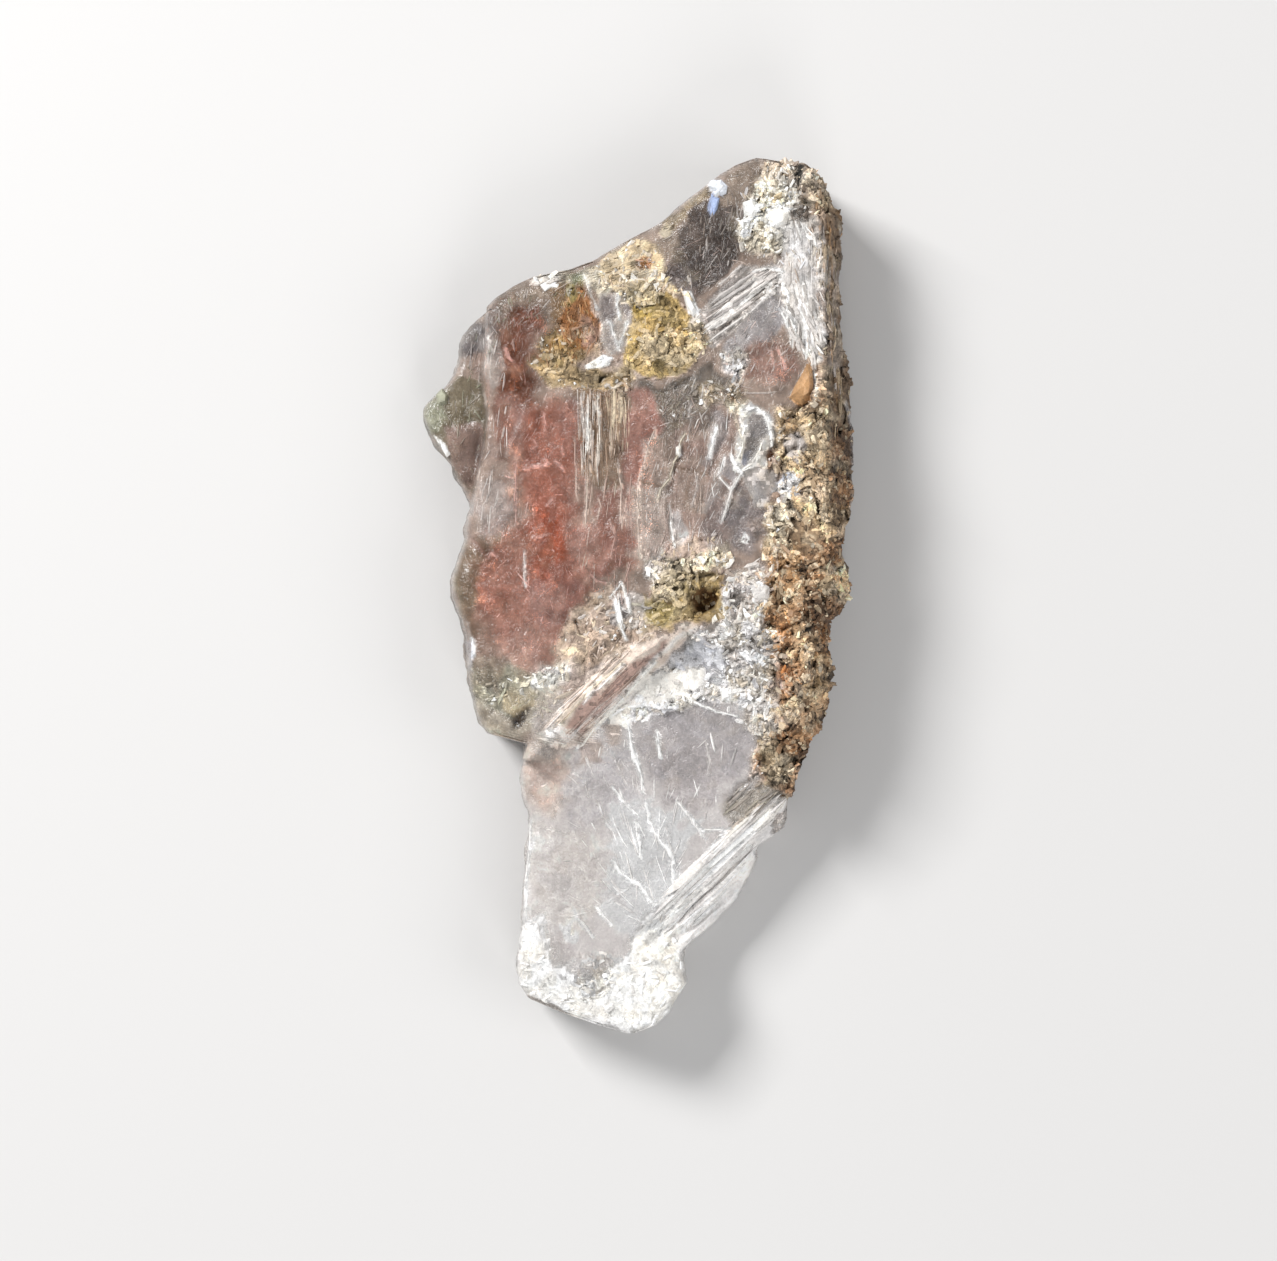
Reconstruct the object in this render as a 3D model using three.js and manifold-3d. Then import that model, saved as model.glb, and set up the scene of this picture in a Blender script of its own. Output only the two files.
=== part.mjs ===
// A selenite blade with native copper sealed inside it, and the sandy clay that it grew in.
// Millimetres, +Z up. The specimen lies on its back cleavage face: X runs across the blade, Y from its narrow
// foot to its pointed tip, and Z out of the shown face. The origin is the bottom centre of its box.
import * as THREE from "three";
import { ImprovedNoise } from "three/addons/math/ImprovedNoise.js";
import { mergeVertices } from "three/addons/utils/BufferGeometryUtils.js";
import Module from "manifold-3d";

const wasm = await Module();
wasm.setup();
const { clamp, lerp, smoothstep } = THREE.MathUtils;
const noise = new ImprovedNoise();

// ---------------------------------------------------------------- driving dimensions
const PARTING_Z = 4.8; // the plane where the clear blade is parted round the copper
const GAP = 0.3; // clearance between pieces that grew against each other
const UPPER_FACE_Z = 8.6; // shown face of the upper blade, over the copper
const LOWER_FACE_Z = 6.4; // shown face of the lower blade, one cleavage step down
const SHELF_FACE_Z = 3.9; // the small shelf at the left edge
const CREST_Z = 10.2; // top of the clay ridge on the right
const LEDGE_ROOT_Z = 6.2; // inside the blade, below every ledge
const FAR = 80; // larger than the specimen
const MIN_ROW = 0.55; // points of an outline that are closer than this in Y share a cross-section

// Outlines: [x, y] from top to bottom, for a left side and a right side that share their end points.
const UPPER_BLADE = {
  left: [
    [9.4, 35], [7.8, 34.5], [6.7, 33.8], [5.1, 32.6], [4.3, 32], [2, 30], [-0.2, 28.8], [-2.6, 27.5],
    [-3.7, 26.8], [-5.6, 26.1], [-7.3, 26], [-8.6, 25.5], [-10.1, 24.8], [-11.4, 23.9], [-12.3, 22.8],
    [-12.6, 20.2], [-12.8, 15.8], [-13.1, 11.8], [-13.5, 7.4], [-13.9, 4.4], [-14.5, 2.8], [-14.9, 1.6],
    [-14.9, 0], [-14.2, -1.6], [-13.8, -2.8], [-13.7, -5], [-13.4, -7.4], [-13, -9], [-12.6, -10.1],
    [-11.8, -10.9], [-10.7, -11.4], [-8.8, -11.7], [-7.2, -12.4],
  ],
  right: [
    [9.4, 35], [11, 34.5], [13, 34.4], [14.2, 33.9], [15, 32.6], [15.8, 30.8], [16, 27], [16, 19.8],
    [16.6, 11.8], [16.2, 6.2], [15.4, -0.2], [13, -3.2], [10.2, -3.6], [7, -2.6], [4.3, -3.8], [1, -6],
    [-3, -9.3], [-5.8, -12], [-7.2, -12.4],
  ],
};
const LOWER_BLADE = {
  left: [
    [-3, -3.4], [-7.8, -10.6], [-8.9, -11.8], [-9.2, -13.4], [-9.4, -14.8], [-9.3, -15.9], [-8.8, -17],
    [-8.6, -18.3], [-8.9, -20.2], [-9.1, -23], [-9.3, -25.8], [-9.5, -28.2], [-9.7, -29.6], [-9.5, -31.4],
    [-8.8, -32.1], [-6.2, -33.2], [-3, -34.3], [-0.6, -35],
  ],
  right: [
    [14.2, -3.4], [14.2, -8.2], [13.4, -11.8], [12.6, -15.4], [12, -16.2], [11.8, -17.8], [11.6, -18.6],
    [10.6, -19.1], [9.5, -20], [9.5, -21.2], [9.1, -22.1], [7.8, -24.4], [5.9, -26.4], [4.6, -27.4],
    [3.7, -28.2], [3.5, -29.2], [3.7, -30.3], [3.9, -30.9], [3, -32.2], [2.2, -33.6], [0.8, -34.7],
    [-0.6, -35],
  ],
};
const SHELF = {
  left: [
    [-12.5, 22.9], [-13.4, 22], [-14.2, 21.1], [-14.5, 20], [-14.5, 18.8], [-14.9, 17.9], [-15.4, 17.2],
    [-16.2, 16.5], [-17, 15.7], [-17.4, 14.8], [-17, 13.6], [-16.5, 12.5], [-15.8, 11.6], [-15, 10.6],
    [-14.6, 9.5], [-13.9, 8.3], [-13.4, 6.8],
  ],
  right: [
    [-11, 22.9], [-11, 6.8],
  ],
};
// The wall between the blade and the clay ridge, from above the tip to below the ridge's foot.
const CLAY_WALL = [
  [12, 36.5], [12.6, 33.4], [13.6, 30.6], [14.1, 27], [14.2, 21.4], [14.1, 17.4], [13, 15], [11.8, 13.8],
  [11.2, 11.4], [10.6, 9.4], [10.7, 6.2], [11.2, 3], [10.2, 0.6], [9.5, -1.4], [9.9, -4.2], [10.4, -8.2],
  [9.8, -11.8], [9.5, -13.8], [10.7, -15.6], [12.3, -16.1],
];
const CLAY_EDGE = [
  [12.9, 34.5], [14.2, 33.9], [15, 32.8], [15.4, 31.3], [16.4, 29.9], [16.4, 27.5], [16.2, 25.6],
  [16.3, 20.2], [16.9, 18.8], [17.1, 16], [17.3, 13.8], [17.4, 10.8], [17.3, 8], [16.8, 5.6], [16.3, 4.2],
  [16.8, 1.9], [17.2, 0.6], [16.3, -1.2], [15.2, -1.9], [15.2, -3.9], [15.6, -6.3], [15.2, -7.6],
  [15.4, -8.4], [14.7, -10.4], [13.8, -11.5], [12.9, -13.8], [12.6, -14.9], [12.3, -16.1],
];
const CLAY_CREST = [
  [12.9, 34.5], [13.4, 29.4], [14, 23.8], [13.9, 14.2], [14.3, 7.8], [14.1, -0.2], [13.2, -8.2],
  [12.2, -16.1],
];
// Clay that fills hollows in the shown face.
const OCHRE_WEDGE = {
  left: [[-5.4, 24.5], [-6.1, 22.6], [-6.6, 21], [-7.9, 18.8], [-7.6, 17.8], [-5, 16.8], [-3.4, 16.5]],
  right: [[-5.4, 24.5], [-4.2, 24], [-2.7, 22.4], [-2.8, 19.6], [-2.1, 18.5], [-1.9, 17], [-3.4, 16.5]],
};
const OCHRE_LOBE = {
  left: [[1.8, 24.9], [0.4, 24.3], [-0.3, 23], [-0.2, 21.4], [-1, 19.6], [-3.6, 18.2], [-3.4, 17.4], [1.5, 16.9]],
  right: [[1.8, 24.9], [3.5, 23.9], [5.2, 22], [5.7, 20], [5, 18.8], [3.4, 17.8], [1.5, 16.9]],
};
const PIT_CLAY = {
  left: [[4.2, 5.2], [2.6, 4.6], [1.4, 3], [1.1, 1.4], [0.8, 0], [1, -1.2], [1.9, -2], [3.4, -2.2]],
  right: [[4.2, 5.2], [5.9, 4.8], [6.9, 3.6], [7, 1.8], [6.9, -0.2], [6.4, -1.3], [5, -1.9], [3.4, -2.2]],
};
const STEP_CLAY = {
  left: [[-1.3, 0.5], [-3, -0.5], [-5, -2.5], [-6.4, -4.6], [-7.4, -7.2], [-6.3, -8.1]],
  right: [[-1.3, 0.5], [-0.2, -1], [0.6, -2.4], [-0.4, -4.2], [-2.8, -5.9], [-4.6, -7.2], [-6.3, -8.1]],
};
const PIT = { x: 5.4, y: -0.4, radius: 1.15, depth: 2.1 };

// Copper leaves, all lying on the parting plane.
const COPPER_LEAF = {
  left: [
    [-9.4, 23.4], [-11.2, 21.8], [-11.5, 19.8], [-11, 15.8], [-10.4, 11.8], [-10.1, 7.8], [-11, 5],
    [-12.3, 3], [-12.9, 0.6], [-12.5, -1.4], [-11.8, -3.6], [-9.8, -5.3], [-7.8, -5.8],
  ],
  right: [
    [-9.4, 23.4], [-7.8, 22.4], [-7.4, 20.2], [-7.7, 17.8], [-5.3, 16.4], [-4.5, 13.8], [-4.3, 9.4],
    [-3, 6.2], [-1, 4.2], [-0.6, 1.4], [-2.6, -0.2], [-4, -3.4], [-5.8, -5.2], [-7.8, -5.8],
  ],
};
const COPPER_BRANCH = {
  left: [[0.6, 16.4], [-0.2, 14.2], [-0.3, 10.2], [-0.7, 6.2], [-1.9, 3], [-3, 0.6]],
  right: [[0.6, 16.4], [1.5, 15.4], [1.4, 11.8], [1, 7.8], [0.2, 3], [-3, 0.6]],
};
const COPPER_RIGHT = {
  left: [[10.4, 21], [9.1, 19.4], [9.5, 17.6], [10.8, 16.4]],
  right: [[10.4, 21], [12.2, 20], [12.6, 18.2], [10.8, 16.4]],
};
const COPPER_LOWER = {
  left: [[-6.9, -13], [-8.1, -14], [-8.2, -15.4], [-7.5, -17]],
  right: [[-6.9, -13], [-5.9, -14.2], [-6.1, -15.8], [-7.5, -17]],
};

// Fibrous ribs on the cleavage steps: start, end, width and the height of their tops.
const RIBS = [
  { from: [-8.2, -11.4], to: [-1.2, -5.6], width: 1, top: 8.9 },
  { from: [-6.4, -11.9], to: [1.8, -5], width: 0.8, top: 7.9 },
  { from: [-5, -11.9], to: [3.2, -4.2], width: 0.8, top: 8.3 },
  { from: [-3.6, -11], to: [5.4, -3], width: 0.9, top: 7.3 },
  { from: [5, 20.9], to: [10.2, 25.9], width: 0.8, top: 9.5 },
  { from: [6.4, 20.6], to: [11.4, 25.2], width: 0.7, top: 9.3 },
  { from: [5.2, 22.4], to: [8.6, 26], width: 0.6, top: 9.1 },
  { from: [1.6, -25.2], to: [8.8, -18], width: 0.9, top: 6.9 },
  { from: [3.2, -25.2], to: [9.8, -18.6], width: 0.8, top: 5.9 },
  { from: [3.8, -22.2], to: [8.2, -17.8], width: 0.6, top: 6.7 },
  { from: [-3.9, 7], to: [-3.7, 16.4], width: 0.7, top: 9 },
  { from: [-2.6, 6], to: [-2.5, 16.2], width: 0.6, top: 9 },
  { from: [-1.4, 7.5], to: [-1, 16], width: 0.5, top: 8.9 },
];
// Cleavage ledges that stand on a face: an outline and the height of the top.
const LEDGES = [
  { top: 9.1, points: [[0.2, 2.4], [0.1, 10], [1.5, 13.2], [2.6, 15.6], [6.4, 16], [5, 12.6], [4.4, 7.6], [3, 5.6]] },
  { top: 9.5, points: [[2.8, 6], [2.1, 8.4], [3.5, 13], [4, 15.4], [7.6, 15.8], [7, 12.4], [6.2, 9.2], [5, 6.4]] },
  { top: 9.9, points: [[8, 14.9], [9.6, 15], [10.5, 14.3], [10.6, 11.8], [9.4, 11], [8, 9.9], [7.2, 11], [7.9, 12.6]] },
  { top: 9.4, points: [[5, 31.6], [8.9, 34.2], [10.4, 33.6], [12.2, 31], [10.4, 27], [8.8, 27.6], [6.8, 30.4]] },
  { top: 9.2, points: [[8.6, 26], [11, 26], [13, 29], [13.8, 20], [12.8, 17.4], [11.6, 20.6], [10.4, 22.6]] },
  { top: 9, points: [[6.8, -2.2], [9.3, -1.8], [10.5, 1], [10.4, 4.6], [8.2, 5.6], [7.6, 2]] },
  { top: 7.2, points: [[5.8, -4.4], [9.4, -4.4], [9.8, -8], [7.4, -7.6], [3.4, -8.6], [1, -9.2], [2.6, -7]] },
];
// Steps broken out of the lower right edge, from the face down to the rim. Each starts at a distance along
// the direction in which they fall, and leaves the blade no higher than its top.
const EDGE_STEPS = { direction: -45, steps: [{ at: 19, top: 5.7 }, { at: 20.2, top: 4.9 }, { at: 21.4, top: 4 }] };
// Ledges missing from the back: an outline and how deep each is.
const BACK_LEDGES = [
  { depth: 0.9, points: [[-20, -19], [14, -9], [20, -9], [20, -40], [-20, -40]] },
  { depth: 0.7, points: [[-20, 24], [4, 24], [6.5, 20], [20, 12], [20, 40], [-20, 40]] },
  { depth: 0.4, points: [[-20, 19], [-9, 19], [-10.5, 4], [-12, -3], [-20, -3]] },
];

// ---------------------------------------------------------------- shapes

// The x of a side at height y, along straight stretches between its points.
function sideAt(side, y) {
  const i = clamp(side.findIndex((p) => p[1] <= y), 1, side.length - 1);
  const [x0, y0] = side[i - 1];
  const [x1, y1] = side[i];
  return y0 === y1 ? x1 : lerp(x0, x1, clamp((y0 - y) / (y0 - y1), 0, 1));
}

// The heights of the cross-sections: at the points of both sides, and no further apart than step.
function rowHeights({ left, right }, step) {
  const corners = [...left, ...right].map((p) => p[1]).sort((a, b) => b - a);
  const rows = [corners[0]];
  for (const y of corners) {
    const last = rows.at(-1);
    if (last - y < MIN_ROW && y !== corners.at(-1)) continue;
    const parts = Math.max(1, Math.ceil((last - y) / step));
    for (let k = 1; k <= parts && last > y; k++) rows.push(lerp(last, y, k / parts));
  }
  return rows;
}

// Columns lie closer together towards the sides, where the faces are rounded.
const columnPlace = (t) => lerp(t, 0.5 - 0.5 * Math.cos(Math.PI * t), 0.6);

// A closed body lofted through cross-sections down Y. front(x, y, edge) and back(x, y, edge) give its two
// faces, where edge is the distance to the nearer side. The outline is widened by grow.
function loft(outline, { front, back, columns = 10, step = 1.6, grow = 0 }) {
  const rows = rowHeights(outline, step);
  const points = [];
  const ring = 2 * (columns + 1);
  const middle = (rows[0] + rows.at(-1)) / 2;
  const stretch = 1 + (2 * grow) / (rows[0] - rows.at(-1));
  for (const row of rows) {
    const y = middle + (row - middle) * stretch;
    const a = sideAt(outline.left, row) - grow;
    const b = sideAt(outline.right, row) + grow;
    for (let k = 0; k < ring; k++) {
      const over = k <= columns;
      const x = lerp(a, b, columnPlace((over ? k : ring - 1 - k) / columns));
      const edge = Math.min(x - a, b - x, Math.abs(y - rows[0]), Math.abs(y - rows.at(-1)));
      points.push(x, y, (over ? front : back)(x, y, Math.max(edge, 0)));
    }
  }
  const faces = [];
  for (let r = 0; r + 1 < rows.length; r++)
    for (let k = 0; k < ring; k++) {
      const a = r * ring + k;
      const b = r * ring + ((k + 1) % ring);
      faces.push(a, a + ring, b, b, a + ring, b + ring);
    }
  const last = (rows.length - 1) * ring;
  for (let k = 1; k + 1 < ring; k++) faces.push(0, k, k + 1, last, last + k + 1, last + k);
  return solidOf(new THREE.BufferGeometry()
    .setAttribute("position", new THREE.Float32BufferAttribute(points, 3))
    .setIndex(faces));
}

// A prism over a polygon, from z = bottom to z = top.
function prism(points, bottom, top) {
  const shape = new THREE.Shape(points.map(([x, y]) => new THREE.Vector2(x, y)));
  const geometry = new THREE.ExtrudeGeometry(shape, { depth: top - bottom, bevelEnabled: false });
  return solidOf(geometry.translate(0, 0, bottom));
}

// A ridge with a sloping flank on each side, along the line between two points of a face.
function rib({ from, to, width, top }) {
  const depth = 1.6;
  const run = new THREE.Vector2(to[0] - from[0], to[1] - from[1]);
  const section = new THREE.Shape([
    new THREE.Vector2(-width / 2, -depth), new THREE.Vector2(width / 2, -depth),
    new THREE.Vector2(width * 0.32, -0.12), new THREE.Vector2(-width * 0.18, 0),
    new THREE.Vector2(-width * 0.4, -0.3),
  ]);
  const geometry = new THREE.ExtrudeGeometry(section, { depth: run.length(), bevelEnabled: false });
  geometry.rotateX(Math.PI / 2).rotateZ(run.angle() + Math.PI / 2);
  return solidOf(geometry.translate(from[0], from[1], top));
}

// A closed three.js geometry as a manifold-3d solid, with the triangles that have collapsed left out.
function solidOf(geometry) {
  const bare = geometry.clone();
  for (const name of ["normal", "uv"]) bare.deleteAttribute(name);
  const merged = mergeVertices(bare, 1e-4);
  const corners = merged.index.array;
  const kept = [];
  for (let i = 0; i < corners.length; i += 3) {
    const [a, b, c] = corners.subarray(i, i + 3);
    if (a !== b && b !== c && c !== a) kept.push(a, b, c);
  }
  return new wasm.Manifold(new wasm.Mesh({
    numProp: 3,
    vertProperties: merged.attributes.position.array,
    triVerts: new Uint32Array(kept),
  }));
}

// Everything on one side of a level plane, as a block to cut with.
function halfSpace(z, up) {
  const block = new THREE.BoxGeometry(FAR * 2, FAR * 2, FAR);
  return solidOf(block.translate(0, 0, up ? z + FAR / 2 : z - FAR / 2));
}

const join = (parts) => parts.reduce((a, b) => a.add(b));
const cut = (body, tools) => tools.reduce((a, b) => a.subtract(b), body);
const bumps = (x, y, size, height) => height * noise.noise(x / size, y / size, size * 1.7);
// How far an edge that is rounded to a radius has dropped at a distance from the side.
const rounded = (edge, radius) => (edge >= radius ? 0 : radius - Math.sqrt(radius ** 2 - (radius - edge) ** 2));

// ---------------------------------------------------------------- selenite

const backFace = (x, y, edge) => rounded(edge, 1.3) + (edge < 1.5 ? Math.abs(bumps(x, y, 2.1, 0.5)) : 0);

function upperBlade() {
  const front = (x, y, edge) =>
    UPPER_FACE_Z + bumps(x, y, 7, 0.4) - rounded(edge, 1.7) + 0.03 * (x - y * 0.3);
  return loft(UPPER_BLADE, { front, back: backFace, columns: 12, step: 2.2 });
}

function lowerBlade() {
  const front = (x, y, edge) => {
    const crust = smoothstep(-y, 27, 29.5); // sugary crust over the foot
    return LOWER_FACE_Z + bumps(x, y, 6, 0.4) - rounded(edge, 0.9) + crust * (0.4 + bumps(x, y, 1.1, 0.5));
  };
  const blade = loft(LOWER_BLADE, { front, back: backFace, columns: 10, step: 1.8 });
  return cut(blade, EDGE_STEPS.steps.map(edgeStep));
}

// What one step takes away: everything above its top, from where it starts outward. The steps end above the
// foot, where the rim turns the other way.
function edgeStep({ at, top }) {
  const block = new THREE.BoxGeometry(FAR, FAR, FAR).translate(at + FAR / 2, 0, top + FAR / 2);
  const solid = solidOf(block.rotateZ(THREE.MathUtils.degToRad(EDGE_STEPS.direction)));
  return solid.intersect(prism([[-FAR, -28], [FAR, -28], [FAR, -16], [-FAR, -16]], 0, FAR));
}

function shelf() {
  const front = (x, y, edge) => SHELF_FACE_Z + bumps(x, y, 3, 0.5) - rounded(edge, 0.9);
  const back = (x, y, edge) => 1 + rounded(edge, 0.9);
  return loft(SHELF, { front, back, columns: 5, step: 1.2 });
}

// The hollow that a piece of clay fills, open at the shown face.
function hollow(outline, floor) {
  return loft(outline, { front: () => FAR, back: () => floor, columns: 2, step: FAR, grow: GAP });
}

const clayZone = (shift, bottom, top) =>
  prism([...CLAY_WALL.map(([x, y]) => [x + shift, y]), [FAR, -16.1], [FAR, 36.5]], bottom, top);

// ---------------------------------------------------------------- copper

const COPPER_LEAVES = [
  { name: "native_copper_main", outlines: [COPPER_LEAF, COPPER_BRANCH], height: 1.3 },
  { name: "native_copper_right", outlines: [COPPER_RIGHT], height: 1 },
  { name: "native_copper_lower", outlines: [COPPER_LOWER], height: 0.6 },
];

// A thin leaf with a hackly upper face, flat where it lies on the parting plane.
function copperLeaf({ outlines, height }) {
  const front = (x, y, edge) =>
    PARTING_Z + height * clamp(0.35 + edge / 2.5, 0, 0.8) + Math.abs(bumps(x, y, 1.3, height * 0.4));
  return join(outlines.map((o) => loft(o, { front, back: () => PARTING_Z, columns: 4, step: 2 })));
}

function copperPocket({ outlines, height }) {
  const roof = () => PARTING_Z + height * 1.25;
  return join(outlines.map((o) =>
    loft(o, { front: roof, back: () => PARTING_Z, columns: 2, step: FAR, grow: GAP })));
}

// ---------------------------------------------------------------- clay

// The sandy ridge along the right side. It is lumpy, and falls away beyond its crest.
function clayRidge() {
  const outline = {
    left: CLAY_WALL.map(([x, y]) => [x - 2, y]),
    right: [[CLAY_EDGE[0][0], 36.5], ...CLAY_EDGE],
  };
  outline.left[0] = outline.right[0];
  outline.left[outline.left.length - 1] = outline.right.at(-1);
  const front = (x, y) => {
    const past = Math.max(x - sideAt(CLAY_CREST, y), 0);
    const low = smoothstep(-y, -2, 17); // the ridge runs down towards its foot
    return CREST_Z - 2.6 * low - 1.15 * past - 0.25 * past ** 2 + bumps(x, y, 1.6, 0.8) + bumps(x, y, 4, 0.8);
  };
  const back = (x, y, edge) => 1 + rounded(edge, 1.6) * 0.8 + Math.abs(bumps(x, y, 2.4, 1.2));
  const raw = loft(outline, { front, back, columns: 8, step: 1.3 });
  const roofed = raw.subtract(prism([[FAR, 34.45], [FAR, FAR], [-FAR, FAR], [-FAR, 34.45]], -1, FAR));
  return roofed.intersect(clayZone(GAP, -1, FAR));
}

// Clay that fills a hollow whose floor is level, and stands a little proud of the face round it.
function clayFill(outlines, floor, crown, size) {
  const front = (x, y, edge) => crown - rounded(edge, 0.8) + bumps(x, y, size, 0.7) + bumps(x, y, 0.7, 0.25);
  return join(outlines.map((o) =>
    loft(o, { front, back: () => floor, columns: 6, step: 1.05 })));
}

const FILLS = [
  { name: "ochre_clay_upper", outlines: [OCHRE_WEDGE, OCHRE_LOBE], floor: 7, crown: 8.9, size: 1.3 },
  { name: "ochre_clay_pit", outlines: [PIT_CLAY], floor: 6, crown: 8.8, size: 1.1 },
  { name: "sandy_clay_step", outlines: [STEP_CLAY], floor: 7, crown: 8.8, size: 1.2 },
];

function pitTool() {
  const cone = new THREE.CylinderGeometry(PIT.radius, PIT.radius * 0.45, PIT.depth + 2, 9);
  cone.rotateX(Math.PI / 2).scale(1.25, 0.85, 1);
  return solidOf(cone.translate(PIT.x, PIT.y, UPPER_FACE_Z - PIT.depth / 2 + 1));
}

// ---------------------------------------------------------------- the specimen

const FINISH = {
  selenite: { color: 0xd6d2cf, roughness: 0.28, metalness: 0, transparent: true, opacity: 0.55 },
  copper: { color: 0xb4583c, roughness: 0.38, metalness: 1 },
  sandy: { color: 0xa48a66, roughness: 0.92, metalness: 0 },
  ochre: { color: 0xa8924f, roughness: 0.95, metalness: 0 },
  cream: { color: 0xcbbd9c, roughness: 0.93, metalness: 0 },
};
const specimen = new THREE.Group();

function addPiece(name, solid, finish) {
  const { numProp, numVert, vertProperties, triVerts } = solid.getMesh();
  const places = new Float32Array(numVert * 3);
  for (let i = 0; i < numVert; i++) places.set(vertProperties.subarray(i * numProp, i * numProp + 3), i * 3);
  const geometry = new THREE.BufferGeometry()
    .setAttribute("position", new THREE.BufferAttribute(places, 3))
    .setIndex(new THREE.BufferAttribute(triVerts, 1));
  geometry.computeVertexNormals();
  const mesh = new THREE.Mesh(geometry, new THREE.MeshStandardMaterial({ ...finish, flatShading: true }));
  mesh.name = name;
  specimen.add(mesh);
}

const grown = join([upperBlade(), lowerBlade(), shelf(), ...RIBS.map(rib),
  ...LEDGES.map(({ points, top }) => prism(points, LEDGE_ROOT_Z, top))]);
const crystal = cut(grown, [
  ...BACK_LEDGES.map(({ points, depth }) => prism(points, -1, depth)),
  ...FILLS.flatMap(({ outlines, floor }) => outlines.map((o) => hollow(o, floor))),
  ...COPPER_LEAVES.map(copperPocket),
  clayZone(0, -1, FAR),
]);

addPiece("selenite_front", crystal.subtract(halfSpace(PARTING_Z, false)), FINISH.selenite);
addPiece("selenite_back", crystal.subtract(halfSpace(PARTING_Z, true)), FINISH.selenite);
for (const leaf of COPPER_LEAVES) addPiece(leaf.name, copperLeaf(leaf), FINISH.copper);
addPiece("sandy_clay_ridge", clayRidge(), FINISH.sandy);
for (const { name, outlines, floor, crown, size } of FILLS) {
  const fill = clayFill(outlines, floor, crown, size);
  const holed = name === "ochre_clay_pit" ? fill.subtract(pitTool()) : fill;
  addPiece(name, holed, name === "sandy_clay_step" ? FINISH.cream : FINISH.ochre);
}

export default specimen;
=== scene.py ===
"""Looks of a selenite blade with native copper sealed inside it and sandy clay down its right side.

Lengths are millimetres in the part's own frame until a mesh is made from them: X across the blade, Y from its
foot to its tip, Z out of the shown face. The blade lies on its back and the camera looks straight down on it.
A call for noise takes a seed, a whole number that gives it a pattern of its own.
"""

import math

import bpy
import numpy as np
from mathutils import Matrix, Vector
from mathutils.bvhtree import BVHTree
from mathutils.kdtree import KDTree


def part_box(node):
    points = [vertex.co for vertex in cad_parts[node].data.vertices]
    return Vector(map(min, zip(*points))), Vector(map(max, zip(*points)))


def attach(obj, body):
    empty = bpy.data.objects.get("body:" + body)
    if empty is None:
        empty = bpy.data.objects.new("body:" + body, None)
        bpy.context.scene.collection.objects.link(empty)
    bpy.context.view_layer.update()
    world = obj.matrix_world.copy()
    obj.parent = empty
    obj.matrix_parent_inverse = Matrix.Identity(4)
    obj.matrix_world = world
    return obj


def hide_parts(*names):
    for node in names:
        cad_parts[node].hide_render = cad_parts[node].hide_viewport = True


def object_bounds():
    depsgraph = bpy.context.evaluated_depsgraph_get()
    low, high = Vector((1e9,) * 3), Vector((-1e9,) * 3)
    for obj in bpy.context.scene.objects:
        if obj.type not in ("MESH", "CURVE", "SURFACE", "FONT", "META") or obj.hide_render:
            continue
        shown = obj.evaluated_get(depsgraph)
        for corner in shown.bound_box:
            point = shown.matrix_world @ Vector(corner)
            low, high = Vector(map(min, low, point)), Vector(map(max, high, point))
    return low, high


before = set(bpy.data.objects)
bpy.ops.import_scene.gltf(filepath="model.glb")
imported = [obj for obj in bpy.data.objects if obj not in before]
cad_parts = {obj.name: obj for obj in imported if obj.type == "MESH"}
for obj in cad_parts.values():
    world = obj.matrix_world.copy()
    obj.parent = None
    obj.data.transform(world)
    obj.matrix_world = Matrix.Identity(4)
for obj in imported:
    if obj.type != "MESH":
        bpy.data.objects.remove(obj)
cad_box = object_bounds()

MM = 0.001  # metres in a millimetre
BODY = "root"
BLADE = ["selenite_front", "selenite_back"]
RIDGE = "sandy_clay_ridge"
HOLLOWS = {"ochre_clay_upper": "ochre_clay_near_tip", "ochre_clay_pit": "ochre_clay_with_pit",
           "sandy_clay_step": "cream_clay_on_step"}  # each with the name of the clay that fills it

# ------------------------------------------------------------------ sizes, the same as in the solids
UPPER_FACE = 8.6
LOWER_FACE = 6.4
SHELF_FACE = 3.9
CREST = 10.2
FACE_TILT = (0.03, -0.009)  # rise of the upper face for each millimetre of x and y
STEP_LINE = [(-7.6, -13), (-3.4, -9), (0.5, -5.7), (4, -3.3), (7.4, -3.9), (12, -7)]
SHELF_LINE = [(-12.1, 24), (-12.4, 18), (-12, 14.6), (-12.4, 12), (-13.1, 8.4), (-13.6, 5)]
RIDGE_CREST = [(12.9, 34.5), (13.4, 29.4), (14, 23.8), (13.9, 14.2), (14.3, 7.8), (14.1, -0.2), (13.2, -8.2),
               (12.2, -16.1)]
EDGE_STEPS = [(19.0, 5.7), (20.2, 4.9), (21.4, 4.0)]  # where each starts towards the lower right, and its top
EDGE_STEPS_END = -28  # the steps stop above the foot
BACK_LEDGES = [
    (0.9, [(-20, -19), (14, -9), (20, -9), (20, -40), (-20, -40)]),
    (0.7, [(-20, 24), (4, 24), (6.5, 20), (20, 12), (20, 40), (-20, 40)]),
    (0.4, [(-20, 19), (-9, 19), (-10.5, 4), (-12, -3), (-20, -3)]),
]
PIT = {"x": 5.4, "y": -0.4, "across": 1.7, "along": 1.2, "depth": 1.7}
RIB_ANGLE = math.radians(42)  # the ribs run at this angle to X

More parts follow.
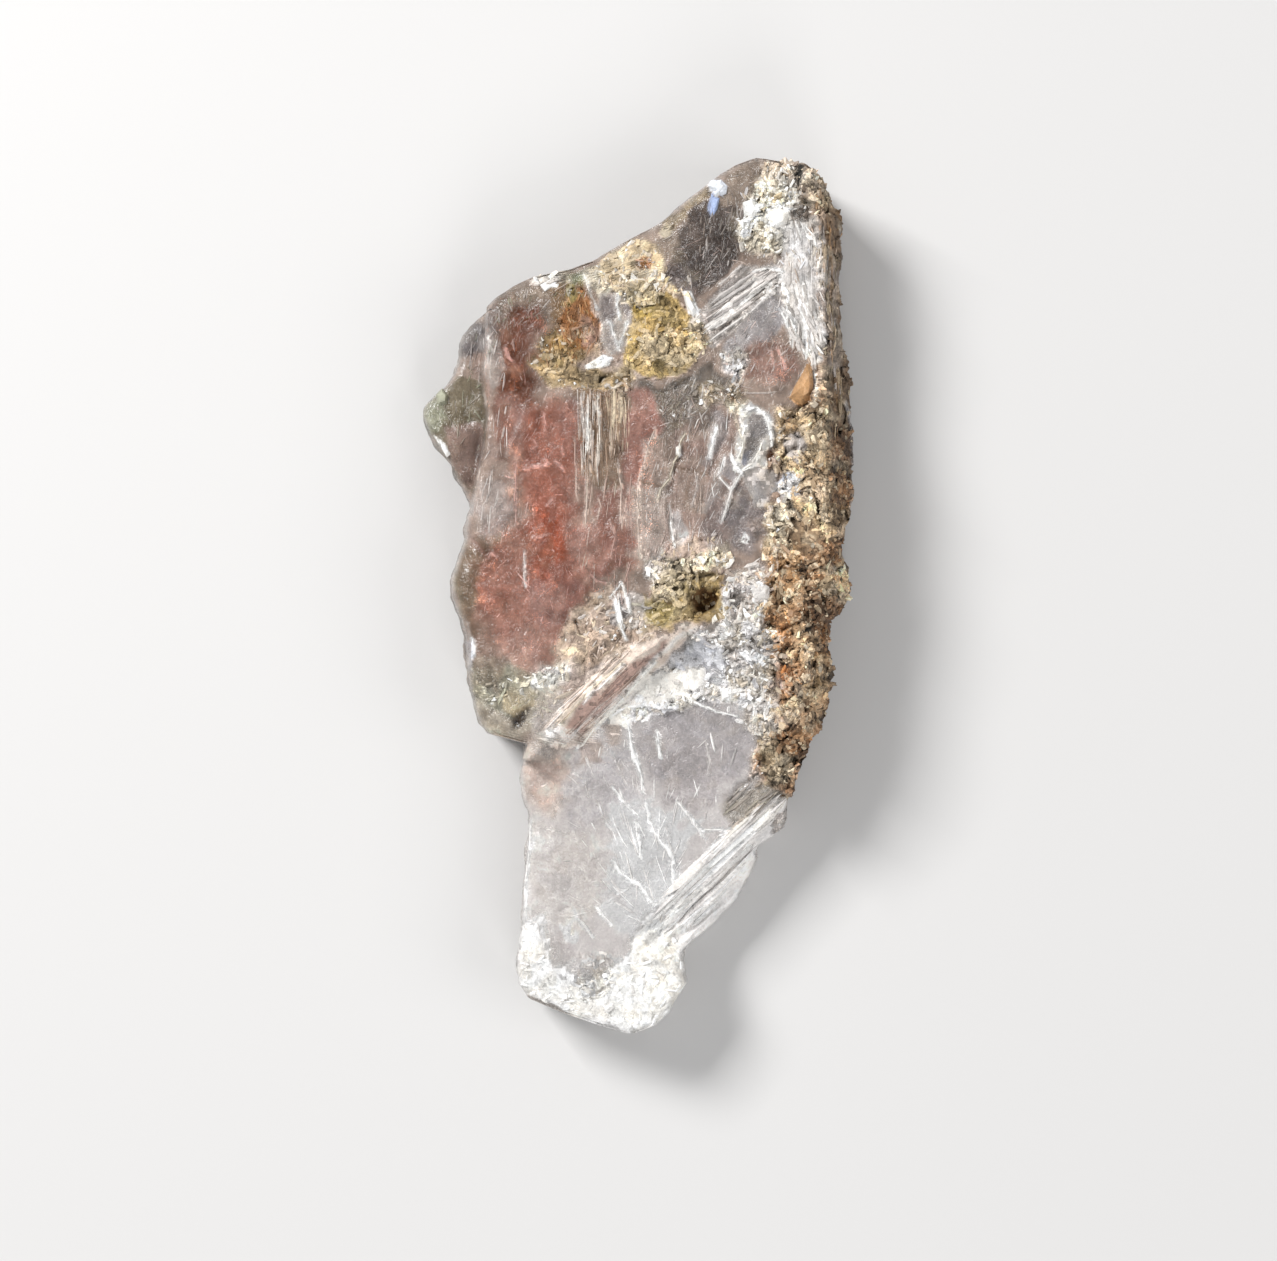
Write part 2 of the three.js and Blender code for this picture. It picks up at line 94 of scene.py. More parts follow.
# ------------------------------------------------------------------ sizes of the dressing alone
TOP = 10.9  # nothing stands higher than this
SIDE = 17.38  # and nothing reaches further to the left or right
CLEARANCE = 0.02  # rows stop this far inside a solid's ends, and small things stay this far off the floor
SHELF_EDGE = 0.35  # half the width of the slope from the shelf up to the blade
SHELF_END = (6.4, 7.2)  # the shelf fades out between these y
STEP_REACH = (2.4, 5.0)  # width of the slope of the step, at its left and at its right
RIM_RADIUS = (0.8, 1.5)  # of the rounded edges of the lower blade and the shelf, and of the upper blade
BACK_RADIUS = 1.0  # of the rounded edge of the back
SHELF_BACK = 1.0  # how far the shelf's back is off the floor
CREST_DROP = 2.6  # how much lower the ridge is at its lower end
FAR = 9.0  # further in from an edge than any rounding or rim reaches
ROW_STEP = 0.158  # distance between the rings of the blade
RIDGE_ROW_STEP = 0.105
BLADE_COLUMNS = (162, 12, 22)  # points of a ring over the front, down each side and over the back
RIDGE_COLUMNS = (66, 10, 16)
BLEND = 1.6  # the clay fades into the crystal over about this width on both sides of their seam
FINEST = 0.11  # the narrowest line that the meshes can carry
RAGGED = 0.5  # how far the edges of patches wander
FACET = 1.1  # size of the broken faces of crumbly ground
CRINKLE = 1.0  # distance between its crests
WRINKLE_SEED = 51  # of those crests, in the mesh and in the wrinkles that follow them
WRINKLE_RINGS = 4  # along a wrinkle, between its two points
DEEP_STEP = 0.5  # slivers don't cross a step deeper than this

# ------------------------------------------------------------------ how bright things are
SHINE = 0.04  # how bright unpainted black crystal looks
SHARES = (0.6, 0.68)  # how much of its paint's brightness the crystal shows below and above the step
BRIGHTEST, DARKEST = 0.97, 0.004  # of any paint, and of the crystal's
GRIME = np.array((0.6, 0.5, 0.42))  # what the deepest stains of the clay leave of its colour
DUSK = np.array((0.72, 0.6, 0.58))  # what the darkest copper leaves of its colour
WARMTH = (0.12, 0, -0.22)  # how far the red, green and blue of a grain may lean
FACET_SHADES = ([0, 0.2, 0.6, 0.85, 1], [0.64, 0.88, 1.02, 1.16, 1.34])  # by a broken face's own number
HOLLOW_SHADES = ([-0.35, -0.1, 0, 0.1, 0.3], [0.58, 0.84, 1, 1.17, 1.35])  # by height above what is near
BOLD = (0.45, 0.75)  # how much of a splinter's colour is its own, on clear and on crumbly ground

# ------------------------------------------------------------------ colours, as sRGB from 0 to 255
PALETTE = {
    "stone_grey": (172, 154, 142), "pale_grey": (202, 197, 195), "light_grey": (171, 149, 139),
    "slate": (118, 114, 116), "green_grey": (116, 108, 90), "pale_green": (160, 160, 138),
    "foot_green": (189, 180, 164), "mauve_grey": (162, 138, 130), "mauve": (106, 68, 54),
    "dusty_pink": (170, 130, 119), "copper": (152, 96, 80), "copper_hot": (154, 80, 56),
    "salmon": (160, 115, 101), "lilac": (156, 120, 115), "pink_grey": (184, 152, 140),
    "olive_grey": (130, 122, 104), "brown_grey": (144, 130, 118), "moss": (136, 142, 110),
    "rust_stain": (150, 116, 76), "rust_ochre": (140, 90, 44), "olive_ochre": (136, 124, 74),
    "grain_yellow": (174, 148, 94), "white": (250, 249, 245), "cream_grey": (202, 192, 172),
    "cream_tan": (214, 192, 156), "light_cream": (226, 209, 180), "rust": (156, 104, 62),
    "pit_dark": (66, 58, 52), "silver": (198, 190, 184), "blue_grey": (138, 129, 126),
    "ochre": (150, 128, 86), "ash": (122, 114, 106), "rose": (156, 112, 100), "fibre_tan": (148, 122, 100),
    "ochre_grey": (138, 117, 74), "umber": (86, 62, 38), "tan_dark": (122, 98, 74), "plum": (92, 84, 80),
    "plum_grey": (116, 105, 100), "olive_tan": (158, 142, 114), "frost": (240, 244, 252),
    "ice_blue": (165, 182, 218), "tan_brown": (168, 132, 94), "tip_tan": (200, 184, 164),
    "warm_white": (250, 245, 236), "frost_grey": (208, 208, 212), "bright_grey": (214, 209, 204),
    "clear_grey": (178, 173, 173), "mauve_red": (146, 104, 94), "orange_tan": (192, 148, 102),
    "wall_brown": (110, 90, 70), "sand": (208, 184, 150), "clay_brown": (148, 114, 84),
    "sand_brown": (150, 108, 70), "ochre_yellow": (178, 152, 84), "rib_cream": (224, 206, 192),
    "rib_white": (248, 243, 239), "trough_pink": (186, 154, 142), "crumb_tan": (184, 162, 144),
    "smoke": (160, 155, 154), "pale_smoke": (192, 188, 188), "pale_pink": (207, 193, 182),
    "pale_milk": (198, 193, 189), "milk_white": (220, 218, 218), "white_crust": (246, 244, 239),
    "ash_light": (176, 172, 168), "pink_glint": (222, 172, 160), "clay": (178, 152, 128),
    "veil": (171, 137, 127), "pit_brown": (120, 86, 50),
}


def linear(name):
    """A palette colour as linear RGB from 0 to 1."""
    c = np.array(PALETTE[name]) / 255.0
    return np.where(c <= 0.04045, c / 12.92, ((c + 0.055) / 1.055) ** 2.4)


# Channels from 0 to 1: how crumbly, how crusted and how full of copper the ground is, and how fibrous.
# Upright fibres run along Y, and slant ones with the ribs. These are the values of a patch that doesn't say.
QUIET = {"crumb": 0.14, "crust": 0.0, "haze": 0.0, "upright": 0.0, "slant": 0.0}


def patch(colour, amount, soft, outline, lift=0.0, **channels):
    """An area of one colour whose edge is soft over this width. lift raises it."""
    return {"colour": colour, "amount": amount, "soft": soft, "line": outline, "lift": lift,
            "channels": {**QUIET, **channels}}


def stroke(colour, amount, width, lift, line):
    """A tapering line of one colour that stands up by lift, or is cut in where lift is negative."""
    return {"colour": colour, "amount": amount, "width": width, "line": line, "lift": lift}


def sheaf(colours, count, angle, spread, length, width, outline, focus=None):
    """A crowd of splinters inside an outline: their colours, how many, their angle to X and its spread in
    degrees, and their usual length and width. With a focus, the angle is from the line that joins it to
    each of them."""
    return {"colours": colours.split(), "count": count, "angle": angle, "spread": spread, "length": length,
            "width": width, "line": outline, "focus": focus}


def chip(colour, lift, outline):
    """A small angular chip that stands up by lift."""
    return {"colour": colour, "lift": lift, "line": outline}


PATCHES = [
    # the upper blade: quiet greys
    patch("light_grey", 0.8, 0.6, [(-14, 20.9), (-11.9, 21.9), (-11.7, 17), (-11.7, 14.6), (-11.9, 12.1),
          (-10, 10.6), (-9.6, 7.2), (-9.7, 4.8), (-13.2, 4.3), (-13.8, 5), (-13.3, 7.7), (-12.6, 10.9),
          (-12.3, 13.8), (-12.6, 17), (-13.4, 19.5)]),
    patch("slate", 0.8, 0.5, [(-14.4, 20.8), (-13.2, 22.2), (-11.7, 23.1), (-11.4, 21.9), (-11.9, 19.9),
          (-13.2, 19.5), (-14.3, 19.7)]),
    patch("green_grey", 0.9, 0.3, [(-17.6, 14.6), (-16.3, 16.5), (-14.4, 17.9), (-12.6, 17.4),
          (-12.1, 15.1), (-12.3, 13.1), (-12.6, 10.9), (-13.2, 8.1), (-14.1, 9.2), (-15.4, 11.1),
          (-17.1, 13.6)]),
    patch("pale_green", 0.9, 0.5, [(-17.7, 14.6), (-16.5, 16.6), (-15.4, 16.4), (-15.2, 14.6),
          (-16.2, 13.5), (-17.2, 13.6)], crumb=0.2),
    patch("mauve_grey", 0.8, 0.4, [(-15.4, 13.8), (-12.7, 14.1), (-12.6, 11.1), (-13.3, 8.4), (-14.1, 9.4),
          (-15.1, 11.6)]),
    patch("mauve", 0.9, 1.6, [(-11.4, 22.9), (-9.7, 23.9), (-8, 23.9), (-7.5, 21.9), (-8, 19.5),
          (-8.3, 17.5), (-8.5, 15.5), (-11, 15.1), (-11.4, 18)], haze=0.25),
    patch("dusty_pink", 0.6, 1, [(-11.2, 15.5), (-8.5, 15.5), (-9.2, 13.1), (-9.5, 10.9), (-11.7, 12.1)],
          haze=0.3),
    patch("copper", 0.85, 2.2, [(-9, 15.3), (-6.8, 15.8), (-4.8, 14.6), (-4.3, 12.1), (-4.6, 9.2), (-5, 6),
          (-5.8, 2.8), (-6.8, 1.1), (-8.5, 1.3), (-9, 4.8), (-9.2, 8.4), (-9.4, 12.1)], haze=1),
    patch("copper_hot", 0.6, 1.6, [(-8.8, 7.2), (-6.8, 7.7), (-5.8, 6), (-6.3, 3.8), (-7.5, 2.3),
          (-8.5, 2.6), (-8.9, 4.8)], haze=1),
    patch("dusty_pink", 0.6, 0.8, [(-6.3, 16), (-4.3, 15.5), (-4.1, 12.1), (-4.6, 9.7), (-5.3, 12.1),
          (-6.3, 13.6)], haze=0.3),
    patch("dusty_pink", 0.7, 0.8, [(-5.3, 6), (-3.4, 6), (-3.1, 2.3), (-4.3, 1.8), (-6.3, 1.1)]),
    patch("salmon", 0.85, 1.8, [(-12.9, 2.5), (-12.7, 4.5), (-8.8, 5), (-4.3, 2.5), (-3.1, 1), (-3.9, -0.7),
          (-5.1, -3.1), (-7, -5.3), (-9, -5.7), (-11, -4.1), (-12.7, -1.9), (-13.3, 0.3)], haze=0.6),
    patch("copper", 0.3, 1, [(-12.9, 0.6), (-11.7, 1.5), (-10.2, 0.1), (-10.7, -1.4), (-11.9, -1.7)],
          haze=0.5),
    patch("lilac", 0.5, 1, [(-8.5, 1.8), (-4.3, 1.5), (-5.3, -1.9), (-7.3, -3.1), (-8.5, -0.7)]),
    patch("olive_grey", 0.7, 0.4, [(-12.9, 4.8), (-10.7, 5.4), (-10.6, 4.3), (-12.4, 3.5)]),
    patch("olive_grey", 0.7, 0.5, [(-14.8, 4.5), (-13.8, 5), (-13.2, 2.5), (-13.2, 1), (-12.9, -1.4),
          (-12.7, -4.3), (-13.2, -5.1), (-13.8, -2.9), (-14.4, -1.4), (-14.8, 1)]),
    patch("brown_grey", 0.8, 0.4, [(-8.3, 24.6), (-5.8, 24.4), (-6.1, 21.4), (-7.5, 21.4), (-8, 22.9)],
          crumb=0.3),
    patch("moss", 0.8, 0.3, [(-5.7, 25.8), (-4.1, 25.9), (-4.3, 24.4), (-5.3, 24.6)], crumb=0.4),
    patch("rust_stain", 0.6, 0.8, [(-7.5, 24.4), (-4.3, 24.8), (-2.6, 21.9), (-2.9, 19.5), (-7.3, 18),
          (-8.3, 18.7), (-6.8, 21.4)], crumb=0.4),
    patch("bright_grey", 0.9, 0.15, [(-8.5, 25.1), (-8.3, 25.6), (-7, 26.2), (-6, 26.1), (-6.2, 24.6),
          (-6.7, 24.8), (-7.3, 24.6), (-8.1, 24.7)], crumb=0.5, crust=1, lift=0.25),
    # the cream top edge and the two grey windows under it
    patch("cream_grey", 0.9, 0.3, [(-4.5, 25.8), (-2.1, 26.8), (-1.9, 24.4), (-3.1, 23.6), (-3.6, 24.4),
          (-4.2, 24.8)], crumb=0.5, crust=0.5),
    patch("cream_tan", 0.9, 0.4, [(-3.4, 26.1), (-2.1, 27.4), (-0.4, 28.3), (1.3, 28.2), (1.8, 26.8),
          (2.8, 25.1), (3.1, 23.7), (2, 24.4), (0.3, 24.6), (-0.2, 22.9), (-0.8, 23.9), (-1.9, 24.8)],
          crumb=0.5, crust=0.9),
    patch("light_cream", 0.8, 0.3, [(-0.9, 25.8), (1.5, 26.1), (2, 24.6), (0.6, 24.4), (-0.4, 22.9),
          (-0.8, 24.4)], crumb=0.4, crust=1),
    patch("rust", 0.9, 0.3, [(-0.3, 26.8), (0.3, 27.2), (1, 26.7), (0.8, 25.9), (0.1, 25.7), (-0.4, 26.2)],
          crumb=0.6),
    patch("pit_dark", 0.9, 0.15, [(-2, 24.4), (-1.6, 24.6), (-1.5, 24.2), (-1.8, 24)], lift=-0.2),
    patch("silver", 0.7, 0.3, [(-3, 24.1), (-0.8, 24.4), (-0.6, 21.9), (-0.8, 19.5), (-2.1, 19.2),
          (-2.8, 20.9)], crumb=0.3, crust=0.3),
    patch("blue_grey", 0.9, 0.2, [(-2.9, 23.1), (-2.7, 23.9), (-2, 24), (-1.6, 23.3), (-1.7, 22.3),
          (-2.1, 21.9), (-2.7, 22.2)], lift=-0.1),
    patch("blue_grey", 0.9, 0.15, [(-1.5, 23.3), (-1.4, 24.1), (-0.9, 24.2), (-0.6, 23.3), (-0.8, 22.3),
          (-1.2, 22.2)], lift=-0.1),
    # a raised white patch painted as a glint
    patch("white", 0.95, 0.12, [(-4.2, 18.3), (-3.4, 18.8), (-2.7, 19.2), (-1.8, 19.1), (-2.1, 18.4),
          (-3, 18), (-4, 17.7)], crust=1, lift=0.2),
    patch("ochre", 0.75, 0.5, [(-8.3, 18.7), (-6.3, 18.5), (-4.3, 17.7), (-2.1, 18), (-0.4, 18.5),
          (0.1, 17.3), (-1.9, 16.3), (-4.3, 16), (-6.3, 17), (-7.9, 17.7)], crumb=0.6, crust=0.9),
    patch("ash", 0.9, 0.6, [(0.3, 17.3), (2, 17), (3.7, 17.7), (5.4, 18.5), (6.9, 18), (7.2, 16.3),
          (6.4, 14.6), (5, 14.6), (3, 15.1), (1.5, 15.8), (0.3, 16)], crumb=0.3),
    # the ochre clay lobes
    patch("rust_ochre", 0.9, 0.3, [(-5.7, 24.8), (-4.3, 24.4), (-2.8, 22.2), (-2.9, 20.7), (-4.3, 19.7),
          (-6.3, 19.5), (-7.5, 18.5), (-7.9, 19), (-6.3, 21.4), (-5.8, 23.4)],
          crumb=0.4, crust=1, upright=0.4),
    patch("ochre_grey", 0.7, 0.6, [(-7.7, 20.2), (-6.2, 21), (-4.6, 19.8), (-4.3, 18.8), (-6.2, 18),
          (-7.6, 18.4)], crumb=0.6, crust=1),
    patch("mauve_grey", 0.5, 0.5, [(-4.3, 22.4), (-3, 22.4), (-2.7, 20.8), (-3.4, 19.8), (-4.5, 20.1)],
          crumb=0.45, crust=1),
    patch("rust", 0.5, 0.3, [(-5.6, 23.8), (-5, 23.3), (-5, 21), (-5.9, 20.4), (-5.8, 22.2)],
          crumb=0.4, crust=1, upright=0.5),
    patch("olive_ochre", 0.8, 0.3, [(-5.8, 25.1), (-5, 25.1), (-4.8, 23.9), (-5.6, 22.9), (-5.9, 23.9)],
          crumb=0.5, crust=1),
    patch("umber", 0.35, 0.4, [(-5.3, 23.4), (-3.9, 22.6), (-3.6, 20.9), (-5.1, 20.7), (-5.7, 21.9)],
          crumb=0.5, crust=1),
    patch("grain_yellow", 0.95, 0.3, [(-0.8, 24.4), (0.3, 25.1), (2, 24.4), (3.5, 22.9), (4.8, 21.4),
          (5.2, 19.5), (3, 17.7), (0.6, 17.5), (-0.9, 18.5), (-0.8, 20.9), (-0.7, 22.6)],
          crumb=0.5, crust=1),
    patch("ochre_yellow", 0.8, 0.3, [(-0.8, 24.4), (0.6, 24.8), (1.5, 23.9), (1, 22.4), (-0.2, 21.9),
          (-0.8, 22.6)], crumb=0.5, crust=1),
    patch("light_cream", 0.5, 0.4, [(0.6, 20.9), (2.5, 21.4), (4.5, 20.4), (4.5, 19), (2, 18.2), (0.3, 19)],
          crumb=0.6, crust=1),
    # the fibrous middle and its terraces
    patch("dusty_pink", 0.85, 0.5, [(-0.7, 16.3), (1.4, 16.2), (1.6, 13.8), (0.8, 11.6), (0.3, 9.2),
          (-0.1, 7.7), (-0.9, 7.9), (-0.8, 10.9), (-1, 13.6)], haze=0.7),
    patch("rose", 0.8, 0.8, [(-3.9, 8.4), (-0.4, 8.9), (-0.2, 6), (-0.4, 2.8), (-2.1, 1.3), (-3.4, 1.8),
          (-3.4, 5.3)], haze=0.5),
    patch("fibre_tan", 0.75, 0.4, [(-4.8, 16.3), (-0.9, 16.3), (-0.8, 11.1), (-1.4, 8.9), (-3.4, 8.7),
          (-4.6, 9.7)], upright=1),
    patch("silver", 0.8, 0.4, [(0.2, 5.3), (2.5, 5), (2.9, 2.3), (1.5, 1.1), (0.3, 1.6)],
          crumb=0.7, crust=0.6),
    patch("light_cream", 0.9, 0.9, [(2.5, 1.7), (2.8, 4), (4.5, 5), (5.7, 5.5), (6.9, 4.4), (7, 2.6),
          (5.4, 1.6), (4, 1.2)], crumb=1, crust=1, lift=0.2),
    patch("blue_grey", 0.85, 0.6, [(6.9, 7.9), (8.6, 9.2), (10.3, 8.4), (10.2, 6), (9.1, 3.5), (7.7, 4),
          (7.2, 6)], crumb=0.4),
    patch("ochre_grey", 0.8, 0.5, [(0.3, -0.1), (3, 1.2), (6.9, 1.6), (7.2, -1.8), (0.1, -1.8)],
          crumb=0.55, crust=0.9),
    patch("silver", 0.8, 0.9, [(7.2, 1.6), (10.3, 2.6), (10.7, -1.8), (6.9, -1.8)], crumb=0.8, crust=0.7),
    patch("umber", 0.9, 0.2, [(9.9, 11.3), (10.7, 11.5), (10.9, 10.6), (10.1, 10.2)], lift=-0.3),
    patch("tan_dark", 0.8, 0.9, [(7, 17), (8.3, 17.3), (8.4, 15.5), (7.3, 15.3)], crumb=1),
    patch("light_grey", 0.85, 0.9, [(-0.2, 9), (1.4, 13.8), (4.2, 15.8), (7.4, 16.2), (7.8, 10.2), (7, 5.4),
          (5, 3), (0.2, 3), (-0.3, 6.2)], upright=0.3),
    patch("brown_grey", 0.75, 0.5, [(1.4, 16.4), (7, 17.2), (7.1, 15.3), (5.2, 15.2), (3.7, 13.8),
          (1.8, 13.6)], crumb=0.4),
    patch("olive_tan", 0.5, 0.4, [(4.2, 17.1), (5.9, 17.6), (6.7, 16.9), (6.2, 15.6), (4.8, 15.6)],
          crumb=0.5),
    patch("stone_grey", 0.8, 0.25, [(1.5, 13.6), (2.9, 13.8), (3.1, 12.8), (3, 11.4), (2.7, 10), (2, 8.9),
          (0.1, 9.1), (0.4, 10.4), (0.9, 11.9)], upright=0.2, lift=0.1),
    patch("stone_grey", 0.7, 0.3, [(3.6, 12.8), (5.2, 13.6), (5.8, 12.4), (5.4, 10.6), (5.6, 9.6),
          (3.8, 10.2), (3, 10.2), (3.3, 11.4)]),
    patch("lilac", 0.3, 0.4, [(3.7, 12.1), (5, 12.6), (5.1, 11.3), (4, 10.8)]),
    patch("stone_grey", 0.6, 0.35, [(3, 10), (5.5, 9.6), (5.1, 8.5), (4.7, 6.8), (3, 6.9), (2.8, 8.5)],
          lift=-0.08, upright=0.3),
    patch("clear_grey", 0.6, 0.5, [(5.4, 14.6), (6.9, 14.8), (6.9, 12.6), (5.9, 10.2), (5.3, 10.8)],
          upright=0.3),
    patch("silver", 0.6, 0.25, [(7, 12.2), (6.9, 11), (6, 9.2), (4.7, 6.8), (5.4, 6.8), (6.6, 8.7),
          (6.9, 10.5)]),
    patch("clear_grey", 0.8, 0.4, [(7.1, 11.2), (8.2, 9.6), (7.5, 8.4), (6.6, 9.6)]),
    patch("pale_grey", 0.75, 0.4, [(3, 6.8), (3.6, 6.8), (3.8, 5.6), (3.6, 4.2), (2.9, 4.1), (2.6, 5.6)],
          upright=0.3),
    patch("pink_grey", 0.5, 0.7, [(-0.1, 7.8), (2.3, 8), (2.7, 6.2), (2.6, 3), (-0.6, 3), (-0.6, 5.4)],
          upright=0.3),
    patch("tan_dark", 0.8, 0.3, [(7, 17.1), (7.9, 17.3), (8.2, 16.1), (8, 15.1), (7.1, 15.3)], crumb=0.9),
    patch("light_cream", 0.7, 0.3, [(7.2, 15.6), (8, 15.2), (8.8, 15.8), (9.1, 14.8), (8.5, 14.2),
          (7.4, 14.4)], crumb=0.6, crust=0.6),
    patch("pit_dark", 0.95, 0.1, [(-1.4, 11.8), (-1.1, 11.9), (-1, 11.4), (-1.4, 11.3)], lift=-0.2),
    patch("dusty_pink", 0.7, 0.7, [(-0.8, 16.4), (1.3, 16.4), (1.5, 15.3), (1.4, 13.6), (0.8, 11.9),
          (0.2, 10.4), (-0.2, 9.2), (-1, 10.3), (-1.1, 12.8)], haze=0.5),
    patch("warm_white", 0.6, 0.35, [(7.8, 13.1), (8.2, 14.8), (9.1, 15.3), (10.1, 14.8), (10.6, 13.9),
          (10.8, 12.6), (10.6, 11.6), (9.9, 10.9), (9, 10.1), (8.3, 9.6), (7.7, 10.1)],
          crust=0.6, lift=0.15),
    patch("slate", 0.75, 0.2, [(8.5, 14.2), (9.2, 14.5), (9.9, 14.4), (10.3, 13.7), (10.3, 12.7),
          (9.8, 12.1), (9.4, 11.2), (8.7, 10.5), (8.4, 11), (8.6, 12.3)], lift=-0.1),
    patch("ice_blue", 0.25, 0.4, [(8.6, 11.6), (9.3, 12), (9.1, 10.8), (8.6, 10.5)]),
    patch("rust", 0.85, 0.2, [(9.9, 11.2), (10.6, 11.6), (11, 10.8), (10.7, 10.1), (10.2, 10.1)],
          crumb=0.7, lift=-0.15),
    patch("orange_tan", 0.9, 0.15, [(13.4, 18.4), (13.8, 18), (13.8, 16.9), (13.7, 15.5), (13, 15.3),
          (12, 15.9), (12.5, 16.8), (13, 17.7)], lift=0.15, crust=0.6),
    patch("light_cream", 0.65, 0.3, [(12.5, 16.5), (13.2, 16.6), (13.1, 15.9), (12.4, 15.9)], crust=0.6),
    patch("rust", 0.6, 0.2, [(13.4, 18), (13.8, 17.9), (13.8, 16.4), (13.6, 15.5), (13.4, 16.4)],
          crust=0.6),
    patch("brown_grey", 0.85, 0.3, [(11.9, 12.5), (12.6, 12.6), (12.9, 11.4), (12.6, 10.4), (12, 9.4),
          (11.4, 8.9), (11, 9.4), (11.4, 10.6)], crust=1, crumb=0.2),
    patch("olive_tan", 0.7, 0.6, [(10.4, 7.2), (11.7, 7.4), (11.8, 5.4), (11.4, 3.6), (10.2, 3.8)],
          crumb=0.9, crust=1),
    patch("light_cream", 0.7, 0.4, [(12.2, 7.8), (13.4, 7.8), (13.8, 6.6), (13.3, 5.8), (12.5, 6)],
          crumb=1, crust=1),
    patch("brown_grey", 0.85, 0.4, [(12.2, 5.7), (13.4, 6), (14.2, 5.2), (13.9, 3.8), (12.5, 4), (12, 4.8)],
          crumb=0.3, crust=1),
    patch("tan_dark", 0.75, 0.6, [(15.2, 10.4), (16.8, 10.7), (17, 8.6), (16.6, 7.2), (15.5, 7),
          (14.9, 8.6)], crumb=1, crust=1),
    patch("sand", 0.6, 0.8, [(15, 14.6), (17, 16.8), (17.3, 13.7), (16.6, 11.4), (15.5, 11.8), (15, 14.2)],
          crumb=0.6, crust=1, upright=0.5),
    patch("rust", 0.7, 0.25, [(14.3, 13.6), (14.8, 13.7), (14.9, 13), (14.4, 12.8)], crumb=0.8, lift=-0.15),
    patch("rust_ochre", 0.8, 0.6, [(13.3, 1.6), (15, 1.9), (15.8, 0.6), (15.5, -1.2), (14.2, -1.6),
          (13.3, -1)], crumb=1, crust=1),
    patch("rust_ochre", 0.75, 0.6, [(14.4, 4.1), (16, 4.3), (16.5, 2.8), (15.7, 1.7), (14.4, 2)],
          crumb=1, crust=1),
    patch("bright_grey", 0.8, 0.4, [(15.4, 1.1), (16.6, 1.6), (17.2, 0.6), (16.6, -0.2), (15.7, -0)],
          crumb=0.7, crust=1),
    patch("umber", 0.8, 0.3, [(11.1, 0.4), (11.7, 0.8), (12.1, 0.3), (11.5, -0.4), (11, -0.2)],
          crumb=0.6, crust=1, lift=-0.2),
    patch("sand", 0.7, 0.5, [(9.4, -0.7), (11.4, -0.5), (12.6, -2.3), (11.8, -3.4), (10.1, -3.1)],
          crumb=0.8, crust=1),
    patch("rust_ochre", 0.85, 0.4, [(10.6, -4), (12.2, -3.7), (12.5, -5.6), (11.5, -6.9), (10.6, -6.9)],
          crumb=1, crust=1),
    patch("rust", 0.85, 0.3, [(10.6, -5.6), (11.2, -5.3), (11.4, -6.6), (10.8, -7)], crumb=1, crust=1),
    patch("mauve_grey", 0.7, 0.5, [(12.4, -6.1), (13.6, -6), (13.9, -7.4), (13.6, -8.4), (12.5, -8.2)],
          crumb=0.4, crust=1),
    patch("tan_brown", 0.6, 0.7, [(13.9, -2.8), (15.2, -2.6), (15.5, -5.8), (15.2, -8.6), (14.1, -8.6)],
          crumb=0.8, crust=1, upright=0.4),
    # the tip
    patch("plum", 0.95, 0.5, [(3, 28.5), (3.7, 30), (5.1, 31.3), (6.9, 31.6), (8, 30), (8.3, 28.5),
          (7.8, 26.3), (6.7, 25.2), (5.1, 24.6), (3.5, 25.1), (2.6, 26.3)], crumb=0.3),
    patch("brown_grey", 0.9, 0.4, [(6.7, 33.4), (8.1, 34.6), (9.4, 35.1), (10.1, 34.3), (8.9, 32.2),
          (8.3, 30.5), (6.9, 31)]),
    patch("brown_grey", 0.8, 0.3, [(1, 28.8), (2.8, 28.8), (3.2, 27.3), (2, 26.8), (1.2, 27.5)]),
    patch("plum_grey", 0.8, 0.4, [(2.6, 26.8), (3.7, 26.3), (5, 24.6), (4.5, 23.4), (3, 24.4), (2.4, 25.6)],
          crumb=0.4),
    patch("olive_tan", 0.7, 0.4, [(1.8, 28.8), (1.5, 29.4), (3.5, 31), (5.4, 32.7), (5.7, 31.7),
          (3.7, 30.2), (2.8, 28.8)], crumb=0.5),
    # a cream highlight painted at the edge
    patch("light_cream", 0.9, 0.15, [(1.5, 29.2), (2.3, 29.8), (2.8, 29.3), (2.5, 28.6), (1.8, 28.7)],
          crust=1, crumb=0.4),
    # a painted glint at the tip, with a painted blue reflection under it
    patch("frost", 0.95, 0.1, [(5.5, 32.9), (6.2, 33.3), (6.9, 32.9), (6.8, 32.2), (6.2, 31.8),
          (5.6, 32.3)], crust=1, lift=0.25),
    patch("ice_blue", 0.9, 0.12, [(5.6, 31.8), (6.3, 31.8), (6.2, 30.8), (5.9, 30.2), (5.6, 30.7)],
          crust=0.5),
    patch("cream_grey", 0.95, 0.9, [(8.4, 30.7), (9.1, 32.6), (10.3, 33.9), (11.8, 33.2), (12.7, 31.7),
          (12.4, 30.2), (12.2, 28.5), (11.6, 27.2), (9.9, 26.9), (8.4, 27.2), (8.1, 29.3)],
          crumb=1, crust=1),
    patch("tip_tan", 0.9, 0.9, [(10, 34.6), (13.9, 34.3), (15.5, 32.2), (14.9, 30.7), (13.3, 31.9),
          (11.8, 32.9), (10.3, 33.3)], crumb=1, crust=1),
    patch("white", 0.9, 0.9, [(8.3, 30.6), (9.3, 31.7), (9.2, 29.3), (8.7, 28.4), (8.1, 29.5)],
          crumb=0.8, crust=1),
    patch("warm_white", 0.95, 0.25, [(10.2, 30.5), (11.3, 31.2), (12.4, 30.6), (12.3, 29.3), (11.2, 28.6),
          (10.2, 29)], crumb=0.6, crust=1, lift=0.15),
    patch("ochre", 0.7, 0.3, [(10.5, 31.9), (11.6, 32.1), (11.7, 31.1), (10.7, 30.8)], crumb=0.5),
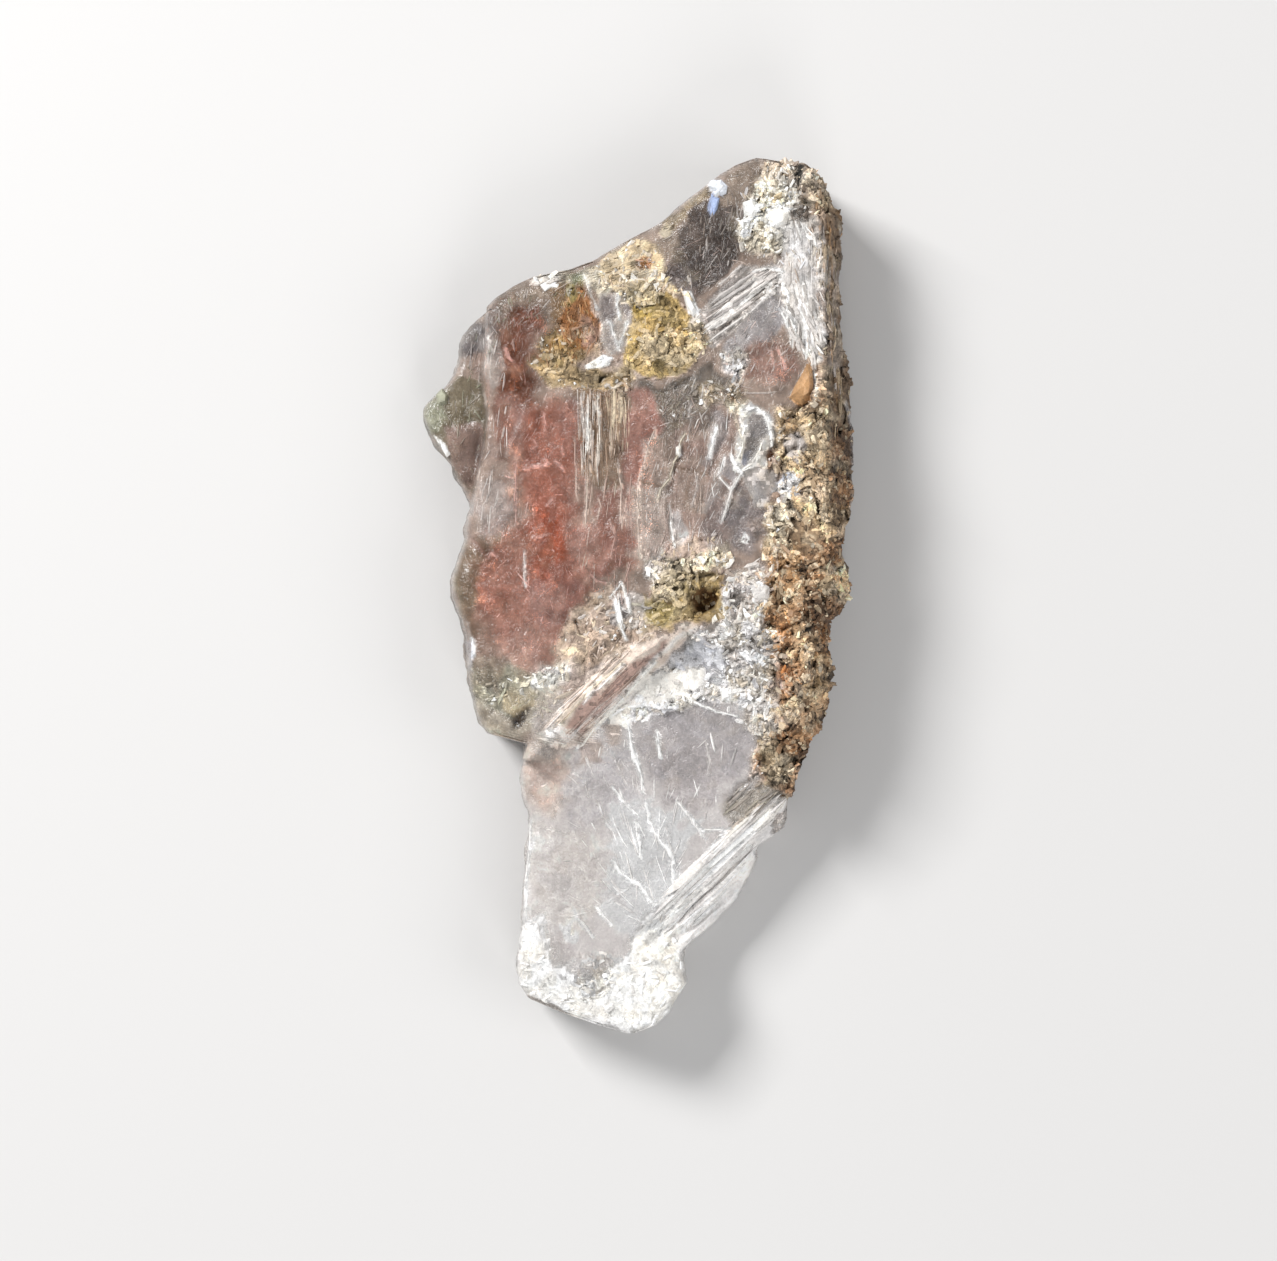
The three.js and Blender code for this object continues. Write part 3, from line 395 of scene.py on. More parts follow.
    patch("ash", 0.8, 0.3, [(12.5, 31.7), (14, 31.7), (13.8, 29.7), (12.8, 29.3), (12.4, 30.5)], crumb=0.5),
    patch("pit_dark", 0.6, 0.25, [(10.6, 27.4), (11.8, 27.7), (12.3, 27), (11.1, 26.7)], lift=-0.2),
    patch("frost_grey", 0.95, 0.25, [(12.2, 29.3), (13.5, 29.6), (14, 28.3), (14.3, 26.8), (13.5, 25.9),
          (12.5, 26.8), (11.9, 27.2)], crust=0.7, crumb=0.6),
    # the ribbed band and the fan beside the ridge
    patch("silver", 0.85, 0.4, [(4, 21.9), (6.4, 24.4), (8.4, 26.1), (11.3, 26.6), (11.7, 24.8),
          (8.1, 21.4), (5.8, 19.5), (4.5, 19.9)], slant=0.7, crust=0.4),
    patch("bright_grey", 0.85, 0.4, [(8.4, 24.8), (11.6, 26.1), (14, 24.8), (14.9, 22.9), (14.7, 19.5),
          (13.8, 18), (12.8, 19.5), (11.6, 21.9), (9.9, 22.9)], crumb=0.5, crust=0.6, upright=0.4),
    patch("clear_grey", 0.9, 0.4, [(8.1, 21.7), (10.3, 23.9), (11.4, 23.4), (11.6, 22.2), (11, 20.9),
          (9.1, 19.9), (7.7, 19), (6.9, 19.9)]),
    patch("white", 0.9, 0.15, [(3.5, 24.2), (4, 24.4), (4.9, 22.9), (4.5, 22.3), (3.9, 22.5)],
          crust=1, lift=0.15),
    patch("mauve_red", 0.5, 1, [(8.6, 19.7), (9.9, 20.4), (11.2, 20.7), (12.4, 19.2), (12.5, 18),
          (11.3, 17), (9.9, 17), (8.6, 17.7)], haze=0.4, crumb=0.3),
    patch("bright_grey", 0.9, 0.9, [(6.9, 19.5), (8.1, 19.6), (8.4, 18), (8.1, 17.1), (7.2, 18.1)],
          crumb=1, crust=1),
    # clay country on the right
    patch("wall_brown", 0.9, 0.3, [(15.2, 32.4), (16.7, 30.5), (16.7, 26.1), (17.2, 19), (17.7, 14.6),
          (16.2, 12.6), (15.2, 14.6), (14.9, 19.5), (14.9, 24.4), (14.5, 29.3)],
          upright=1, crumb=0.4, crust=1),
    patch("sand", 0.9, 0.9, [(11, 15.3), (14.8, 14.6), (15.2, 12.1), (13, 9.4), (11.3, 9.9), (10.7, 12.1)],
          crumb=1, crust=1),
    patch("clay_brown", 0.9, 0.9, [(14.8, 13.8), (17.4, 13.8), (17.7, 6), (16.5, 3.8), (15.2, 6.5),
          (14.5, 10.2)], crumb=1, crust=1),
    patch("frost", 0.8, 0.3, [(10.7, 9.2), (11.8, 9.8), (12.8, 9.4), (12.5, 7.9), (11.3, 7.7), (10.7, 8.4)],
          crumb=0.6, crust=0.8),
    patch("clear_grey", 0.8, 0.3, [(11.7, 12.6), (13, 13.1), (13.3, 11.6), (12.5, 10.4), (11.8, 11.1)]),
    patch("sand", 0.9, 0.9, [(10.3, 7.5), (15.2, 7.5), (15.5, 3.5), (12.8, 2.6), (10.3, 3.1)],
          crumb=1, crust=1),
    patch("olive_grey", 0.7, 0.3, [(11.3, 5.5), (14, 5.7), (14, 4), (12.1, 3.5)], crumb=0.6),
    patch("clay_brown", 0.95, 0.9, [(12.8, 4.5), (16.5, 5), (17.4, 0.8), (16.5, -1.8), (14.5, -1.5),
          (13.2, 0.1)], crumb=1, crust=1),
    patch("tan_brown", 0.9, 0.9, [(10.3, 4), (13, 4.5), (13.4, 0.1), (12.8, -1.4), (10.7, -1.7)],
          crumb=1, crust=1),
    patch("umber", 0.8, 0.3, [(10.7, 0.6), (11.8, 0.8), (11.8, -0.7), (11, -1.2)], crumb=0.5, lift=-0.2),
    patch("sand_brown", 0.95, 0.9, [(10.3, -1.7), (13.3, -0.7), (15.5, -1.7), (16, -5.1), (15.7, -8.8),
          (13.8, -11.9), (12.5, -15.4), (10.1, -15.2), (9.6, -12.9), (11.1, -10.7), (11.1, -7.5),
          (10.5, -4.3)], crumb=1, crust=1),
    patch("sand", 0.8, 0.9, [(12.5, -6.8), (14.3, -7.3), (13.5, -9.7), (12.3, -10.7), (11.6, -9.2)],
          crumb=1),
    patch("rust", 0.9, 0.9, [(10.6, -5.3), (11.7, -5), (12.1, -6.3), (11.2, -7.2), (10.5, -6.8)], crumb=1),
    patch("ash", 0.6, 0.3, [(12.1, -6.8), (13.5, -6.8), (13.3, -8), (12.3, -8)], crumb=0.6),
    patch("olive_grey", 0.8, 0.7, [(9.7, -11.4), (12.8, -11), (12.5, -14.8), (10.3, -15.2)],
          crumb=0.7, crust=1),
    patch("sand_brown", 0.9, 0.6, [(11.2, -8.5), (13.9, -8.2), (14.2, -11.2), (13.1, -12.7), (11.4, -12)],
          crumb=0.9, crust=1),
    # the foot of the upper blade and the ribs below it
    patch("foot_green", 0.85, 0.9, [(-13.3, -5.1), (-11, -4.8), (-8.8, -5.8), (-5.8, -4.3), (-5.3, -5.3),
          (-7.5, -7.5), (-8.3, -10.7), (-9.7, -11.7), (-11.7, -11.2), (-12.9, -10), (-13.3, -7.8)],
          crumb=0.3),
    patch("pit_dark", 0.7, 0.5, [(-10.5, -8.9), (-9.2, -8.8), (-8.5, -9.2), (-9.2, -10), (-10.5, -10.1)]),
    patch("pit_dark", 0.5, 0.4, [(-12.8, -8.8), (-11.7, -9), (-11.7, -10), (-12.6, -9.7)]),
    patch("pit_dark", 0.5, 0.3, [(-12.2, -6.3), (-11.4, -6.6), (-11.7, -7)]),
    patch("bright_grey", 0.7, 0.9, [(-8.3, -5.8), (-6.8, -5.1), (-5.3, -5.6), (-6.8, -7.5), (-8, -7.8)],
          crumb=0.8),
    patch("crumb_tan", 0.9, 0.5, [(-5.4, -2.1), (-3.9, 0.3), (-1.9, 0.9), (-0.4, -0.7), (1.3, -2),
          (1.2, -3.1), (0.1, -5), (-1.9, -4.7), (-3.9, -5.4), (-5.3, -5.2), (-6.2, -4.1)],
          crumb=0.45, crust=0.9),
    patch("brown_grey", 0.35, 0.4, [(-3.4, -2.9), (-1.9, -2.6), (-1.4, -3.9), (-2.9, -4.1)], crumb=0.5),
    patch("white", 0.9, 0.12, [(-1.9, 0.4), (-0.9, -0.1), (-0.6, -1.2), (-1, -1.7), (-1.7, -0.9)],
          crust=1, lift=0.2),
    patch("ochre", 0.9, 0.4, [(0.2, -0.7), (2, 1.5), (3.7, 1.8), (6.4, 1.7), (7, 0.1), (6.8, -1.7),
          (4.2, -2.3), (2, -2.8), (0.9, -2)], crumb=0.5, crust=1),
    patch("ochre_yellow", 0.5, 0.4, [(2.3, 1.3), (4, 1.5), (3.7, 0.1), (2.5, -0.2)], crumb=0.4),
    patch("rib_cream", 0.9, 0.25, [(-8.2, -11.2), (-6.2, -8.7), (-3, -5.2), (-0.5, -3.2), (1.8, -3.1),
          (3.7, -2.4), (4.8, -2.1), (3, -3.7), (1.4, -5.6), (-0.5, -7.6), (-2.7, -10), (-4, -11.6),
          (-5.8, -12)], slant=0.4, crust=0.8),
    patch("trough_pink", 0.9, 0.25, [(-6.1, -10.7), (-4.2, -8.3), (-1.2, -5.4), (0.4, -4.8), (1.7, -3.6),
          (2.4, -3.4), (1.4, -4.7), (0.2, -6), (-1.4, -7.8), (-3, -9.3), (-4.6, -11.1)],
          slant=0.1, lift=-0.2, crust=0.6),
    patch("warm_white", 0.9, 0.2, [(-2.5, -9.3), (-0.6, -8.5), (0, -7.2), (-0.6, -9.2), (-0.9, -10.4),
          (-2.4, -10.4)], crust=1, lift=0.12),
    patch("rib_cream", 0.6, 0.5, [(-7.2, -10.7), (-6.1, -10), (-4.6, -10.6), (-4.6, -11.8), (-6.1, -12),
          (-7, -11.6)], crust=0.6, crumb=0.35),
    patch("crumb_tan", 0.5, 0.4, [(-2.7, -10.5), (-1.7, -10.4), (-1.4, -11.4), (-2.6, -11.7)], crust=0.6),
    patch("bright_grey", 0.9, 0.9, [(3.7, -3.1), (6.9, -1.7), (10.2, -1.5), (10.7, -4.3), (11, -6.8),
          (11.4, -10.3), (9.6, -10.8), (9.1, -8.5), (6.7, -8.3), (3, -8.6), (0.6, -9), (-0.4, -8),
          (2, -5.1)], crumb=0.8, crust=0.8),
    patch("frost_grey", 0.8, 0.4, [(4.5, -5.1), (5.9, -4.3), (6.9, -5.3), (6.4, -6.6), (5, -6.6)],
          crumb=0.3),
    patch("white", 0.9, 0.2, [(6.4, -7.2), (7.4, -7), (7.7, -8), (6.7, -8.4)],
          crumb=0.5, crust=1, lift=0.15),
    patch("white", 0.8, 0.2, [(9.1, -4.6), (10.1, -4.1), (10.4, -5.1), (9.4, -5.4)], crumb=0.6, crust=1),
    patch("bright_grey", 0.9, 0.9, [(9.4, -8.8), (10.9, -8.5), (11.1, -10.6), (10.1, -10.8)],
          crumb=0.8, crust=1),
    patch("ash", 0.7, 0.3, [(8.6, -6.2), (9.4, -5.7), (9.7, -6.2), (9.2, -6.7)], lift=-0.15),
    patch("ash", 0.6, 0.2, [(8.3, -3.1), (8.9, -2.9), (9, -3.4), (8.5, -3.6)], lift=-0.15),
    patch("bright_grey", 0.9, 0.9, [(-0.2, -7.8), (1.3, -7.7), (3.2, -8.1), (5.4, -7.4), (5.8, -8.5),
          (3, -8.8), (0.6, -9.4), (-0.6, -9.9), (-1, -8.8)], crumb=0.8, crust=0.9, lift=0.1),
    # the lower blade
    patch("clear_grey", 0.9, 0.6, [(1, -9.5), (3, -8.8), (5.4, -8.5), (7.9, -9.2), (9.4, -11), (9.1, -12.7),
          (7.7, -14.6), (6.4, -16.3), (4.5, -17.8), (2.5, -17.1), (1, -14.6), (0.1, -12.2), (-0.2, -10.7)]),
    patch("smoke", 0.6, 0.6, [(1.8, -12.7), (4.2, -11.7), (5.4, -13.7), (4, -15.6), (2, -14.6)]),
    patch("pale_smoke", 0.9, 0.7, [(-5.7, -12.7), (-3.4, -11.7), (-0.9, -11.7), (-0.2, -13.7), (0.3, -16.1),
          (-0.9, -17.8), (-3.4, -18.5), (-5.3, -18.1), (-6.1, -16.1)]),
    patch("pale_pink", 0.8, 1.8, [(-9.5, -12.9), (-8.6, -11.8), (-6.3, -11.9), (-5.6, -13.7), (-5.7, -15.6),
          (-6.8, -17.1), (-8.3, -17.1), (-9.2, -15.4)], haze=0.35),
    patch("pale_milk", 0.85, 1, [(-8.5, -17.8), (-5.3, -18.1), (-2.9, -19.5), (-0.9, -21.5), (-0.4, -23.4),
          (-1.4, -25.2), (-4.3, -26.4), (-7.3, -26.1), (-9, -25.2), (-9, -21.5)]),
    patch("milk_white", 0.8, 0.8, [(-1.9, -18.1), (2.5, -18.1), (5.4, -18.1), (3.7, -20.5), (2, -22.7),
          (0.6, -21.5), (-1.4, -20.3)]),
    patch("milk_white", 0.8, 1.4, [(-1.9, -16.6), (1, -16.1), (3, -18.1), (2.5, -20.5), (3, -23.4),
          (2, -25.9), (-0.4, -27.4), (-2.4, -25.9), (-2.9, -22.5), (-1.9, -20)]),
    patch("pink_grey", 0.7, 1, [(-11.7, -3.4), (-8.5, -1.9), (-6.3, -3.4), (-7.5, -5.8), (-9.2, -6.3),
          (-11.4, -5.1)]),
    patch("white_crust", 0.92, 1.5, [(-9.9, -29.8), (-9.4, -25.9), (-8, -25.4), (-7.5, -27.6),
          (-6.3, -29.6), (-3.4, -30.5), (-1.4, -28.6), (0.1, -26.4), (1.5, -24.7), (2.8, -25.9),
          (3.9, -27.2), (3.5, -28.8), (4.3, -31), (3.2, -33), (1.8, -34.5), (-0.4, -35.2), (-3.4, -34.2),
          (-5.3, -33.6), (-9.5, -32)], crumb=0.36, crust=1),
    patch("smoke", 0.45, 0.9, [(-7.5, -27.1), (-6.3, -26.5), (-5.1, -27.1), (-4.8, -28.6), (-5.8, -29.8),
          (-7, -29.3)]),
    patch("ash_light", 0.5, 0.9, [(-4.6, -28.6), (-2.4, -28.3), (-1.9, -31.3), (-2.1, -31.9), (-4.3, -31.9),
          (-5.1, -31)], crumb=0.8),
    patch("warm_white", 0.8, 0.8, [(-0.4, -27.4), (3, -27.1), (3.5, -29.3), (4, -31), (2.8, -32.5),
          (0.6, -32.5), (-0.4, -30.1)], crumb=0.3, crust=1),
    patch("white", 0.8, 0.4, [(-6.3, -26.1), (-4.8, -25.9), (-4.6, -27.1), (-5.8, -27.4)], crumb=0.5),
    patch("rib_white", 0.95, 0.5, [(1, -25.2), (3, -23), (6.9, -19), (11.1, -15.7), (11.9, -16.3),
          (12.3, -17.8), (10.3, -19.7), (9.6, -20.6), (9.5, -22.1), (7.9, -24.2), (6.9, -25.9),
          (5.4, -27.1), (3.7, -27.9), (2.5, -26.4)], slant=0.12, crust=0.9),
    patch("olive_grey", 0.6, 0.7, [(6.9, -16.8), (8.6, -15.2), (11.3, -15), (11.8, -15.7), (9.6, -17.3),
          (8.1, -18.8), (7.3, -18.5)], slant=0.7, crumb=0.4),
    patch("brown_grey", 0.7, 0.3, [(10.7, -17.3), (11.8, -16.6), (12.2, -17.8), (11.6, -18.7),
          (10.6, -18.8)], crumb=0.6),
    patch("ash", 0.8, 0.15, [(-9.4, -31.8), (-5.3, -33.2), (-5.7, -33.9), (-8.5, -32.7)]),
    # smaller things
    patch("brown_grey", 0.7, 0.4, [(-11.8, 23.8), (-9.4, 25), (-8.2, 24.6), (-8.2, 23.4), (-11, 22.4)],
          crumb=0.35),
    patch("slate", 0.7, 0.3, [(-14.3, 20.2), (-13.4, 21.8), (-12.2, 22), (-11.8, 20.6), (-12.8, 19.6),
          (-14.1, 19.3)]),
    patch("silver", 0.6, 0.3, [(-12.6, 21.4), (-11.8, 21.7), (-11, 19.8), (-10.9, 16.8), (-11.7, 16.4),
          (-12.6, 17.7)]),
    patch("pale_smoke", 0.6, 0.6, [(-12.8, 9.2), (-10.4, 9.2), (-10.1, 7), (-10.4, 4.9), (-12.3, 4.8),
          (-13.1, 6.2)]),
    patch("olive_grey", 0.6, 0.4, [(-14.7, 3), (-13, 3.6), (-12.3, 2.8), (-12.6, -0.2), (-13.6, -0.7),
          (-14.6, 0.6)]),
    patch("frost_grey", 0.9, 0.15, [(-13.5, -3.2), (-12.9, -3.1), (-12.8, -4.6), (-13.1, -6), (-13.4, -6)],
          crust=0.5, lift=0.08),
    patch("copper_hot", 0.6, 0.9, [(-8.2, 6.8), (-6.2, 6.5), (-5.8, 4.2), (-6.1, 1), (-7.4, 0.6),
          (-8.2, 3)], haze=1),
    patch("rose", 0.6, 0.7, [(-7.2, 2.8), (-5.4, 3), (-5.3, -0.2), (-6.6, -1.2), (-7.4, -0.2)], haze=0.6),
    patch("pink_grey", 0.6, 0.6, [(-10.9, -3.4), (-8.6, -3.2), (-7.7, -4.6), (-8.2, -5.6), (-10.2, -5.5)],
          haze=0.5),
    patch("pale_green", 0.55, 0.7, [(-13.1, -6), (-9.4, -5.6), (-6.2, -6.3), (-7.2, -8.2), (-9.4, -9.2),
          (-12.2, -8.7), (-13.1, -7.4)], crumb=0.55, crust=0.6),
    patch("pit_dark", 0.75, 0.35, [(-10.3, -9), (-9.6, -8.7), (-8.8, -9.3), (-9.1, -10.2), (-10.1, -10)],
          crumb=0.5, lift=-0.1),
    patch("pink_glint", 0.35, 0.5, [(-2.7, 4.6), (-2, 4.8), (-1.9, 3), (-2.4, 1.6), (-2.8, 2)], haze=0.3),
    patch("mauve", 0.9, 0.12, [(-1.7, 0), (-1, 0.2), (-0.7, -1.2), (-1.1, -1.6), (-1.6, -1)], lift=-0.12),
    patch("light_cream", 0.9, 0.12, [(-6, -4.2), (-5.1, -4), (-4.6, -4.5), (-5.4, -4.8)],
          crust=1, lift=0.15),
    patch("pit_dark", 0.9, 0.1, [(-5.1, -2), (-4.8, -2), (-4.7, -2.4), (-5, -2.5)], lift=-0.25),
    patch("white", 0.45, 0.2, [(9.1, 0.9), (9.9, 1.2), (10.5, 0.6), (10.2, -0.2), (9.3, -0.4)],
          crumb=0.7, crust=1, lift=0.15),
    patch("ash", 0.8, 0.15, [(7.2, -0), (8.3, 0.1), (8.8, -0.5), (8.5, -1.2), (7.4, -1)],
          crumb=0.5, lift=-0.15),
    patch("ash", 0.8, 0.15, [(8.6, -2.9), (9.5, -2.6), (9.8, -3.7), (9, -4.4), (8.5, -3.7)],
          crumb=0.4, lift=-0.15),
    patch("frost_grey", 0.85, 0.15, [(5.1, -4.6), (6.1, -4.4), (6.4, -5.3), (5.8, -6.1), (5, -5.6)],
          lift=0.05),
    patch("pit_dark", 0.7, 0.12, [(3.5, -5.6), (4.1, -5.6), (4.2, -6), (3.6, -6.1)], lift=-0.2),
    patch("warm_white", 0.95, 0.3, [(-0.5, -7.7), (0.3, -6.3), (1.9, -5.9), (4.2, -5.6), (5.4, -6),
          (5.4, -7.1), (4.2, -7.4), (2.6, -8), (1, -8.4), (-0.2, -8.7)], crust=0.9, lift=0.12),
    patch("white", 0.9, 0.15, [(6.5, -7.2), (7.4, -7.1), (7.4, -8.1), (6.6, -8.3)],
          crust=1, crumb=0.3, lift=0.15),
    patch("ash", 0.6, 0.6, [(1.4, 16.8), (5, 17), (5.4, 15.4), (5.9, 13.4), (5, 12.6), (3.7, 13.8),
          (2.4, 12.6), (1.4, 13.4)], crumb=0.3),
    patch("pale_pink", 0.7, 0.7, [(-0.6, 9.1), (2.1, 8.6), (2.6, 6.8), (2.4, 3), (-0.5, 3), (-0.8, 6.2)],
          crust=0.3, upright=0.4),
    patch("slate", 0.45, 0.6, [(5.1, 8.2), (7.8, 8.8), (8.6, 6.2), (7.8, 3.4), (6.2, 3), (5.4, 5.4)]),
    patch("pale_milk", 0.75, 0.4, [(8.6, 10.4), (10.4, 10.7), (10.8, 9.4), (10.4, 7.6), (9.1, 7.4),
          (8.3, 8.8)], crust=0.5),
    patch("cream_grey", 0.6, 0.5, [(10.4, 7.6), (12, 7.8), (12, 3.6), (10.4, 3.8)], crumb=0.7, crust=1),
    patch("tan_dark", 0.8, 0.4, [(12.2, 6), (13.9, 6.2), (14.4, 5.1), (14.1, 3.6), (12.5, 3.6), (12, 4.8)],
          crumb=0.35, crust=1),
    patch("umber", 0.5, 0.6, [(12.8, 2.8), (15.4, 3.3), (15.8, -0.2), (14.6, -1.5), (13, -1)],
          crumb=1, crust=1),
    patch("wall_brown", 0.5, 0.6, [(10.6, -7.4), (13, -7.1), (13.4, -9.8), (12.6, -11.2), (10.9, -10.4)],
          crumb=0.8, crust=1),
    patch("sand", 0.4, 0.6, [(13.1, -5), (14.9, -4.6), (15, -9.8), (13.9, -11.1), (13.1, -9.8)],
          crumb=0.9, crust=1),
    patch("sand", 0.5, 0.6, [(11.8, -2), (13.9, -1.6), (14.2, -4.6), (13, -5.4), (12.2, -4)],
          crumb=0.9, crust=1),
    patch("sand", 0.5, 0.6, [(12.8, 11.4), (14.7, 11.8), (15, 7.8), (13.4, 6.8), (12.8, 8.6)],
          crumb=0.9, crust=1),
    patch("bright_grey", 0.8, 0.5, [(11.4, 29.2), (14.1, 30.6), (14.7, 26.2), (14.6, 20.2), (13.9, 18),
          (12.2, 21.4), (11.5, 25.4)], crumb=0.25, crust=0.9, upright=0.8),
    patch("silver", 0.3, 0.5, [(14.2, 27.8), (15.7, 27.8), (16.2, 21.4), (16.6, 18), (15.2, 18),
          (14.4, 21.4)], crumb=0.3, crust=1, upright=1),
    patch("frost_grey", 0.9, 0.3, [(2.4, -4.4), (5, -3.4), (6.7, -4.2), (6.4, -5.6), (4.2, -5.6),
          (2.2, -5.6)], crust=0.7, crumb=0.3),
    patch("dusty_pink", 0.5, 0.5, [(-6.6, 0.9), (-4.5, 0.9), (-4.6, -0.7), (-6.4, -0.7)], haze=0.4),
    patch("mauve", 0.36, 0.7, [(-13.9, 4), (-12.6, 5.2), (-10.9, 4.2), (-11.8, 1.8), (-12.3, -0.2),
          (-12, -3.4), (-10.7, -5.4), (-11, -7.4), (-12.8, -6.9), (-13.6, -3.4), (-14.2, -0.2),
          (-14.4, 2.2)], haze=0.3),
    patch("stone_grey", 0.5, 0.6, [(-12.8, 10.5), (-10.6, 10.8), (-9.8, 7.8), (-10.1, 5), (-11.7, 4),
          (-13.1, 5.2), (-13.3, 7.8)]),
    patch("pink_grey", 0.45, 0.7, [(-7.8, 1.2), (-6.2, 1.2), (-5.6, -1), (-6.4, -2.8), (-8, -2.4),
          (-8.6, -0.2)]),
    patch("cream_tan", 0.4, 0.4, [(-10.6, -7.4), (-6.2, -7.2), (-6.6, -8.7), (-9.1, -9.2), (-11, -8.7)]),
    patch("light_cream", 0.6, 0.4, [(-1.3, 25.1), (0.2, 25.6), (1.8, 25.2), (1.3, 23.3), (-0.5, 22.8),
          (-1.4, 23.8)], crust=0.6, crumb=0.9),
    patch("ochre", 0.6, 0.4, [(2.7, 21.4), (5, 21.7), (5.6, 20.1), (4.2, 18.8), (2.9, 19.6)], crumb=1),
    patch("tan_dark", 0.5, 0.3, [(-2.2, 17.2), (-0.3, 17.6), (-0.2, 16.3), (-1.8, 15.8)], crumb=1),
    patch("light_cream", 0.5, 0.4, [(1, 0.6), (2.1, 2.5), (4.2, 3.5), (4.8, 1.9), (3, 0.1), (1.3, -0.2)],
          crust=0.5, crumb=1),
    patch("sand", 0.5, 0.5, [(14.6, 7.8), (16.8, 8), (17.1, 5.1), (15.2, 4.4)], crumb=1, crust=0.8),
    patch("sand", 0.5, 0.5, [(13.4, -5.3), (15.7, -4.2), (16, -7.4), (13.9, -7.9)], crumb=1, crust=0.8),
    patch("ash", 0.4, 0.4, [(8.3, -8.5), (12.8, -8.2), (13, -10.1), (8.8, -10.8)], crumb=0.8, crust=0.6),
    patch("ash", 0.45, 0.3, [(8.3, -17.6), (10.1, -16), (11.4, -16.4), (10.4, -18), (8.8, -18.6)]),
    patch("mauve", 0.5, 0.5, [(-11.5, 15.2), (-9.9, 15), (-9.9, 11.3), (-11.2, 11)], haze=0.3),
    patch("pit_dark", 0.35, 0.4, [(-12.6, 21.7), (-11.7, 23.5), (-10.1, 24.3), (-10.2, 22.5),
          (-11.5, 20.8)]),
    patch("slate", 0.4, 0.3, [(5.4, 23.8), (7.7, 25.6), (8.3, 24.4), (6.2, 22.7)]),
    patch("cream_grey", 0.6, 0.3, [(-6.9, 26), (-5.4, 26.4), (-5, 24.9), (-6.4, 24.5)], crust=0.5),
    patch("bright_grey", 0.5, 0.6, [(-8.2, -6.6), (-6.6, -6.3), (-6.1, -9.4), (-7.2, -13.4), (-8.5, -11.4)],
          crumb=0.3, crust=0.4),
    patch("ash", 0.5, 0.4, [(7.7, 0.9), (10.1, 0.9), (10.1, -0.7), (7.7, -0.7)], crumb=0.6, crust=0.8),
    patch("olive_ochre", 0.5, 0.5, [(0.2, -0.2), (3, 0.1), (3.7, -2), (1.8, -2.8), (0.2, -2.4)],
          crumb=0.5, crust=1),
    patch("silver", 0.7, 0.4, [(-2.1, 0.4), (0.2, -0.2), (0.5, -2), (-0.8, -2.6), (-2.1, -1.8)],
          crumb=0.4, crust=0.8),
    patch("stone_grey", 0.6, 0.5, [(-5.1, -11.7), (-3, -11.4), (-2.9, -13.5), (-5, -13.6)]),
    patch("rib_white", 0.8, 0.2, [(-2.1, -8.8), (-1.1, -7.7), (0.2, -7.4), (0.6, -8.2), (-0.5, -9.2),
          (-1.4, -9.8)], crust=1, crumb=0.4, lift=0.1),
]

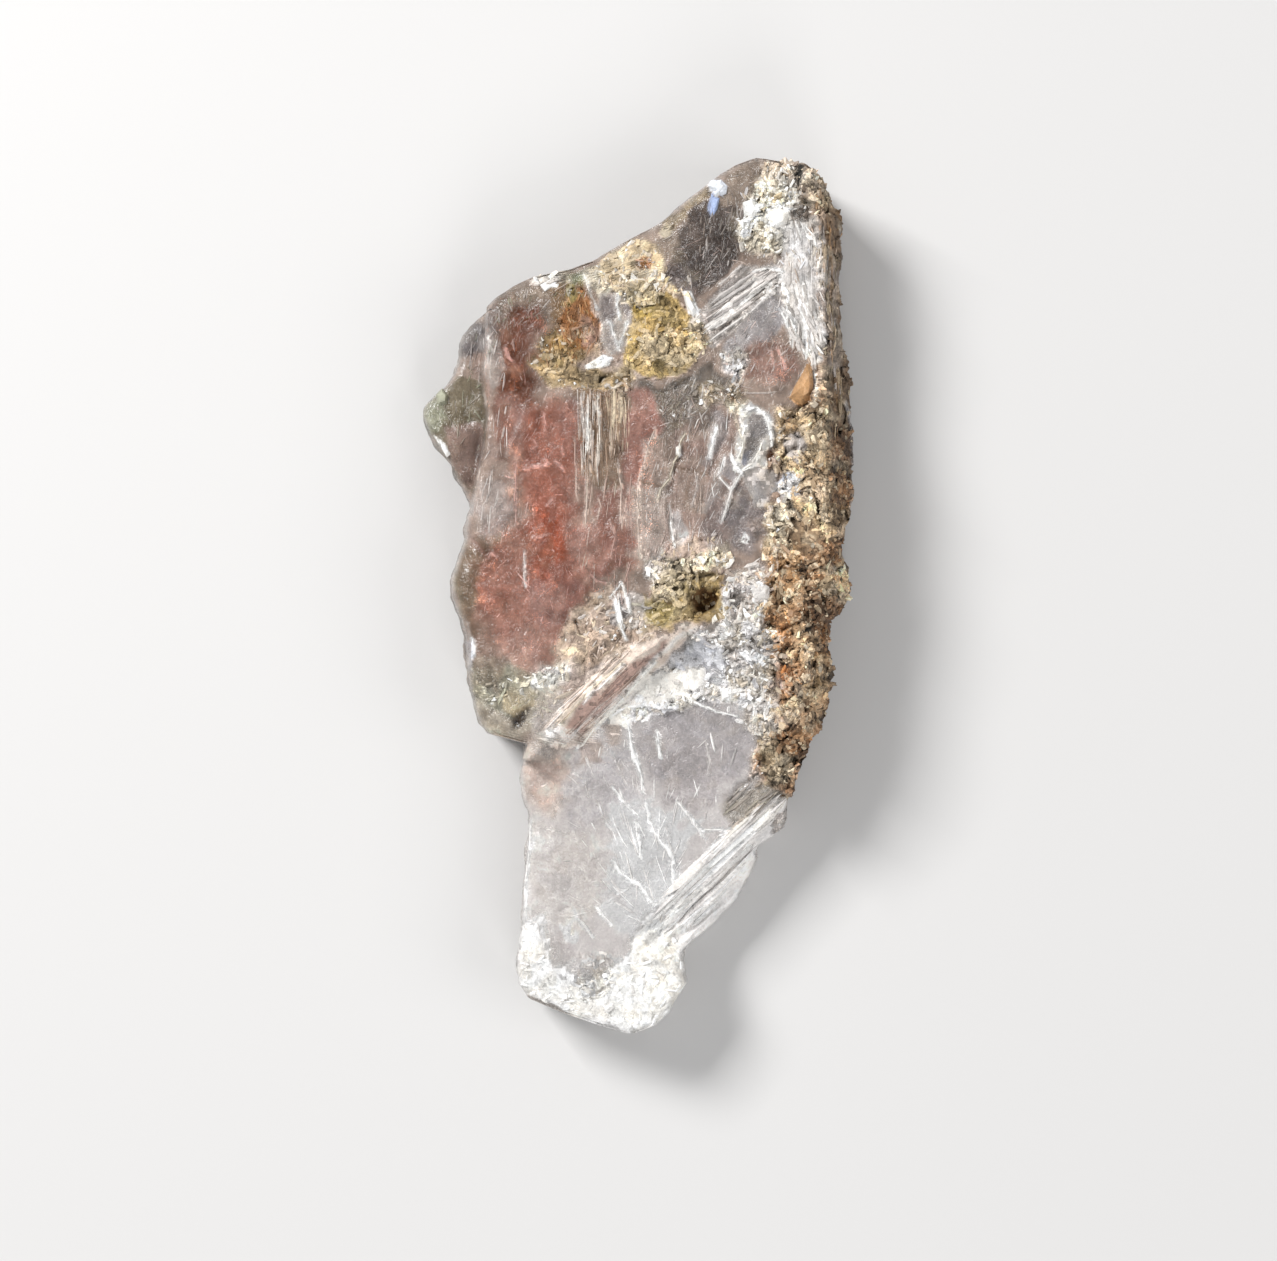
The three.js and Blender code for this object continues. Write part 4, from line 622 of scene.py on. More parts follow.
STROKES = [
    # rims of the upper blade: the silver strokes are painted highlights along its edges
    stroke("silver", 0.7, 0.3, 0.12, [(-12.6, 17.3), (-12.1, 15.1), (-12.1, 14.1), (-12.4, 12.1),
          (-12.8, 10.2), (-13.4, 7.7)]),
    stroke("silver", 0.5, 0.5, 0, [(-12.4, 21.9), (-11.8, 20.9), (-11.9, 19.5), (-12.3, 18)]),
    stroke("silver", 0.5, 0.35, 0, [(-13.3, 7.5), (-13.7, 5.5), (-14, 4), (-14.6, 2.3), (-14.8, 1.1),
          (-14.6, -0.6), (-14.3, -1.6)]),
    stroke("white", 0.9, 0.35, 0.1, [(-16.4, 13), (-15.9, 12.4), (-15.3, 11.6)]),
    stroke("silver", 0.6, 0.25, 0, [(-13.5, -1.9), (-13.3, -3.4), (-13.4, -5.3), (-13.2, -7.5)]),
    # a painted glint on the left rim
    stroke("white", 0.9, 0.25, 0.1, [(-13.2, -3.2), (-13, -3.9), (-13, -4.6)]),
    stroke("silver", 0.6, 0.25, 0.1, [(-13, -9.7), (-12.4, -10.6), (-11, -11.5), (-10, -11.6)]),
    # fibres
    stroke("bright_grey", 0.75, 0.3, 0.1, [(-4.5, 16.2), (-4.4, 14.2), (-4.2, 12.6)]),
    stroke("white", 0.9, 0.25, 0.14, [(-4, 15.2), (-4, 13.4), (-4.1, 11.5)]),
    stroke("umber", 0.75, 0.2, -0.12, [(-3.5, 15.4), (-3.4, 13.8), (-3.5, 12.6)]),
    stroke("umber", 0.8, 0.22, -0.15, [(-2.8, 16.2), (-2.8, 15), (-2.7, 13.2)]),
    stroke("warm_white", 0.7, 0.2, 0.1, [(-3.2, 16), (-3.1, 13.8), (-3, 11.8)]),
    stroke("light_cream", 0.8, 0.5, 0.1, [(-1.9, 16.4), (-1.9, 15), (-2, 13.6)]),
    stroke("light_cream", 0.6, 0.4, 0.08, [(-1.3, 16.4), (-1.3, 15.2), (-1.4, 13.9)]),
    stroke("tan_dark", 0.6, 0.16, -0.1, [(-2.4, 15.8), (-2.3, 13.8), (-2.2, 11.8)]),
    stroke("rib_cream", 0.7, 0.2, 0.08, [(-3.9, 11.4), (-4, 8.5), (-4.2, 5.6)]),
    stroke("rib_cream", 0.6, 0.2, 0.08, [(-2.6, 9.5), (-2.8, 7.7)]),
    stroke("rib_cream", 0.75, 0.22, 0.1, [(-1.6, 10.5), (-1.3, 8.5), (-1.4, 6)]),
    stroke("rib_cream", 0.7, 0.2, 0.08, [(-3.2, 7.8), (-2.9, 7.2), (-3.2, 6.2)]),
    stroke("rib_cream", 0.7, 0.2, 0.08, [(-0.9, 8), (-1.2, 6.6), (-1.3, 5.4)]),
    stroke("pink_grey", 0.7, 0.25, 0.08, [(-2.2, 6), (-1.8, 4.8), (-2.2, 3.1)]),
    stroke("rib_cream", 0.5, 0.2, 0.05, [(-5, 12.6), (-4.9, 10.2), (-4.8, 7.8)]),
    stroke("mauve_red", 0.6, 0.25, -0.05, [(-2.1, 9.4), (-2, 7.4), (-2.4, 6.2)]),
    # terrace edges: pale strokes painted as highlights on the edges, and the long dark strokes beside them
    # painted as their shade; the short level ones are cracks
    stroke("rib_cream", 0.8, 0.2, 0.12, [(1.4, 13.4), (0.8, 11.8), (0.4, 10.4), (0, 9.1), (0, 7.7),
          (0, 5.6), (0.2, 3.1)]),
    stroke("cream_grey", 0.9, 0.26, 0.16, [(3.7, 13), (3.3, 12.2), (3.2, 11.4), (2.8, 10.5), (2.5, 9.5),
          (1.9, 8.7), (1.5, 7.7)]),
    stroke("umber", 0.75, 0.16, -0.15, [(3.5, 11.9), (2.9, 10), (2.6, 8.9), (2.3, 8.3)]),
    stroke("tan_dark", 0.6, 0.12, -0.08, [(0.1, 9.2), (1.4, 8.9), (1.8, 8.7)]),
    stroke("tan_dark", 0.6, 0.12, -0.08, [(2.9, 10.3), (4.2, 10.1), (5.6, 9.6)]),
    stroke("white", 0.85, 0.4, 0.2, [(6.3, 13.6), (6, 12.4), (5.7, 11)]),
    stroke("plum", 0.8, 0.16, -0.15, [(7.1, 14.2), (6.9, 12.8), (6.2, 11.4), (5.6, 9.7)]),
    stroke("white", 0.75, 0.2, 0.12, [(6.9, 11.2), (6.4, 9.6), (7.3, 8.5), (7.6, 8.9)]),
    stroke("white", 0.9, 0.42, 0.15, [(7.3, 11.4), (7.8, 10.4), (8.2, 9.9)]),
    stroke("white", 0.8, 0.18, 0.1, [(8.2, 9.9), (9, 10.4)]),
    stroke("silver", 0.85, 0.28, 0.15, [(7.9, 9.6), (7.5, 8.7), (7, 7.3), (6.7, 6.1)]),
    stroke("plum", 0.6, 0.14, -0.12, [(8.2, 9.5), (7.2, 6.8), (6.8, 6.2)]),
    stroke("cream_grey", 0.8, 0.22, 0.12, [(7.5, 14.8), (8, 13.3), (8.4, 12.4), (8.2, 11)]),
    stroke("plum", 0.7, 0.16, -0.1, [(2.3, 7.7), (2.6, 6.6), (2.8, 6.1)]),
    stroke("white", 0.85, 0.3, 0.12, [(2.6, 6), (2.7, 5), (2.9, 4)]),
    stroke("bright_grey", 0.6, 0.2, 0.08, [(4.2, 15.4), (4, 14.7), (4.2, 13.9)]),
    stroke("bright_grey", 0.6, 0.2, 0.08, [(4.5, 17.6), (4.3, 16.4)]),
    stroke("pale_milk", 0.6, 0.25, 0.08, [(5.2, 16.8), (5, 15.8), (5.4, 15)]),
    stroke("plum", 0.5, 0.15, -0.1, [(5.1, 15.4), (4.7, 14.2), (4.3, 13)]),
    stroke("tan_dark", 0.5, 0.12, -0.06, [(4.2, 9.4), (3.8, 8.2), (3.7, 7.2)]),
    stroke("bright_grey", 0.5, 0.16, 0.06, [(4.8, 9.8), (4.6, 8.4), (4.3, 7.2)]),
    # the window in the grey crystal
    stroke("white", 0.95, 0.4, 0.2, [(8.6, 14.8), (9.3, 15), (9.9, 14.6), (10.3, 14), (10.5, 13.1),
          (10.6, 12.4), (10.5, 11.9)]),
    stroke("warm_white", 0.9, 0.32, 0.15, [(9.8, 12.3), (9.5, 11.5), (9.1, 10.5), (8.3, 10)]),
    stroke("warm_white", 0.85, 0.26, 0.12, [(8.2, 14.8), (8.2, 14.2), (8.3, 13.3), (8.3, 12.4), (8.2, 11.6),
          (7.9, 11)]),
    stroke("white", 0.9, 0.45, 0.15, [(7.4, 11.1), (7.8, 10.3), (8.2, 9.8)]),
    stroke("pit_dark", 0.85, 0.18, -0.2, [(10.6, 13.6), (10.9, 12.9), (10.7, 12.2)]),
    stroke("slate", 0.5, 0.35, -0.05, [(9.1, 13.2), (9.2, 12.1), (8.8, 11)]),
    # crests and rims along the ridge
    # a painted highlight down the crest beside the orange chip
    stroke("warm_white", 0.9, 0.4, 0.2, [(14.1, 17.6), (14, 16.3), (13.8, 15.2)]),
    stroke("light_cream", 0.8, 0.3, 0.15, [(13.8, 15.2), (14.6, 14), (15.2, 13.1)]),
    stroke("pale_grey", 0.7, 0.25, 0.1, [(16.6, 15.5), (17.1, 13.9), (17.3, 12), (17.4, 10.2),
          (17.2, 8.1)]),
    stroke("pale_grey", 0.7, 0.22, 0.1, [(16.7, 15.7), (17, 14.8), (17.3, 13.7)]),
    stroke("pale_pink", 0.8, 0.26, 0.15, [(17, 10.4), (17.3, 9.2), (17.2, 8.3), (17, 7.2)]),
    stroke("umber", 0.8, 0.2, -0.2, [(11.7, 12), (11.3, 10.3), (11.1, 9.2)]),
    stroke("pale_grey", 0.8, 0.3, 0.1, [(12.8, 12.4), (12.6, 10.6)]),
    stroke("light_cream", 0.8, 0.35, 0.2, [(12.9, 1.2), (12.4, 0.4), (11.7, -0.4)]),
    stroke("umber", 0.8, 0.25, -0.25, [(13.3, 1.6), (13.2, -0.2), (13.3, -1.4)]),
    stroke("pit_dark", 0.8, 0.3, -0.3, [(14.4, -1.8), (14.5, -2.6)]),
    stroke("umber", 0.8, 0.25, -0.25, [(13.4, -2.9), (13.4, -4.2)]),
    stroke("tan_dark", 0.7, 0.2, -0.2, [(13.8, -2.8), (13.9, -5), (13.8, -8.2)]),
    stroke("tan_dark", 0.7, 0.2, -0.2, [(15.2, -4.2), (15.3, -6)]),
    stroke("umber", 0.7, 0.25, -0.25, [(10.6, -4.6), (10.8, -5.8), (11, -6.8)]),
    stroke("umber", 0.7, 0.22, -0.2, [(15, 6.2), (15.2, 5), (14.6, 4.1)]),
    # bright scratches in the copper
    stroke("pink_glint", 0.8, 0.12, 0.05, [(-10.5, 19.7), (-10.3, 19), (-10, 18.8)]),
    stroke("pink_glint", 0.7, 0.14, 0.05, [(-9.1, 10.3), (-8, 10.3), (-7.3, 10.5), (-7.3, 11)]),
    stroke("pink_glint", 0.7, 0.14, 0.05, [(-6.7, 10.8), (-6.2, 10.5), (-5.9, 10)]),
    stroke("pink_glint", 0.9, 0.15, 0.06, [(-7.3, 7.2), (-6.8, 7.9)]),
    stroke("pink_glint", 0.9, 0.13, 0.06, [(-8.3, 4.7), (-7.1, 5)]),
    stroke("pink_glint", 0.4, 0.2, 0, [(-10.2, 11.9), (-9.6, 13.6), (-9, 15.1)]),
    stroke("pink_glint", 0.5, 0.15, 0.05, [(-9.7, 10.6), (-9.7, 8.4), (-9.7, 5.7)]),
    stroke("pink_glint", 0.7, 0.2, 0.05, [(-11.9, 3.1), (-11.6, 3.5), (-11.3, 3.2)]),
    stroke("pink_glint", 0.6, 0.12, 0.05, [(-7.5, 14.6), (-7.3, 13.8), (-7.5, 13.1)]),
    stroke("pink_glint", 0.6, 0.12, 0.05, [(-8.3, 12.6), (-8, 12.1), (-8.5, 11.6)]),
    stroke("pink_glint", 0.8, 0.12, 0.05, [(11, 19.7), (11.4, 18.8), (11.7, 17.9)]),
    stroke("pink_glint", 0.6, 0.1, 0.05, [(10.5, 19.5), (10.7, 18.5)]),
    # the ribbed band near the tip, and the fan
    stroke("white", 0.9, 0.42, 0.3, [(5.4, 21.1), (7.9, 22.9), (10.3, 25.2)]),
    stroke("bright_grey", 0.9, 0.3, 0.25, [(5.7, 20.3), (8.6, 22.4), (11.2, 24.8)]),
    stroke("ash", 0.8, 0.12, -0.15, [(8.1, 22.8), (10, 24.4)]),
    stroke("ash", 0.7, 0.1, -0.12, [(5.8, 20.6), (7.9, 22.3)]),
    stroke("silver", 0.8, 0.25, 0.15, [(6.7, 22.9), (8.9, 25.1), (9.4, 25.7)]),
    stroke("pit_dark", 0.85, 0.24, -0.3, [(5.1, 21.4), (6.9, 23.1), (9, 25.5)]),
    stroke("bright_grey", 0.8, 0.3, 0.15, [(6.4, 24.8), (7.3, 25.5), (8.2, 26.3)]),
    stroke("white", 0.9, 0.25, 0.2, [(11.3, 22.8), (11.9, 21.4), (12.2, 19.9)]),
    stroke("white", 0.8, 0.2, 0.15, [(11.9, 22.5), (12.5, 20.9), (12.9, 19.5)]),
    stroke("white", 0.8, 0.2, 0.15, [(12.8, 22.9), (13.4, 20.9), (13.5, 19)]),
    stroke("bright_grey", 0.7, 0.2, 0.15, [(12.4, 24.8), (13.8, 22.9), (14.1, 20.9)]),
    stroke("white", 0.8, 0.3, 0.2, [(9.1, 25.8), (10.3, 26.1), (11.6, 25.8)]),
    stroke("ash", 0.6, 0.12, -0.12, [(12.2, 22.9), (12.9, 21.4), (13.2, 19.5)]),
    # more of the painted highlight down that crest
    stroke("white", 0.9, 0.18, 0.15, [(13.9, 18), (14, 16.5), (13.8, 15.2)]),
    stroke("white", 0.7, 0.2, 0.1, [(13.3, 29.5), (13.9, 28.5), (14.2, 26.9)]),
    stroke("ash", 0.6, 0.15, -0.1, [(9.9, 33.9), (8.9, 31.9), (8.4, 30.2)]),
    stroke("ash", 0.6, 0.2, -0.2, [(14.5, 30.7), (14.6, 28.5), (14.5, 25.8)]),
    stroke("tan_brown", 0.7, 0.2, 0.15, [(15.2, 29.3), (15.4, 26.3), (15.2, 22.9), (15.4, 19.5)]),
    stroke("pit_dark", 0.5, 0.15, -0.15, [(14.9, 26.3), (15, 22.9), (14.9, 19.7), (15.1, 17)]),
    stroke("bright_grey", 0.5, 0.15, 0.1, [(16.2, 29.7), (16.4, 28.3), (16.4, 26.3)]),
    # ribs on the step between the blades
    stroke("light_cream", 0.9, 0.22, 0.15, [(-6.2, -10.1), (-4.6, -8.2), (-2.9, -6.6), (-1.1, -5.2)]),
    stroke("rib_white", 0.8, 0.3, 0.2, [(-4.3, -8.4), (-3.4, -7.4), (-2.2, -6.4), (-1.1, -5.3)]),
    stroke("warm_white", 0.97, 0.45, 0.35, [(-4.8, -12), (-3.4, -10.4), (-2.3, -9.2), (-1.1, -8),
          (0.2, -6.5), (1.4, -5.2)]),
    stroke("rib_white", 0.8, 0.2, 0.15, [(-3.4, -9.8), (-1.4, -7.7), (1, -5.2), (3.7, -2.8)]),
    stroke("rib_cream", 0.8, 0.2, 0.15, [(-3, -7.4), (-0.6, -5.2), (1.8, -3.4)]),
    stroke("warm_white", 0.95, 0.3, 0.2, [(-0.8, -7.5), (1.1, -5.3), (3.2, -3.4), (4.6, -2.4)]),
    stroke("rib_white", 0.7, 0.25, 0.15, [(-5.9, -11.6), (-4.3, -10), (-2.7, -8.5)]),
    stroke("rib_cream", 0.8, 0.15, 0.1, [(-2.9, -7.6), (-1.8, -6.4)]),
    stroke("white", 0.9, 0.25, 0.25, [(-1.9, 0.4), (-1.6, -0.7), (-0.8, -1.2)]),
    stroke("white", 0.9, 0.25, 0.25, [(-1.5, -1.7), (-1.3, -2.6), (-0.9, -3.4)]),
    stroke("white", 0.8, 0.2, 0.2, [(-1, 0.1), (-0.6, -1)]),
    stroke("rib_cream", 0.8, 0.3, 0.2, [(-0.2, -3.7), (0.6, -3), (1.3, -2.8)]),
    # cracks and veils in the lower blade
    stroke("white", 0.95, 0.36, 0.12, [(-0.7, -10.6), (-0.6, -11.7), (-0.2, -12.9), (0.2, -14.1),
          (0.4, -15.6)]),
    stroke("white", 0.9, 0.3, 0.1, [(1.5, -10.6), (1.7, -11.7), (1.8, -12.9)]),
    stroke("bright_grey", 0.7, 0.15, 0.05, [(5.4, -11.6), (5.6, -12.9), (5.6, -14.1)]),
    stroke("white", 0.7, 0.24, 0.08, [(-2.1, -15.1), (-0.9, -16.6), (0.1, -17.6)]),
    stroke("white", 0.95, 0.32, 0.12, [(0.6, -16.3), (0.9, -17.8), (1.5, -19), (2.4, -20.3), (2.8, -21),
          (2.8, -22.9)]),
    stroke("bright_grey", 0.7, 0.12, 0.05, [(2.3, -18.3), (2.5, -20.3)]),
    stroke("white", 0.8, 0.26, 0.1, [(-0.2, -17.8), (0.1, -19.5), (0.2, -20.8)]),
    stroke("white", 0.85, 0.28, 0.1, [(3.1, -16.3), (4.2, -17.6), (5.4, -19.3)]),
    stroke("white", 0.7, 0.24, 0.08, [(5.1, -18.6), (6.7, -18.5)]),
    stroke("bright_grey", 0.6, 0.12, 0.05, [(-3.4, -16.3), (-2.8, -17.6), (-2.1, -18.5)]),
    stroke("white", 0.95, 0.36, 0.12, [(-2.1, -21), (-1.2, -22.2), (0.1, -23), (1.3, -24.5)]),
    stroke("white", 0.75, 1.3, 0, [(-0.6, -19.8), (-0.6, -22.6)]),
    stroke("white", 0.6, 1.6, 0, [(0.6, -23), (3, -23.7)]),
    stroke("white", 0.5, 1, 0, [(0.1, -17.1), (0.6, -19), (1.8, -20.5)]),
    stroke("white", 0.7, 0.15, 0.05, [(-1.7, -23.6), (-0.7, -23.2)]),
    stroke("white", 0.7, 0.2, 0.08, [(-4.8, -25.7), (-4.1, -26.4), (-3.6, -27.2)]),
    stroke("white", 0.8, 0.24, 0.08, [(-3.4, -24.8), (-2.1, -26.2)]),
    stroke("pale_pink", 0.7, 0.12, 0.05, [(-6.8, -17.6), (-6.4, -16.6), (-6.1, -15.9)]),
    stroke("bright_grey", 0.5, 0.1, 0.05, [(-7.5, -18.3), (-5.7, -18.9)]),
    stroke("bright_grey", 0.5, 0.12, 0.05, [(-5.3, -13.9), (-4.3, -14.6), (-3.9, -15.9)]),
    stroke("bright_grey", 0.5, 0.12, 0.05, [(-1.9, -12.7), (-1.4, -14.1), (-0.8, -15.1)]),
    stroke("white", 0.6, 0.3, 0.1, [(-8.6, -17.8), (-8.7, -20.3), (-9, -23), (-9.1, -25.7)]),
    stroke("bright_grey", 0.6, 0.2, 0.1, [(-8.8, -26.1), (-8.1, -25.9), (-7.8, -27.1), (-7.5, -28.6)]),
    # the ribbed lower right edge
    stroke("rib_white", 0.9, 0.45, 0.16, [(1.8, -25.7), (4.5, -23), (8.1, -19.5), (11.6, -16.3)]),
    stroke("rib_white", 0.8, 0.35, 0.14, [(2.5, -27.1), (5.4, -24.2), (9.6, -20)]),
    stroke("bright_grey", 0.8, 0.25, 0.1, [(1.5, -24.4), (4.2, -21.7), (7.2, -18.8)]),
    stroke("rib_white", 0.8, 0.3, 0.2, [(3.7, -27.6), (7.4, -24.4), (9.1, -22.5)]),
    stroke("rib_cream", 0.8, 0.2, 0.15, [(7.4, -18.5), (10.1, -16.1)]),
    stroke("cream_grey", 0.7, 0.15, 0.1, [(8.1, -17.8), (11, -15.6)]),
    stroke("ash", 0.7, 0.12, -0.1, [(7.8, -18), (10.3, -15.8)]),
    # a dark crevice, painted as the shade inside it
    stroke("ash", 0.8, 0.5, -0.3, [(7.3, -16.3), (8.1, -15.1), (9.6, -14.1)]),
    # finer lines
    stroke("bright_grey", 0.8, 0.16, 0.06, [(-12, 20.8), (-11.8, 20.1), (-11.6, 19.5)]),
    stroke("pink_glint", 0.8, 0.12, 0.05, [(-10.6, 19.7), (-10.3, 19.3), (-10.1, 18.9)]),
    stroke("bright_grey", 0.45, 0.2, 0, [(-8.9, 15.7), (-9.6, 13.6), (-10.5, 11.2)]),
    stroke("pink_glint", 0.7, 0.13, 0.04, [(-8.3, 10.4), (-7.6, 10.4), (-7, 10.6)]),
    stroke("pink_glint", 0.7, 0.13, 0.04, [(-6.6, 11), (-6.2, 10.5), (-5.9, 10.1)]),
    stroke("pink_glint", 0.6, 0.12, 0.04, [(-6.1, 12), (-6, 11.2)]),
    stroke("pink_glint", 0.6, 0.12, 0.04, [(-7.5, 14.7), (-7.4, 13.6)]),
    stroke("warm_white", 0.9, 0.22, 0.15, [(-4, 14.4), (-3.9, 12.9), (-4, 11.5)]),
    stroke("white", 0.8, 0.11, 0.04, [(-9, 3.7), (-9, 2.2), (-9, 0.8)]),
    stroke("plum", 0.7, 0.12, -0.12, [(-4.1, 2.4), (-3.4, 1.6), (-2.6, 1.2)]),
    stroke("pink_glint", 0.7, 0.12, 0.05, [(-3.8, 1.9), (-3.2, 1.3), (-2.6, 1.1)]),
    stroke("white", 0.95, 0.3, 0.25, [(-1.9, -0.2), (-1.6, -1.6), (-1, -3.4)]),
    stroke("white", 0.95, 0.28, 0.25, [(-1.3, 1.1), (-0.9, -0), (-0.6, -1.3)]),
    stroke("white", 0.8, 0.2, 0.15, [(-2.2, -0), (-1.6, 0.8), (-1.3, 1.1)]),
    stroke("white", 0.9, 0.16, 0.15, [(6.8, -0.4), (6.9, -1.3), (7, -2.3)]),
    # a dark line painted as the shadow under the edge of the cream ledge
    stroke("pit_dark", 0.7, 0.14, -0.18, [(3, 1.2), (5, 1.6), (7, 1.9)]),
    stroke("umber", 0.8, 0.3, -0.3, [(1.3, -0.4), (1.8, -0), (2.4, -0.4), (2.9, -0.5)]),
    stroke("white", 0.85, 0.2, 0.15, [(8.5, 5), (8.8, 4.7), (8.6, 4.3), (8.2, 4.5), (8.5, 5)]),
    stroke("white", 0.9, 0.16, 0.12, [(4.2, -4.4), (4.4, -3.4)]),
    stroke("white", 0.8, 0.3, 0.2, [(-2.1, -9.5), (-1, -8.7), (1, -8.7), (2.7, -8.5), (4, -8.2),
          (5.3, -8.7), (6.7, -9.2), (8, -9.5)]),
    stroke("bright_grey", 0.8, 0.14, 0.08, [(0.2, -8.5), (0.6, -8), (1.1, -8), (1.4, -8.7)]),
    stroke("white", 0.9, 0.26, 0.12, [(-0.8, -9.8), (-0.6, -11.4), (-0.4, -13)]),
    stroke("white", 0.9, 0.2, 0.1, [(1.4, -11.1), (1.6, -12), (1.7, -12.8)]),
    # a painted glint on the left rim
    stroke("frost", 0.95, 0.2, 0.1, [(-13.2, -3.5), (-13.1, -4.2), (-13.2, -4.8)]),
    stroke("pit_dark", 0.8, 0.2, -0.25, [(5.9, 22.8), (7, 24), (8.2, 25.2)]),
    # the painted glint at the tip and its painted blue reflection
    stroke("frost", 0.95, 0.5, 0.3, [(5.7, 32.9), (6.2, 33.1), (6.7, 32.6), (6.1, 32)]),
    stroke("ice_blue", 0.9, 0.3, 0.1, [(5.9, 32), (6, 31.2), (5.8, 30.4)]),
    stroke("white", 0.8, 0.16, 0.12, [(8.5, 31.2), (8.4, 30), (8.6, 28.9)]),
    stroke("white", 0.7, 0.16, 0.12, [(9.4, 31.3), (9.5, 30.2), (9.4, 29)]),
    stroke("pit_dark", 0.8, 0.16, -0.2, [(14.8, 27.5), (15, 26.4), (14.9, 25.2)]),
    stroke("white", 0.9, 0.2, 0.2, [(12.3, 24.4), (12.9, 23.5), (13.5, 22.5)]),
    stroke("white", 0.9, 0.2, 0.15, [(11.8, 23.4), (11.9, 22.4), (11.8, 21.4)]),
    stroke("white", 0.8, 0.2, 0.15, [(13.9, 22.7), (14.2, 22), (14.3, 21.4)]),
    stroke("white", 0.8, 0.2, 0.15, [(-4.3, 25.7), (-3.8, 24.3), (-3.2, 22.8)]),
    stroke("white", 0.8, 0.18, 0.12, [(-1.6, 24), (-1.6, 23), (-1.5, 22)]),
    stroke("white", 0.8, 0.16, 0.12, [(-2.3, 21.9), (-1.9, 20.8), (-1.6, 19.6), (-1.2, 20.8),
          (-0.8, 21.9)]),
    stroke("white", 0.9, 0.2, 0.12, [(4.2, 24.2), (4.5, 23.4), (4.7, 22.5)]),
    stroke("frost", 0.9, 0.3, 0.25, [(3.1, 11.8), (3.3, 11.3)]),
    stroke("silver", 0.8, 0.16, 0.15, [(2.5, 7.4), (2.7, 5.9), (2.9, 4.8)]),
    stroke("ash", 0.8, 0.14, -0.15, [(2.2, 7.4), (2.5, 5.9), (2.6, 4.8)]),
    stroke("white", 0.85, 0.2, 0.18, [(6.2, 13.5), (5.8, 11.9), (5.5, 11)]),
    stroke("white", 0.85, 0.2, 0.2, [(8.2, 9.8), (7.4, 8.5), (7.1, 7), (6.6, 6)]),
]

# outlines that two sheaves share
TIP_RIBS = [(5.2, 21.7), (6.2, 23.6), (8.6, 25.4), (11, 26.2), (11.4, 25.2), (9, 23.6), (6.2, 21.2)]
TIP_CRUST = [(8, 32.6), (11, 34), (13.4, 33.7), (14.7, 31.4), (14.2, 26.8), (12.6, 25.8), (10.2, 26.8),
             (8.3, 27.8)]
EDGE_RIBS = [(1.8, -24.2), (4.2, -21.6), (7.8, -18.4), (10.9, -16.2), (11.5, -16.7), (9.4, -19.6),
             (7.5, -22.6), (5.6, -25.4), (3.8, -26.6), (2.6, -26.2)]
PIT_SHARDS = [(6.7, 3), (10.2, 3), (10.4, -1.8), (9.4, -4.2), (7.2, -3.4)]

